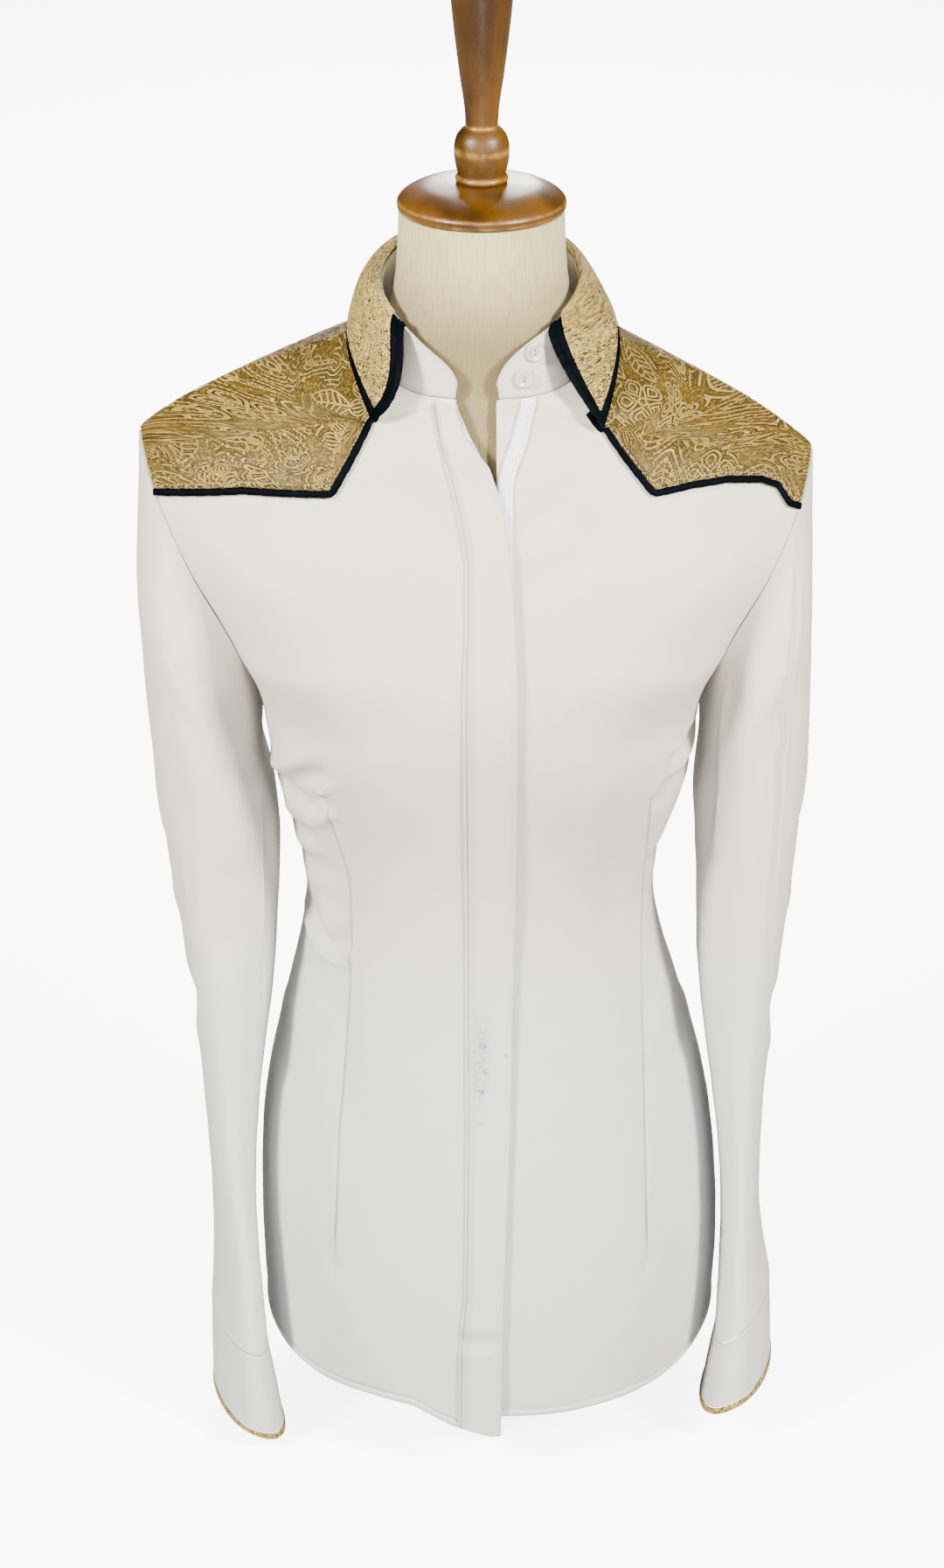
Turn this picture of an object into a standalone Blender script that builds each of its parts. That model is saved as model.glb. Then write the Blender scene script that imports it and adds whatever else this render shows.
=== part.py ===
"""Western show shirt, zipped and standing on a limbless dress form.

Metres, +Z up. The shirt's front faces -Y and the wearer's left is +X. The origin is
the middle of the underside of the form's base.
"""
import math

import bmesh
import bpy
import numpy as np
from mathutils import Vector

# Cloth and gaps
CLOTH = 0.0013
GAP = 0.0003
SEAM = 0.0002
LAID_GAP = 0.0005
FORM_CLEARANCE = 0.0050
SHOULDER_CLEARANCE = 0.0007

# Levels of the body patches: 0 is the hem, UNDERARM the foot of the armhole,
# NECK the start of the neckline and TOP the shoulder seam.
UNDERARM = 6
NECK = 10
TOP = 11

# One row for each level. The middle edge is at mid_y, mid_z; the outer edge is the side
# seam and then the armhole. reach is how far the row runs straight across from the
# middle, turn_x and turn_y how it comes in to its outer edge, and lift how much it bows
# up there. shift moves the row in x.
FRONT_COLUMNS = ("level", "shift", "mid_y", "mid_z", "out_x", "out_y", "out_z", "reach", "turn_x", "turn_y",
                 "lift")
LEVEL_COLUMNS = ("out_y", "turn_x", "lift")
FRONT_ROWS = (
    (0, 0.006, -0.130, 0.050, 0.149, 0.000, 0.050, 0.098, 0.000, -0.080, 0.000),
    (1, 0.006, -0.130, 0.130, 0.151, 0.000, 0.130, 0.098, 0.000, -0.080, 0.000),
    (2, 0.004, -0.121, 0.215, 0.146, 0.000, 0.215, 0.094, 0.000, -0.074, 0.000),
    (3, 0.002, -0.108, 0.295, 0.128, 0.000, 0.295, 0.082, 0.000, -0.066, 0.000),
    (4, -0.001, -0.100, 0.378, 0.111, 0.000, 0.378, 0.072, 0.000, -0.060, 0.000),
    (5, 0.000, -0.109, 0.452, 0.126, 0.000, 0.445, 0.084, 0.000, -0.066, 0.000),
    (6, 0.000, -0.125, 0.525, 0.136, 0.000, 0.505, 0.092, 0.000, -0.078, 0.000),
    (7, 0.000, -0.122, 0.580, 0.148, -0.054, 0.556, 0.096, -0.014, -0.046, 0.000),
    (8, 0.000, -0.109, 0.630, 0.168, -0.060, 0.598, 0.104, -0.030, -0.034, 0.002),
    (9, 0.000, -0.087, 0.680, 0.188, -0.045, 0.637, 0.100, -0.044, -0.026, 0.006),
    (10, 0.000, -0.063, 0.7217, 0.1995, -0.022, 0.664, 0.074, -0.056, -0.024, 0.013),
    (11, 0.000, 0.004, 0.7435, 0.2035, 0.000, 0.674, 0.045, -0.045, 0.000, 0.018),
)
BACK_ROWS = (
    (0, 0.006, 0.108, 0.062, 0.149, 0.000, 0.050, 0.098, 0.000, 0.070, 0.000),
    (1, 0.006, 0.116, 0.130, 0.151, 0.000, 0.130, 0.098, 0.000, 0.074, 0.000),
    (2, 0.004, 0.112, 0.215, 0.146, 0.000, 0.215, 0.094, 0.000, 0.070, 0.000),
    (3, 0.002, 0.095, 0.295, 0.128, 0.000, 0.295, 0.084, 0.000, 0.062, 0.000),
    (4, -0.001, 0.082, 0.378, 0.111, 0.000, 0.378, 0.074, 0.000, 0.054, 0.000),
    (5, 0.000, 0.089, 0.452, 0.126, 0.000, 0.445, 0.084, 0.000, 0.056, 0.000),
    (6, 0.000, 0.101, 0.525, 0.136, 0.000, 0.505, 0.092, 0.000, 0.064, 0.000),
    (7, 0.000, 0.107, 0.580, 0.148, 0.040, 0.556, 0.098, -0.014, 0.044, 0.000),
    (8, 0.000, 0.106, 0.630, 0.168, 0.052, 0.598, 0.104, -0.028, 0.036, 0.000),
    (9, 0.000, 0.094, 0.685, 0.188, 0.045, 0.637, 0.100, -0.044, 0.030, 0.000),
    (10, 0.000, 0.055, 0.750, 0.1995, 0.024, 0.664, 0.066, -0.060, 0.024, -0.008),
    (11, 0.000, 0.004, 0.7435, 0.2035, 0.000, 0.674, 0.045, -0.045, 0.000, 0.018),
)
# The neckline from its middle to the shoulder seam, for each half.
NECKLINE_COLUMNS = ("level", "x", "y", "z")
NECKLINE_FRONT = (
    (10.00, 0.000, -0.063, 0.7217),
    (10.30, 0.034, -0.059, 0.7232),
    (10.60, 0.056, -0.041, 0.7290),
    (11.00, 0.0665, 0.004, 0.7435),
)
NECKLINE_BACK = (
    (10.00, 0.000, 0.055, 0.7500),
    (10.35, 0.028, 0.051, 0.7495),
    (10.70, 0.053, 0.034, 0.7475),
    (11.00, 0.0665, 0.004, 0.7435),
)

# The shoulder on the wearer's right sits higher and further out, as in the photo.
SHOULDER_RISE = 0.006
SHOULDER_OUT = 0.003

# Centre edges. The fronts meet under the placket, and the top of the wearer's right
# front falls open in a V. Offsets are along +X, by height.
FRONT_LEFT_EDGE = 0.0088
V_COLUMNS = ("height", "edge", "placket_out", "placket_in")
V_EDGE = (
    (0.030, 0.0082, 0.0131, -0.0147),
    (0.100, 0.0082, 0.0135, -0.0140),
    (0.140, 0.0082, 0.0145, -0.0107),
    (0.250, 0.0082, 0.0179, -0.0095),
    (0.428, 0.0082, 0.0210, -0.0103),
    (0.560, 0.0082, 0.0213, -0.0113),
    (0.600, 0.0082, 0.0195, -0.0100),
    (0.635, 0.0065, 0.0168, -0.0096),
    (0.655, 0.0028, 0.0135, -0.0125),
    (0.673, -0.0020, 0.0094, -0.0165),
    (0.687, -0.0065, 0.0045, -0.0200),
    (0.705, -0.0135, -0.0095, -0.0250),
    (0.716, -0.0185, -0.0160, -0.0280),
    (0.7215, -0.0200, -0.0185, -0.0290),
)
PLACKET_FOOT = 0.03
PLACKET_TOP = 9.965
TAPE_FOOT = 0.20
TAPE_TOP = 9.97
V_LEVELS = np.array([7.75, 8.25, 8.75, 9.25])

# The hem, by distance from the middle of the front. The wearer's right front hangs lower.
HEM_COLUMNS = ("across", "right_front", "left_front", "back")
HEM = (
    (0.000, -0.0160, 0.0000, 0.0000),
    (0.025, -0.0080, -0.0005, -0.0010),
    (0.050, 0.0050, 0.0000, -0.0010),
    (0.080, 0.0080, 0.0025, 0.0000),
    (0.110, 0.0090, 0.0060, 0.0030),
    (0.135, 0.0140, 0.0130, 0.0120),
    (0.160, 0.0230, 0.0230, 0.0230),
)
HEM_BLEND = 1.5

# The darts and the folds that the waist throws, as troughs in the fronts.
DART_FOOT = 0.165
DART_TIP = 0.500
DART_DEPTH = 0.0022
DART_HALF_WIDTH = 0.010
DART_FADE = 0.10
DART_X = {-1: 0.087, 1: 0.101}

# Sleeves: a ring for each row, from the armhole down. Inner and outer are the ring's
# points next to the body and away from it; lean turns its front edge towards the body.
SLEEVE_COLUMNS = ("in_x", "in_z", "out_x", "out_z", "mid_y", "depth", "lean")
SLEEVE_RIGHT = (
    (0.1370, 0.4740, 0.2110, 0.6000, -0.004, 0.0640, 0.00),
    (0.1300, 0.4380, 0.2100, 0.5380, -0.003, 0.0635, 0.00),
    (0.1280, 0.3990, 0.2060, 0.4760, -0.003, 0.0610, 0.00),
    (0.1305, 0.3500, 0.1990, 0.4100, -0.008, 0.0560, 0.00),
    (0.1350, 0.2990, 0.1895, 0.3400, -0.015, 0.0520, 0.02),
    (0.1425, 0.2450, 0.1820, 0.2700, -0.024, 0.0490, 0.06),
    (0.1475, 0.1850, 0.1775, 0.1980, -0.034, 0.0470, 0.12),
    (0.1470, 0.1250, 0.1740, 0.1350, -0.044, 0.0460, 0.20),
    (0.1440, 0.0700, 0.1755, 0.0800, -0.052, 0.0450, 0.24),
)
CUFF_RIGHT_FOOT = (0.1335, 0.0060, 0.1760, 0.0180, -0.058, 0.0430, 0.26)
SLEEVE_LEFT = (
    (0.1370, 0.4740, 0.2030, 0.5960, -0.004, 0.0640, 0.00),
    (0.1345, 0.4380, 0.2050, 0.5330, -0.003, 0.0635, 0.00),
    (0.1370, 0.3990, 0.2040, 0.4700, -0.004, 0.0610, 0.00),
    (0.1385, 0.3500, 0.1985, 0.3980, -0.009, 0.0560, 0.00),
    (0.1415, 0.2990, 0.1915, 0.3300, -0.015, 0.0520, 0.00),
    (0.1490, 0.2450, 0.1855, 0.2650, -0.023, 0.0490, 0.02),
    (0.1560, 0.1850, 0.1825, 0.2000, -0.032, 0.0470, 0.04),
    (0.1575, 0.1250, 0.1835, 0.1480, -0.042, 0.0460, 0.08),
    (0.1560, 0.0720, 0.1900, 0.1040, -0.050, 0.0450, 0.14),
)
CUFF_LEFT_FOOT = (0.1470, 0.0220, 0.1925, 0.0440, -0.056, 0.0440, 0.14)
SLEEVE_SHARPNESS = 2.3
CUFF_LAP = 1
CUFF_START = -3
CUFF_LIFT = 0.0030
CUFF_CLOTH = 0.0015
BINDING = 0.0046

# Collar, from its middle at the back (0) to the end of the stand (1), for each half.
# The stand is sewn along the neckline, so only its top is given here.
STAND_COLUMNS = ("along", "top_x", "top_y", "top_z")
STAND = (
    (0.00, 0.0000, 0.0560, 0.7900),
    (0.25, 0.0390, 0.0430, 0.7885),
    (0.50, 0.0585, 0.0070, 0.7790),
    (0.75, 0.0505, -0.0370, 0.7660),
    (0.88, 0.0330, -0.0560, 0.7570),
    (1.00, 0.0110, -0.0625, 0.7510),
)
STAND_SHIFT = -0.0025
STAND_END_LEVEL = {-1: 10.13, 1: 10.085}
SEAM_LIFT = 0.0004
STAND_CLOTH = 0.0016
STAND_ROUND = {-1: 0.24, 1: 0.15}
FALL_END = 0.82
FALL_COLUMNS = ("along", "rise", "under_x", "under_y", "under_z")
FALL = (
    (0.00, 0.0070, 0.0000, 0.0850, 0.7465),
    (0.25, 0.0070, 0.0520, 0.0660, 0.7485),
    (0.50, 0.0060, 0.0780, 0.0080, 0.7500),
    (0.66, 0.0045, 0.0800, -0.0320, 0.7390),
    (0.82, 0.0030, 0.0670, -0.0660, 0.7120),
)
# How far the collar swells over its fold, wider on the wearer's right.
FALL_SWELL = {-1: 0.013, 1: 0.003}
FOLD_LIFT = 0.0011
FALL_SHIFT = 0.0024
FRONT_BULGE = 0.035
# How much longer the fall is at its front tips, from this far along to its end.
TIP_LONGER = {-1: 0.02, 1: 0.12}
TIP_START = 0.60
GOLD_INSET = 0.036
GOLD_INSET_LESS = 0.5
GOLD_SHARE = 0.87
UNDER_CLOTH = 0.0011
TOP_CLOTH = 0.0013

# The lower edge of each front yoke, from its diagonal out to the armhole, as places
# seen from the front; it starts on the neckline under the collar.
YOKE_COLUMNS = ("x", "height")
YOKE_LOW = {
    -1: ((-0.0622, 0.7154), (-0.0890, 0.6709), (-0.1404, 0.6671), (-0.1945, 0.6563)),
    1: ((0.0650, 0.7125), (0.1016, 0.6694), (0.1237, 0.6708), (0.1451, 0.6700), (0.1668, 0.6657),
        (0.1777, 0.6602), (0.1848, 0.6495)),
}
YOKE_NECK_LEVEL = 10.50
YOKE_EDGE = 0.008
YOKE_NECK_INSET = 0.02
YOKE_SHOULDER_INSET = 0.02
YOKE_BACK_POINT = 8.45
YOKE_BACK_SIDE = 9.15
YOKE_BACK_CORNER = 0.48
YOKE_CLOTH = 0.0014
YOKE_GAP = 0.0007
PIPING_HALF_WIDTH = 0.0022
PIPING_HALF_DEPTH = 0.0011
PIPING_SIDES = 6
PIPING_GAP = 0.0011

# Zip tapes, by height: where each tape starts in x, and their width.
TAPE_COLUMNS = ("height", "left_tape", "right_tape", "width")
TAPE = (
    (0.045, 0.0092, 0.0040, 0.0034),
    (0.140, 0.0092, 0.0033, 0.0042),
    (0.250, 0.0094, 0.0010, 0.0066),
    (0.450, 0.0094, -0.0008, 0.0084),
    (0.600, 0.0096, -0.0008, 0.0084),
    (0.640, 0.0093, -0.0020, 0.0084),
    (0.674, 0.0095, -0.0080, 0.0084),
    (0.684, 0.0102, -0.0113, 0.0084),
    (0.700, 0.0152, -0.0170, 0.0084),
    (0.7185, 0.0230, -0.0245, 0.0084),
)
TAPE_CLOTH = 0.0010
PLACKET_CLOTH = 0.0014
PLACKET_LIFT = 0.0022
# The share of its width over which the placket rises from its seam.
PLACKET_RISE = 0.28

BUTTON_RADIUS = 0.0058
BUTTON_DEPTH = 0.0022
BUTTONS = {"button_top": (0.885, 0.78), "button_lower": (0.925, 0.36)}

# Dress form
BASE_HALF_WIDTH = 0.090
BASE_HALF_DEPTH = 0.056
BASE_Y = 0.014
BASE_HEIGHT = 0.018
BASE_STEP = 0.78
FORM_FOOT = 0.085
NECK_COLUMNS = ("height", "radius", "y", "blend")
NECK_RINGS = (
    (0.7640, 0.0525, 0.000, 0.55),
    (0.7760, 0.0513, 0.000, 0.88),
    (0.7920, 0.0503, 0.000, 1.00),
    (0.8185, 0.0492, 0.000, 1.00),
)
FORM_NECKLINE = 0.945
# The level from which the form comes close to the shoulders.
FORM_SHOULDER_START = 9.4
# Turned wood: height and radius, from the bottom up.
CAP_PROFILE = (
    (0.8190, 0.0485), (0.8205, 0.0500), (0.8235, 0.0502), (0.8258, 0.0490),
    (0.8300, 0.0430), (0.8335, 0.0330), (0.8352, 0.0200),
)
FINIAL_PROFILE = (
    (0.8356, 0.0150), (0.8375, 0.0158), (0.8392, 0.0150), (0.8400, 0.0142),
    (0.8440, 0.0152), (0.8500, 0.0162), (0.8560, 0.0164), (0.8620, 0.0152),
    (0.8665, 0.0122), (0.8690, 0.0097), (0.8760, 0.0100), (0.9000, 0.0132),
    (0.9250, 0.0163), (0.9450, 0.0183), (0.9600, 0.0194), (0.9700, 0.0190),
    (0.9780, 0.0163), (0.9830, 0.0110),
)
TURNED_SIDES = 24

MATERIALS = {
    "shirt_cloth": ((0.80, 0.77, 0.71), 0.55, 0.0),
    "gold_brocade": ((0.55, 0.42, 0.22), 0.42, 0.35),
    "black_satin": ((0.012, 0.016, 0.028), 0.32, 0.0),
    "zip_tape": ((0.86, 0.88, 0.89), 0.60, 0.0),
    "button": ((0.82, 0.80, 0.76), 0.20, 0.0),
    "form_jersey": ((0.74, 0.66, 0.50), 0.80, 0.0),
    "turned_wood": ((0.22, 0.09, 0.025), 0.32, 0.0),
}


def column(table, names, name):
    """One named column of a table, as an array."""
    return np.array([row[names.index(name)] for row in table], dtype=float)


def spline(knots, values, at):
    """A natural cubic spline through values at knots, read at an array of places."""
    knots, values, at = (np.asarray(part, dtype=float) for part in (knots, values, at))
    steps = np.diff(knots)
    slopes = np.diff(values) / steps
    count = len(knots)
    matrix = np.eye(count)
    right = np.zeros(count)
    for row in range(1, count - 1):
        matrix[row, row - 1:row + 2] = (steps[row - 1], 2 * (steps[row - 1] + steps[row]), steps[row])
        right[row] = 6 * (slopes[row] - slopes[row - 1])
    bend = np.linalg.solve(matrix, right)
    piece = np.clip(np.searchsorted(knots, at, side="right") - 1, 0, count - 2)
    left = at - knots[piece]
    step = steps[piece]
    cubic = (bend[piece + 1] - bend[piece]) / (6 * step)
    linear = slopes[piece] - step * (2 * bend[piece] + bend[piece + 1]) / 6
    return values[piece] + left * (linear + left * (bend[piece] / 2 + left * cubic))


def level_curve(knots, values, at):
    """A smooth curve through values at knots that never passes its neighbours."""
    knots, values, at = (np.asarray(part, dtype=float) for part in (knots, values, at))
    steps = np.diff(knots)
    slopes = np.diff(values) / steps
    before, after = slopes[:-1], slopes[1:]
    same_way = before * after > 0
    total = np.where(same_way, before + after, 1.0)
    rates = np.concatenate([slopes[:1], np.where(same_way, 2 * before * after / total, 0.0), slopes[-1:]])
    piece = np.clip(np.searchsorted(knots, at, side="right") - 1, 0, len(steps) - 1)
    step = steps[piece]
    t = (at - knots[piece]) / step
    return (values[piece] * (1 + 2 * t) * (1 - t) ** 2 + values[piece + 1] * t ** 2 * (3 - 2 * t)
            + step * t * (1 - t) * (rates[piece] * (1 - t) - rates[piece + 1] * t))


def unit(vectors):
    """Vectors at length one."""
    return vectors / np.maximum(np.linalg.norm(vectors, axis=-1, keepdims=True), 1e-12)


def smooth_step(value):
    """0 below 0, 1 above 1 and an even S between."""
    value = np.clip(value, 0.0, 1.0)
    return value * value * (3 - 2 * value)


def bezier(ends, t):
    """A cubic Bezier curve with four control points, each an array of vectors."""
    first, second, third, last = ends
    t = t[..., None]
    return (first * (1 - t) ** 3 + 3 * second * t * (1 - t) ** 2
            + 3 * third * t ** 2 * (1 - t) + last * t ** 3)


class BodyHalf:
    """One half of the front or the back as a patch over across (u) and level (v)."""

    def __init__(self, side, rows, neckline, hem_column):
        self.side = side
        self.levels = column(rows, FRONT_COLUMNS, "level")
        self.values = {name: column(rows, FRONT_COLUMNS, name) for name in FRONT_COLUMNS}
        self.neckline = neckline
        self.hem = (column(HEM, HEM_COLUMNS, "across"), column(HEM, HEM_COLUMNS, hem_column))
        self.outward = 1.0 if self.values["mid_y"][0] > 0 else -1.0

    def read(self, name, v):
        """A column at a level. The neckline rows have a spline of their own."""
        curve = level_curve if name in LEVEL_COLUMNS else spline
        return curve(self.levels, self.values[name], v)

    def middle(self, v):
        """The edge at the middle, up to the neckline and round it to the shoulder."""
        below = np.stack([np.zeros_like(v), self.read("mid_y", v), self.read("mid_z", v)], -1)
        knots = column(self.neckline, NECKLINE_COLUMNS, "level")
        round_neck = np.stack(
            [spline(knots, column(self.neckline, NECKLINE_COLUMNS, axis), v) for axis in "xyz"], -1)
        return np.where((v > NECK)[..., None], round_neck, below)

    def outer(self, v):
        """The side seam and, above it, the armhole."""
        edge = np.stack([self.read(name, v) for name in ("out_x", "out_y", "out_z")], -1)
        high = smooth_step((v - UNDERARM) / (TOP - UNDERARM))
        edge[..., 0] -= self.side * SHOULDER_OUT * high
        edge[..., 2] -= self.side * SHOULDER_RISE * high
        return edge

    def raw(self, u, v):
        """Points of the patch before the hem and the darts are worked in."""
        u, v = np.broadcast_arrays(np.asarray(u, float), np.asarray(v, float))
        first, last = self.middle(v), self.outer(v)
        reach = self.read("reach", v)
        turn = np.stack([self.read("turn_x", v), self.read("turn_y", v), np.zeros_like(v)], -1)
        span = np.maximum(last[..., 0] - first[..., 0], 1e-6)
        lift = self.read("lift", v)
        second = first + np.stack(
            [reach, np.zeros_like(v), (last[..., 2] - first[..., 2]) * reach / span + 0.2 * lift], -1)
        third = last + turn
        third[..., 2] += (last[..., 2] - first[..., 2]) * turn[..., 0] / span + lift
        points = bezier((first, second, third, last), u)
        return points

    def point(self, u, v):
        """Outer-surface points of the patch, in the part's frame."""
        u, v = np.broadcast_arrays(np.asarray(u, float), np.asarray(v, float))
        points = self.raw(u, v)
        points[..., 2] += self.hem_drop(points[..., 0]) * np.clip(1 - v / HEM_BLEND, 0, 1) ** 2
        if self.outward < 0:
            points[..., 1] += self.dart(points) * smooth_step((1 - u) / DART_FADE)
        return self.placed(points, v)

    def plain_point(self, u, v):
        """Points of the patch with no hem line and no darts, for the form inside."""
        u, v = np.broadcast_arrays(np.asarray(u, float), np.asarray(v, float))
        return self.placed(self.raw(u, v), v)

    def placed(self, points, v):
        """Points of the half turned to its own side and shifted with their row."""
        points[..., 0] = self.side * points[..., 0] + self.read("shift", v)
        return points

    def hem_drop(self, across):
        """How far the hem lies above or below its row."""
        return np.interp(across, *self.hem)

    def dart(self, points):
        """The trough of the dart, deepest at the waist."""
        length = DART_TIP - DART_FOOT
        along = np.clip((points[..., 2] - DART_FOOT) / length, 0, 1)
        away = (points[..., 0] - DART_X[self.side]) / DART_HALF_WIDTH
        return DART_DEPTH * np.sin(math.pi * along) * np.exp(-away ** 2)

    def normal(self, u, v, plain=False):
        """Directions square to the patch, away from the form."""
        step = 1e-4
        read = self.plain_point if plain else self.point
        u, v = np.broadcast_arrays(np.asarray(u, float), np.asarray(v, float))
        low = np.clip(v - step * 10, 0, np.where(v > NECK, TOP, NECK) - step * 20)
        across = read(u + step, v) - read(u - step, v)
        along = read(u, low + step * 20) - read(u, low)
        square = unit(np.cross(across, along))
        facing = self.outward * square[..., 1] + 0.3 * self.side * square[..., 0] + 0.3 * square[..., 2]
        return square * np.where(facing < 0, -1.0, 1.0)[..., None]

    def seam_normal(self, u):
        """Directions square to the shoulder seam with no lean to front or back."""
        u = np.asarray(u, float)
        top = np.full_like(u, float(TOP))
        run = self.point(u + 1e-3, top) - self.point(u - 1e-3, top)
        square = np.stack([-run[..., 2], np.zeros_like(u), run[..., 0]], -1)
        return unit(square) * np.sign(square[..., 2:3])

    def across(self, x, v):
        """The u at which a level of the patch reaches x, by Newton's steps."""
        step = 1e-4
        u = np.full_like(v, 0.05)
        for _ in range(8):
            here = self.point(u, v)[..., 0]
            u = u + (x - here) * step / (self.point(u + step, v)[..., 0] - here)
        return u

    def find(self, x, z):
        """The patch's u and v at a place seen from the front, by Newton's steps."""
        x, z = np.broadcast_arrays(np.asarray(x, float), np.asarray(z, float))
        u = (self.side * x) / 0.2
        v = np.interp(z, self.values["mid_z"][:NECK + 1], self.levels[:NECK + 1]) + 0.01
        step = 1e-4
        for _ in range(14):
            here = self.point(u, v)
            miss = np.stack([x - here[..., 0], z - here[..., 2]], -1)
            by_u = (self.point(u + step, v) - here) / step
            by_v = (self.point(u, v + step) - here) / step
            fall = by_u[..., 0] * by_v[..., 2] - by_v[..., 0] * by_u[..., 2]
            u = u + np.clip((miss[..., 0] * by_v[..., 2] - miss[..., 1] * by_v[..., 0]) / fall, -0.2, 0.2)
            v = np.clip(v + np.clip((miss[..., 1] * by_u[..., 0] - miss[..., 0] * by_u[..., 2]) / fall,
                                    -0.5, 0.5), 0, TOP - 2 * step)
        return u, v


FRONTS = {
    -1: BodyHalf(-1, FRONT_ROWS, NECKLINE_FRONT, "right_front"),
    1: BodyHalf(1, FRONT_ROWS, NECKLINE_FRONT, "left_front"),
}
BACKS = {side: BodyHalf(side, BACK_ROWS, NECKLINE_BACK, "back") for side in (-1, 1)}


def material(name):
    """The named Principled material."""
    found = bpy.data.materials.get(name)
    if found:
        return found
    colour, roughness, metallic = MATERIALS[name]
    made = bpy.data.materials.new(name)
    made.use_nodes = True
    shader = made.node_tree.nodes["Principled BSDF"]
    shader.inputs["Base Color"].default_value = (*colour, 1.0)
    shader.inputs["Roughness"].default_value = roughness
    shader.inputs["Metallic"].default_value = metallic
    return made


def finish(name, mesh, slot, weld=1e-5):
    """Weld a bmesh, turn its faces outwards and make it the named object."""
    bmesh.ops.remove_doubles(mesh, verts=mesh.verts, dist=weld)
    bmesh.ops.recalc_face_normals(mesh, faces=mesh.faces)
    if mesh.calc_volume(signed=True) < 0:
        bmesh.ops.reverse_faces(mesh, faces=mesh.faces)
    data = bpy.data.meshes.new(name)
    mesh.to_mesh(data)
    mesh.free()
    data.shade_smooth()
    data.set_sharp_from_angle(angle=math.radians(40))
    data.materials.append(material(slot))
    made = bpy.data.objects.new(name, data)
    bpy.context.scene.collection.objects.link(made)
    return made


def add_wall(mesh, outer, inner, ring=False, open_start=None):
    """A wall between two grids of points [row][column], with its rims.

    ring joins the last column to the first. open_start leaves out the rim at the first
    column for that many rows, where the other half is welded on.
    """
    rows, columns = outer.shape[:2]
    skins = [[[mesh.verts.new(point) for point in line] for line in grid] for grid in (outer, inner)]
    last = columns if ring else columns - 1
    for row in range(rows - 1):
        for col in range(last):
            nxt = (col + 1) % columns
            for front, back in ((skins[0], False), (skins[1], True)):
                quad = [front[row][col], front[row][nxt], front[row + 1][nxt], front[row + 1][col]]
                mesh.faces.new([quad[0]] + quad[:0:-1] if back else quad)
    for row, flip in ((0, True), (rows - 1, False)):
        for col in range(last):
            nxt = (col + 1) % columns
            quad = [skins[0][row][col], skins[0][row][nxt], skins[1][row][nxt], skins[1][row][col]]
            mesh.faces.new(quad[::-1] if flip else quad)
    if ring:
        return
    for row in range(rows - 1):
        ends = [columns - 1] if open_start is not None and row < open_start else [0, columns - 1]
        for col in ends:
            mesh.faces.new([skins[0][row][col], skins[0][row + 1][col],
                            skins[1][row + 1][col], skins[1][row][col]])


def wall(name, outer, normals, thickness, slot, ring=False):
    """A piece of cloth: a wall of one thickness inside its outer points."""
    mesh = bmesh.new()
    add_wall(mesh, outer, outer - thickness * normals, ring)
    return finish(name, mesh, slot)


NECK_LEVELS = NECK + np.array([0.0, 0.08, 0.20, 0.36, 0.55, 0.77, 1.0])
BODY_LEVELS = np.concatenate([
    np.linspace(0, UNDERARM, 9)[:-1], np.arange(UNDERARM, NECK, 0.5), [NECK - 0.25], NECK_LEVELS])
ARMHOLE_LEVELS = np.concatenate([np.arange(UNDERARM, NECK, 0.5), NECK_LEVELS[[0, 4, 6]]])
# A level's rise at the shoulder and a panel's width, which turn a gap into level and across.
LEVEL_RISE = 0.03
PANEL_WIDTH = 0.15
ACROSS = np.array([0.0, 0.08, 0.18, 0.28, 0.38, 0.48, 0.58, 0.68, 0.78, 0.87, 0.94, 1.0])


def trimmed(levels):
    """Levels whose last is drawn back by half of the shoulder seam's gap."""
    short = levels.copy()
    short[-1] = TOP - SEAM / LEVEL_RISE
    return short


def front_edge_u(side, v):
    """Where a front's centre edge lies on its patch, by level."""
    half = FRONTS[side]
    if side > 0:
        target = np.full_like(v, FRONT_LEFT_EDGE)
    else:
        heights = half.read("mid_z", v)
        target = np.interp(heights, column(V_EDGE, V_COLUMNS, "height"), column(V_EDGE, V_COLUMNS, "edge"))
    return np.maximum(half.across(target, v), 0.0)


def on_front(side, share, v):
    """The u of a share of the way from a front's centre edge to its outer edge."""
    start = front_edge_u(side, v)
    return start + (1 - SEAM / PANEL_WIDTH - start) * share


def make_front(name, side):
    """A front, from its centre edge to the side seam and from hem to shoulder."""
    half = FRONTS[side]
    share, v = np.meshgrid(ACROSS, trimmed(BODY_LEVELS))
    u = on_front(side, share, v)
    normals = half.normal(u, v)
    normals[-1] = half.seam_normal(u[-1])
    return wall(name, half.point(u, v), normals, CLOTH, "shirt_cloth")


def make_back():
    """The back, its two halves welded at the middle up to the neckline."""
    mesh = bmesh.new()
    levels = trimmed(BODY_LEVELS)
    below_neck = int(np.sum(levels < NECK - 1e-6))
    for side, half in BACKS.items():
        u = np.broadcast_to(ACROSS[None, :] * (1 - SEAM / PANEL_WIDTH), (len(levels), len(ACROSS)))
        v = np.broadcast_to(levels[:, None], u.shape)
        normals = half.normal(u, v)
        middle = levels <= NECK + 1e-6
        normals[middle, 0, 0] = 0
        normals[-1] = half.seam_normal(u[-1])
        normals = unit(normals)
        outer = half.point(u, v)
        outer[middle, 0, 0] = half.read("shift", levels[middle])
        add_wall(mesh, outer, outer - CLOTH * normals, open_start=below_neck)
    return finish("back", mesh, "shirt_cloth")


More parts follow.
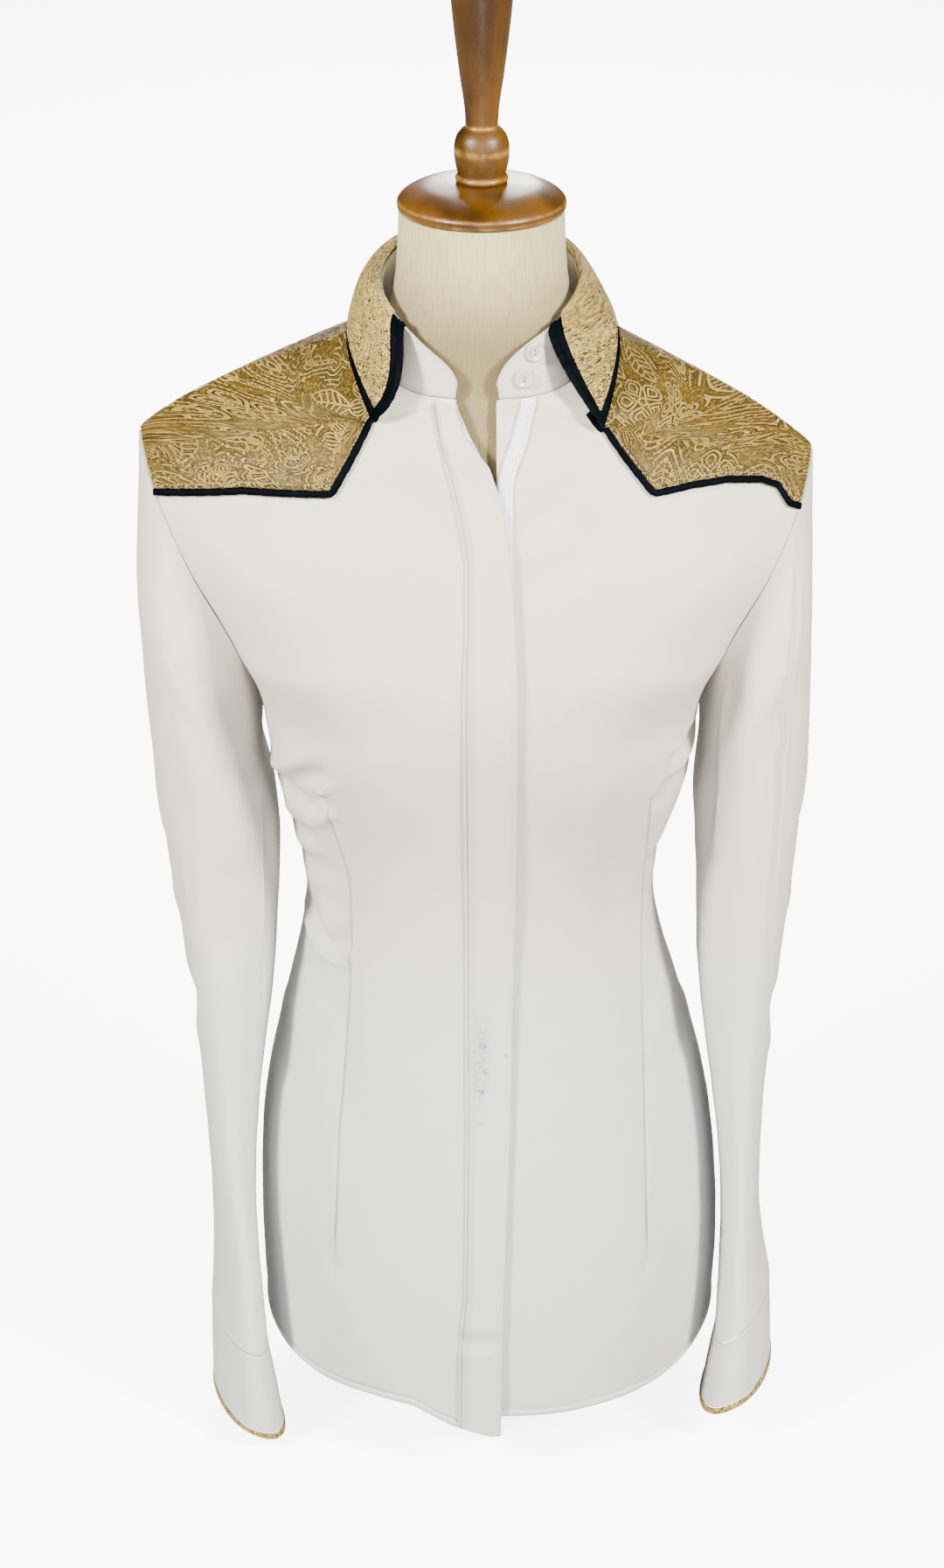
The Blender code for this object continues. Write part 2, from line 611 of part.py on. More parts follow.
def armhole(side):
    """The armhole as a ring, from the underarm up the front, over the shoulder and down
    the back: its points, the panels' normals and the way past the panels' edge."""
    ones = np.ones_like(ARMHOLE_LEVELS)
    parts = []
    for half, order in ((FRONTS[side], slice(None)), (BACKS[side], slice(-2, 0, -1))):
        points = half.point(ones, ARMHOLE_LEVELS)
        normals = half.normal(ones, ARMHOLE_LEVELS)
        normals[-1] = half.seam_normal(ones[-1:])[0]
        past = unit(points - half.point(ones - 1e-3, ARMHOLE_LEVELS))
        parts.append([values[order] for values in (points, normals, past)])
    return [np.concatenate(pair) for pair in zip(*parts)]


def power(value, sharpness):
    """A sine or cosine squared off into a superellipse."""
    return np.sign(value) * np.abs(value) ** (2 / sharpness)


def sleeve_ring(side, row, angles):
    """A ring of the sleeve. Angle 0 is next to the body and 90 degrees is the front."""
    size = dict(zip(SLEEVE_COLUMNS, row))
    over = 0.5 - 0.5 * power(np.cos(angles), SLEEVE_SHARPNESS)
    forward = power(np.sin(angles), SLEEVE_SHARPNESS) * size["depth"]
    x = size["in_x"] + (size["out_x"] - size["in_x"]) * over - size["lean"] * forward
    z = size["in_z"] + (size["out_z"] - size["in_z"]) * over
    return np.stack([side * x, size["mid_y"] - forward, z], -1)


def smooth_rows(table, count):
    """More rows for a table, along a smooth curve through its own."""
    table = np.array(table)
    at = np.linspace(0, len(table) - 1, count)
    return np.stack([spline(np.arange(len(table)), table[:, col], at) for col in range(table.shape[1])], -1)


def tube_normals(grid):
    """Normals of a grid of rings, away from the inside of the tube."""
    around = np.roll(grid, -1, axis=1) - np.roll(grid, 1, axis=1)
    along = np.gradient(grid, axis=0)
    square = unit(np.cross(around, along))
    away = grid - grid.mean(axis=1, keepdims=True)
    inside_out = (square * away).sum(-1).mean() < 0
    return -square if inside_out else square


SLEEVE_SIDES = 2 * (len(ARMHOLE_LEVELS) - 1)
SLEEVE_RINGS = 14


def sleeve_grid(side, table):
    """The rings of a sleeve from the armhole to the cuff seam, with their normals."""
    angles = np.arange(SLEEVE_SIDES) * 2 * math.pi / SLEEVE_SIDES
    rings = [sleeve_ring(side, row, angles) for row in smooth_rows(table, SLEEVE_RINGS)]
    seam, panel_normals, past = armhole(side)
    grid = np.stack([seam] + rings)
    around = tube_normals(grid)[0]
    lean = np.maximum((around * past).sum(-1, keepdims=True), 0)
    grid[0] += past * (GAP + CLOTH * lean) + panel_normals * GAP
    grid[-1, :, 2] += GAP
    return grid, tube_normals(grid)


def make_sleeve(name, side, table):
    """A sleeve, open at the armhole and at the cuff."""
    grid, normals = sleeve_grid(side, table)
    return wall(name, grid, normals, CLOTH, "shirt_cloth", ring=True)


def cuff_ring(side, table, foot, angles, share, grow):
    """Points of the cuff, share of the way down from its seam and grown outwards."""
    top, low = np.array(table[-1]), np.array(foot)
    row = top + (low - top) * share
    points = sleeve_ring(side, row, angles)
    centre = np.array([side * (row[0] + row[2]) / 2, row[4], 0.0])
    away = unit((points - centre) * np.array([1.0, 1.0, 0.0]))
    return points + away * np.broadcast_to(grow, angles.shape)[..., None]


def make_cuff(name, binding_name, side, table, foot):
    """A cuff that laps over itself behind, and the binding on its lower edge."""
    steps = np.arange(SLEEVE_SIDES + CUFF_LAP + 1)
    angles = 2 * math.pi * (CUFF_START + steps) / SLEEVE_SIDES
    lift = CUFF_LIFT * smooth_step((steps / SLEEVE_SIDES - 0.86) / 0.09)
    height = table[-1][1] - foot[1]
    bound = 1 - BINDING / height
    shares = np.array([GAP / height, 0.35, 0.7, bound - GAP / height])
    outer = np.stack([cuff_ring(side, table, foot, angles, share, lift) for share in shares])
    inner = np.stack([cuff_ring(side, table, foot, angles, share, lift - CUFF_CLOTH) for share in shares])
    sleeve_normals = sleeve_grid(side, table)[1][-1]
    inner[0] = outer[0] - CUFF_CLOTH * sleeve_normals[(CUFF_START + steps) % SLEEVE_SIDES]
    mesh = bmesh.new()
    add_wall(mesh, outer, inner)
    finish(name, mesh, "shirt_cloth")
    middle = (bound + 1) / 2
    outer = np.stack([cuff_ring(side, table, foot, angles, share, lift + grow)
                      for share, grow in ((bound, 0.0003), (middle, 0.0007), (1.0, 0.0))])
    inner = np.stack([cuff_ring(side, table, foot, angles, share, lift + grow - CUFF_CLOTH)
                      for share, grow in ((bound, 0.0), (middle, -0.0003), (1.0, 0.0002))])
    mesh = bmesh.new()
    add_wall(mesh, outer, inner)
    finish(binding_name, mesh, "gold_brocade")


def halves(table, names, along, prefix, shift):
    """A collar curve read over both halves; along runs from -1 to 1 and shift moves
    its ends in x."""
    knots = column(table, names, "along")
    away = np.abs(along)
    x = spline(knots, column(table, names, prefix + "_x"), away) * np.sign(along)
    ends = smooth_step((away - 0.3) / 0.7)
    return np.stack([x + shift * ends, spline(knots, column(table, names, prefix + "_y"), away),
                     spline(knots, column(table, names, prefix + "_z"), away)], -1)


def neckline_level(along):
    """The level on the neckline that a place along the collar is sewn to."""
    end = np.where(along < 0, STAND_END_LEVEL[-1], STAND_END_LEVEL[1])
    away = np.abs(along)
    return np.where(away > 0.5, TOP - (away - 0.5) * 2 * (TOP - end), NECK + away * 2 * (TOP - NECK))


def neckline(along):
    """The neckline that the collar stand is sewn to."""
    level = neckline_level(along)
    level = np.maximum(level, NECK + 1e-6)
    side = np.where(along < 0, -1.0, 1.0)
    behind = (np.abs(along) <= 0.5)[..., None]
    line = np.where(behind, BACKS[1].middle(level), FRONTS[1].middle(level))
    line[..., 0] *= side
    return line


def stand_point(along, height):
    """The outer face of the collar stand."""
    along, height = np.broadcast_arrays(np.asarray(along, float), np.asarray(height, float))
    base = neckline(along)
    top = halves(STAND, STAND_COLUMNS, along, "top", STAND_SHIFT)
    base = base + unit(top - base) * SEAM_LIFT
    return base + (top - base) * height[..., None]


def stand_normal(along, height):
    """Directions square to the stand, away from the neck."""
    step = 1e-3
    run = stand_point(along + step, height) - stand_point(along - step, height)
    rise = stand_point(along, height + step) - stand_point(along, height - step)
    return unit(np.cross(run, rise)) * -1.0


def stand_places():
    """Places along the collar that fall on the panels' own neckline levels."""
    back = (NECK_LEVELS - NECK) / (TOP - NECK) / 2
    places = []
    for side in (-1, 1):
        end = STAND_END_LEVEL[side]
        front = 0.5 + (TOP - NECK_LEVELS[::-1][1:]) / (TOP - end) / 2
        front = np.concatenate([front[front < 1], 1 - STAND_ROUND[side] * np.array([0.55, 0.25, 0.08, 0.0])])
        places.append(side * np.unique(np.round(np.concatenate([back, front]), 5)))
    return np.concatenate([places[0][::-1], places[1][1:]])


def make_stand():
    """The white stand, with a rounded end at each side of the opening."""
    along = stand_places()
    corner = np.where(along < 0, STAND_ROUND[-1], STAND_ROUND[1])
    over_round = np.clip((np.abs(along) - (1 - corner)) / corner, 0, 1)
    tall = 0.3 + 0.7 * np.sqrt(np.clip(1 - over_round ** 2, 0, 1))
    heights = np.array([0.0, 0.35, 0.7, 1.0])[:, None] * tall[None, :]
    along = np.broadcast_to(along[None, :], heights.shape)
    outer = stand_point(along, heights)
    normals = stand_normal(along, heights)
    wall("collar_stand", outer, normals, STAND_CLOTH, "shirt_cloth")


def fall_point(along, down):
    """The collar's fall from its fold line (0) to its edge (1)."""
    along, down = np.broadcast_arrays(np.asarray(along, float), np.asarray(down, float))
    fold = stand_point(along, np.ones_like(along))
    fold[..., 2] += FOLD_LIFT
    out = stand_normal(along, np.ones_like(along))
    out[..., 2] = 0
    out = unit(out)
    last = halves(FALL, FALL_COLUMNS, along, "under", FALL_SHIFT)
    rise = spline(column(FALL, FALL_COLUMNS, "along"), column(FALL, FALL_COLUMNS, "rise"), np.abs(along))
    swell = np.interp(along, (-0.5, 0.5), (FALL_SWELL[-1], FALL_SWELL[1]))
    second = fold + out * swell[..., None]
    second[..., 2] += rise
    third = last + (fold - last) * 0.42 + out * 0.005
    return bezier((fold, second, third, last), down)


def fall_normal(along, down):
    """Directions square to the fall, away from the neck and up."""
    step = 1e-3
    run = fall_point(along + step, down) - fall_point(along - step, down)
    drop = fall_point(along, down + step) - fall_point(along, down - step)
    return unit(np.cross(run, drop))


FALL_ROWS = np.array([0.0, 0.15, 0.32, 0.5, 0.68, 0.78, GOLD_SHARE, 1.0])
FALL_PLACES = np.linspace(-1, 1, 25)


def fall_end(down):
    """How far forward the collar's front edge reaches, by the way down from its fold."""
    return FALL_END + FRONT_BULGE * np.sin(math.pi * down ** 0.8)


def fall_length(along):
    """The fall's length by the place along it, as a share of its length behind."""
    longer = np.where(along < 0, TIP_LONGER[-1], TIP_LONGER[1])
    return 1 + longer * smooth_step((np.abs(along) - TIP_START) / (FALL_END - TIP_START))


def make_fall():
    """The collar's two layers: black satin under, gold on top and a little smaller."""
    along, down = np.meshgrid(FALL_PLACES, FALL_ROWS)
    end = fall_end(down)
    along = along * end
    down = down * fall_length(along)
    normals = fall_normal(along, down)
    wall("collar_under", fall_point(along, down), normals, UNDER_CLOTH, "black_satin")
    inset = GOLD_INSET * (1 - GOLD_INSET_LESS * down)
    along = np.clip(along, inset - end, end - inset)[:-1]
    down = down[:-1]
    normals = fall_normal(along, down)
    over = fall_point(along, down) + (LAID_GAP + TOP_CLOTH) * normals
    wall("collar_top", over, normals, TOP_CLOTH, "gold_brocade")


def yoke_rows(low):
    """Levels of a yoke over each of its columns: its lower edge, then the panels' own."""
    above = BODY_LEVELS[BODY_LEVELS > low.min()]
    above = np.concatenate([above[:-1], [TOP - YOKE_SHOULDER_INSET]])
    above[above == NECK] = NECK - YOKE_NECK_INSET
    return np.concatenate([low[None, :], np.maximum(above[:, None], low[None, :])])


def make_front_yoke(name, piping_name, side):
    """A gold front yoke over its front, and the piping along its lower edge."""
    half = FRONTS[side]
    places = np.array(YOKE_LOW[side])
    u, v = half.find(places[:, 0], places[:, 1])
    start = front_edge_u(side, v)
    shares = np.concatenate([[0.0], np.minimum((u - start) / (1 - start), 1.0)])
    levels = np.concatenate([[YOKE_NECK_LEVEL], v])
    corners = np.concatenate([shares, [(shares[1] + shares[2]) / 2, 1.0]])
    kept = [place for place in ACROSS if np.abs(corners - place).min() > 0.012]
    columns = np.unique(np.concatenate([corners, kept]))
    v = yoke_rows(np.interp(columns, shares, levels))
    share = np.broadcast_to(columns[None, :], v.shape)
    u = np.clip(on_front(side, share, v), YOKE_EDGE, 1 - YOKE_EDGE)
    normals = half.normal(u, v)
    normals[-1] = half.seam_normal(u[-1])
    outer = half.point(u, v) + (YOKE_GAP + YOKE_CLOTH) * normals
    wall(name, outer, normals, YOKE_CLOTH, "gold_brocade")
    first = int(np.argmin(np.abs(columns - shares[1])))
    make_piping(piping_name, half.point(u[0], v[0])[first:], half.normal(u[0], v[0])[first:])


def make_piping(name, path, normals):
    """A flat cord of satin along the lower edge of a yoke."""
    tangent = unit(np.gradient(path, axis=0))
    across = unit(np.cross(tangent, normals))
    across = across * np.where(across[:, 2:3] > 0, -1.0, 1.0)
    centre = path + across * (PIPING_HALF_WIDTH + GAP) + normals * (PIPING_HALF_DEPTH + PIPING_GAP)
    mesh = bmesh.new()
    sections = []
    for place, side_way, up in zip(centre, across, normals):
        section = []
        for step in range(PIPING_SIDES):
            angle = 2 * math.pi * step / PIPING_SIDES
            section.append(mesh.verts.new(
                place + side_way * PIPING_HALF_WIDTH * math.cos(angle) + up * PIPING_HALF_DEPTH * math.sin(angle)))
        sections.append(section)
    for first, second in zip(sections, sections[1:]):
        for step in range(PIPING_SIDES):
            nxt = (step + 1) % PIPING_SIDES
            mesh.faces.new([first[step], first[nxt], second[nxt], second[step]])
    mesh.faces.new(sections[0][::-1])
    mesh.faces.new(sections[-1])
    finish(name, mesh, "black_satin")


def back_yoke_low(u):
    """The lower edge of the back yoke, with a point at the middle."""
    return YOKE_BACK_POINT + (YOKE_BACK_SIDE - YOKE_BACK_POINT) * np.clip(u / YOKE_BACK_CORNER, 0, 1)


def make_back_yoke():
    """The back yoke, pointed at the middle, and its piping."""
    mesh = bmesh.new()
    edges = {}
    for side, half in BACKS.items():
        v = yoke_rows(back_yoke_low(ACROSS))
        u = np.broadcast_to(ACROSS[None, :], v.shape).copy()
        below = v[:, 0] < NECK
        u[~below, 0] = YOKE_EDGE
        u = np.minimum(u, 1 - YOKE_EDGE)
        normals = half.normal(u, v)
        normals[below, 0, 0] = 0
        normals[-1] = half.seam_normal(u[-1])
        normals = unit(normals)
        outer = half.point(u, v) + (LAID_GAP + YOKE_CLOTH) * normals
        outer[below, 0, 0] = half.read("shift", v[below, 0])
        add_wall(mesh, outer, outer - YOKE_CLOTH * normals, open_start=int(below.sum()) - 1)
        edges[side] = (half.point(u[0], v[0]), normals[0])
    finish("yoke_back", mesh, "gold_brocade")
    path, ways = (np.concatenate([edges[-1][part][::-1], edges[1][part][1:]]) for part in (0, 1))
    make_piping("yoke_piping_back", path, ways)


def make_strip(name, side, v, left, right, lift, thickness, slot):
    """A strip of cloth laid on a front between two edges, a row for each level."""
    half = FRONTS[side]
    share = np.linspace(0, 1, len(lift))[None, :]
    x = left[:, None] + (right - left)[:, None] * share
    v = np.broadcast_to(v[:, None], x.shape)
    u = half.across(x, v)
    normals = half.normal(u, v)
    outer = half.point(u, v) + (LAID_GAP + thickness + lift)[..., None] * normals
    return wall(name, outer, normals, thickness, slot)


def strip_levels(foot, top):
    """Levels for a strip on a front: the front's own, with more beside the V."""
    own = BODY_LEVELS[(BODY_LEVELS > foot) & (BODY_LEVELS < top)]
    return np.unique(np.concatenate([[foot], own, V_LEVELS[V_LEVELS < top], [top]]))


def make_placket():
    """The fly that covers the zip, sewn on the wearer's right front."""
    v = strip_levels(PLACKET_FOOT, PLACKET_TOP)
    heights = FRONTS[-1].point(np.zeros_like(v), v)[:, 2]
    known = column(V_EDGE, V_COLUMNS, "height")
    left = np.interp(heights, known, column(V_EDGE, V_COLUMNS, "placket_in"))
    right = np.interp(heights, known, column(V_EDGE, V_COLUMNS, "placket_out"))
    lift = PLACKET_LIFT * smooth_step(np.linspace(0, 1, 6) / PLACKET_RISE)
    make_strip("placket", -1, v, left, right, lift, PLACKET_CLOTH, "shirt_cloth")


def make_tapes():
    """The two zip tapes, hidden by the placket below the V."""
    v = strip_levels(TAPE_FOOT, TAPE_TOP)
    known = column(TAPE, TAPE_COLUMNS, "height")
    for name, side, edge in (("zip_tape_left", 1, "left_tape"), ("zip_tape_right", -1, "right_tape")):
        heights = FRONTS[side].point(np.zeros_like(v), v)[:, 2]
        start = np.interp(heights, known, column(TAPE, TAPE_COLUMNS, edge))
        width = np.interp(heights, known, column(TAPE, TAPE_COLUMNS, "width"))
        make_strip(name, side, v, start, start + width, np.zeros(2), TAPE_CLOTH, "zip_tape")


def make_button(name, along, height):
    """A round button with a raised rim, on the collar stand."""
    place = stand_point(np.array([along]), np.array([height]))
    normal = stand_normal(np.array([along]), np.array([height]))[0]
    profile = ((0.88, 0.0), (1.0, 0.3), (0.97, 0.85), (0.85, 1.0), (0.66, 0.7))
    mesh = turned_mesh([(BUTTON_DEPTH * deep, BUTTON_RADIUS * wide) for wide, deep in profile], 16)
    made = finish(name, mesh, "button")
    made.location = place[0] + normal * 1.4 * GAP
    made.rotation_mode = "QUATERNION"
    made.rotation_quaternion = Vector(normal.tolist()).to_track_quat("Z", "Y")
    return made


def turned_mesh(profile, sides):
    """A closed turned body from (height, radius) pairs, bottom to top."""
    mesh = bmesh.new()
    rings = []
    for height, radius in profile:
        if radius < 1e-6:
            rings.append([mesh.verts.new((0, 0, height))])
            continue
        rings.append([mesh.verts.new((radius * math.cos(2 * math.pi * step / sides),
                                      radius * math.sin(2 * math.pi * step / sides), height))
                      for step in range(sides)])
    for low, high in zip(rings, rings[1:]):
        for step in range(sides):
            nxt = (step + 1) % sides
            corners = [low[step % len(low)], low[nxt % len(low)], high[nxt % len(high)], high[step % len(high)]]
            unique = list(dict.fromkeys(corners))
            if len(unique) > 2:
                mesh.faces.new(unique)
    for ring, flip in ((rings[0], True), (rings[-1], False)):
        if len(ring) > 1:
            mesh.faces.new(ring[::-1] if flip else ring)
    return mesh


def make_turned(name, profile, slot):
    """A turned piece of wood standing on its lowest ring."""
    return finish(name, turned_mesh(profile, TURNED_SIDES), slot)


def make_form():
    """The padded torso and neck: the shirt's own shape drawn in by the clearance."""
    mesh = bmesh.new()
    across = np.array([0.0, 0.18, 0.38, 0.58, 0.78, 0.94, 1.0])
    levels = np.concatenate([np.array([0.5, 1.2, 2.0, 2.8, 3.5, 4.2, 5.0]), np.linspace(6, NECK, 6),
                             NECK_LEVELS[[2, 3, 4, 5, 6]]])
    loops = {}
    for (kind, group) in (("front", FRONTS), ("back", BACKS)):
        for side, half in group.items():
            u = np.broadcast_to(across[None, :], (len(levels), len(across)))
            v = np.broadcast_to(levels[:, None], u.shape)
            normals = half.normal(u, v, plain=True)
            middle = levels <= NECK + 1e-6
            normals[middle, 0, 0] = 0
            normals[-1] = half.seam_normal(u[-1])
            below = levels <= UNDERARM + 1e-6
            normals[below, -1] = np.array([side, 0.0, 0.0])
            normals = unit(normals)
            near = smooth_step((v - FORM_SHOULDER_START) / (TOP - FORM_SHOULDER_START))
            clear = FORM_CLEARANCE + (SHOULDER_CLEARANCE - FORM_CLEARANCE) * near
            points = half.plain_point(u, v) - (CLOTH + clear)[..., None] * normals
            points[middle, 0, 0] = half.read("shift", levels[middle])
            points[levels > NECK - 1e-6, 0, :2] *= FORM_NECKLINE
            points[0, :, 2] = FORM_FOOT
            grid = [[mesh.verts.new(point) for point in line] for line in points]
            for row in range(len(levels) - 1):
                for col in range(len(across) - 1):
                    mesh.faces.new([grid[row][col], grid[row][col + 1], grid[row + 1][col + 1], grid[row + 1][col]])
            loops[kind, side] = points
    start = int(np.argmin(np.abs(levels - UNDERARM)))
    for side in (-1, 1):
        plate = np.concatenate([loops["front", side][start:, -1], loops["back", side][start:, -1][::-1][1:-1]])
        add_fan(mesh, plate, plate.mean(axis=0))
    foot = np.concatenate([
        loops["front", -1][0][::-1], loops["front", 1][0][1:], loops["back", 1][0][::-1][1:], loops["back", -1][0][1:-1]])
    add_fan(mesh, foot, np.array([0.006, 0.0, FORM_FOOT]))
    neck = int(np.argmin(np.abs(levels - NECK)))
    ring = np.concatenate([
        loops["front", 1][neck:, 0], loops["back", 1][neck:, 0][::-1][1:],
        loops["back", -1][neck:, 0][1:], loops["front", -1][neck:, 0][::-1][1:-1]])
    add_neck(mesh, ring)
    finish("form_torso", mesh, "form_jersey", weld=2e-4)


def add_fan(mesh, ring, centre):
    """Close a ring of points with triangles round its centre."""
    hub = mesh.verts.new(centre)
    corners = [mesh.verts.new(point) for point in ring]
    for first, second in zip(corners, corners[1:] + corners[:1]):
        mesh.faces.new([first, second, hub])


def add_neck(mesh, ring):
    """Rings from the form's neckline up to the flat top of its neck."""
    rings = [ring]
    angles = np.arctan2(ring[:, 0], -ring[:, 1])
    for row in NECK_RINGS:
        size = dict(zip(NECK_COLUMNS, row))
        circle = np.stack([size["radius"] * np.sin(angles), size["y"] - size["radius"] * np.cos(angles),
                           np.full_like(angles, size["height"])], -1)
        above = ring + (circle - ring) * size["blend"]
        above[:, 2] = ring[:, 2] + (size["height"] - ring[:, 2]) * (0.5 + 0.5 * size["blend"])
        rings.append(above)
    rings[-1][:, 2] = NECK_RINGS[-1][0]
    made = [[mesh.verts.new(point) for point in line] for line in rings]
    count = len(ring)
    for low, high in zip(made, made[1:]):
        for step in range(count):
            nxt = (step + 1) % count
            mesh.faces.new([low[step], low[nxt], high[nxt], high[step]])
    add_fan(mesh, rings[-1], rings[-1].mean(axis=0))


def make_base():
    """The oval plinth and the block that carries the form."""
    mesh = bmesh.new()
    sides = 32
    profile = (
        (0.0, 1.0), (BASE_HEIGHT - 0.004, 0.99), (BASE_HEIGHT, 0.93), (BASE_HEIGHT + 0.004, BASE_STEP),
        (FORM_FOOT - 0.020, BASE_STEP * 0.9), (FORM_FOOT - 0.010, BASE_STEP), (FORM_FOOT - GAP, BASE_STEP))
    rings = []
    for height, share in profile:
        rings.append([mesh.verts.new((BASE_HALF_WIDTH * share * math.cos(2 * math.pi * step / sides),
                                      BASE_Y + BASE_HALF_DEPTH * share * math.sin(2 * math.pi * step / sides),
                                      height)) for step in range(sides)])
    for low, high in zip(rings, rings[1:]):
        for step in range(sides):
            mesh.faces.new([low[step], low[(step + 1) % sides], high[(step + 1) % sides], high[step]])
    mesh.faces.new(rings[0][::-1])
    mesh.faces.new(rings[-1])
    finish("form_base", mesh, "turned_wood")


def main():
    """Clear the scene and build every piece."""
    for old in list(bpy.data.objects):
        bpy.data.objects.remove(old, do_unlink=True)
    make_form()
    make_base()
    make_turned("form_neck_cap", CAP_PROFILE, "turned_wood")
    make_turned("form_finial", FINIAL_PROFILE, "turned_wood")
    make_front("front_right", -1)
    make_front("front_left", 1)
    make_back()
    make_sleeve("sleeve_right", -1, SLEEVE_RIGHT)
    make_sleeve("sleeve_left", 1, SLEEVE_LEFT)
    make_cuff("cuff_right", "cuff_binding_right", -1, SLEEVE_RIGHT, CUFF_RIGHT_FOOT)
    make_cuff("cuff_left", "cuff_binding_left", 1, SLEEVE_LEFT, CUFF_LEFT_FOOT)
    make_stand()
    make_fall()
    make_front_yoke("yoke_front_right", "yoke_piping_right", -1)
    make_front_yoke("yoke_front_left", "yoke_piping_left", 1)
    make_back_yoke()
    make_placket()
    make_tapes()
    for name, (along, height) in BUTTONS.items():
        make_button(name, along, height)


main()
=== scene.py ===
"""Looks of a western show shirt that stands on a limbless dress form.

Every cloth piece is a thin shell on the form of its solid. The surfaces are worked out
from the same named sizes as the solids, with the folds, seams, stitches, raised brocade
and turned wood added. Metres, +Z up, the shirt's front faces -Y.
"""
import logging
import math
from contextlib import contextmanager
from dataclasses import dataclass, field
from enum import Enum
from typing import Callable, ClassVar, Iterable, Iterator

import bpy
import numpy as np
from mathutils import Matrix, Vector
from mathutils.kdtree import KDTree

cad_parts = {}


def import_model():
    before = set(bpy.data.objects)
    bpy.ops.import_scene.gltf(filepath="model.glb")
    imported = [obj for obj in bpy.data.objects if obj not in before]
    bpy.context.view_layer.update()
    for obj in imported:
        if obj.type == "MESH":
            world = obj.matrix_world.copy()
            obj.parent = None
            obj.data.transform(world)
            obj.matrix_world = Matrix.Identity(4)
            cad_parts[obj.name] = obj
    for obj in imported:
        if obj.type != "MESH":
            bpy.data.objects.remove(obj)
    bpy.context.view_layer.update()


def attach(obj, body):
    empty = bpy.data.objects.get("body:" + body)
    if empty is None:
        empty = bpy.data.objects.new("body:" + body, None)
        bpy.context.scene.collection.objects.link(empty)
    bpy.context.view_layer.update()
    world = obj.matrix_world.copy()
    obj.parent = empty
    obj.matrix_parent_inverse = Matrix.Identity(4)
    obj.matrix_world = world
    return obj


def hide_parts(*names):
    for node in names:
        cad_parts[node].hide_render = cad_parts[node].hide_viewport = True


log = logging.getLogger("show_shirt")

Array = np.ndarray
Colour = tuple[float, float, float, float]
Spot = tuple[float, float, float]
Piece = bpy.types.Object
Node = bpy.types.Node
Socket = bpy.types.NodeSocket
Tree = bpy.types.NodeTree
Curve = Callable[[Array, Array, Array], Array]

BODY = "root"
MM = 0.001
UNDERARM = 6
NECK = 10
TOP = 11
CLOTH = 0.0013
GAP = 0.0003
SEAM = 0.0002
LAID_GAP = 0.0005
DEEPER = 1.35
KEPT = 0.004
SOFT = 0.0009


class Side(Enum):
    """A side of the wearer; the value is the sign of x."""

    RIGHT = -1
    LEFT = 1

    @property
    def word(self) -> str:
        """The side's word in the names of nodes."""
        return self.name.lower()


class Seen(Enum):
    """The way a fold is looked at: its across axis, and the axis and sign of its facing."""

    FRONT = (0, 1, -1.0)
    BACK = (0, 1, 1.0)
    RIGHT = (1, 0, -1.0)
    LEFT = (1, 0, 1.0)


class Held(Enum):
    """How a sheet of cloth is held."""

    HUNG = "hung"
    STRETCHED = "stretched"
    FOLDED = "folded"


@dataclass(frozen=True)
class Table:
    """A short table of sizes with named columns."""

    names: tuple[str, ...]
    rows: tuple[tuple[float, ...], ...]

    def column(self, name: str) -> Array:
        """One named column, as an array."""
        return np.array([row[self.names.index(name)] for row in self.rows], dtype=float)


BODY_COLUMNS = ("level", "shift", "mid_y", "mid_z", "out_x", "out_y", "out_z", "reach", "turn_x", "turn_y",
                "lift")
LEVEL_COLUMNS = ("out_y", "turn_x", "lift")
FRONT_ROWS = Table(BODY_COLUMNS, (
    (0, 0.006, -0.13, 0.05, 0.149, 0.0, 0.05, 0.098, 0.0, -0.08, 0.0),
    (1, 0.006, -0.13, 0.13, 0.151, 0.0, 0.13, 0.098, 0.0, -0.08, 0.0),
    (2, 0.004, -0.121, 0.215, 0.146, 0.0, 0.215, 0.094, 0.0, -0.074, 0.0),
    (3, 0.002, -0.108, 0.295, 0.128, 0.0, 0.295, 0.082, 0.0, -0.066, 0.0),
    (4, -0.001, -0.1, 0.378, 0.111, 0.0, 0.378, 0.072, 0.0, -0.06, 0.0),
    (5, 0.0, -0.109, 0.452, 0.126, 0.0, 0.445, 0.084, 0.0, -0.066, 0.0),
    (6, 0.0, -0.125, 0.525, 0.136, 0.0, 0.505, 0.092, 0.0, -0.078, 0.0),
    (7, 0.0, -0.122, 0.58, 0.148, -0.054, 0.556, 0.096, -0.014, -0.046, 0.0),
    (8, 0.0, -0.109, 0.63, 0.168, -0.06, 0.598, 0.104, -0.03, -0.034, 0.002),
    (9, 0.0, -0.087, 0.68, 0.188, -0.045, 0.637, 0.1, -0.044, -0.026, 0.006),
    (10, 0.0, -0.063, 0.7217, 0.1995, -0.022, 0.664, 0.074, -0.056, -0.024, 0.013),
    (11, 0.0, 0.004, 0.7435, 0.2035, 0.0, 0.674, 0.045, -0.045, 0.0, 0.018),
))
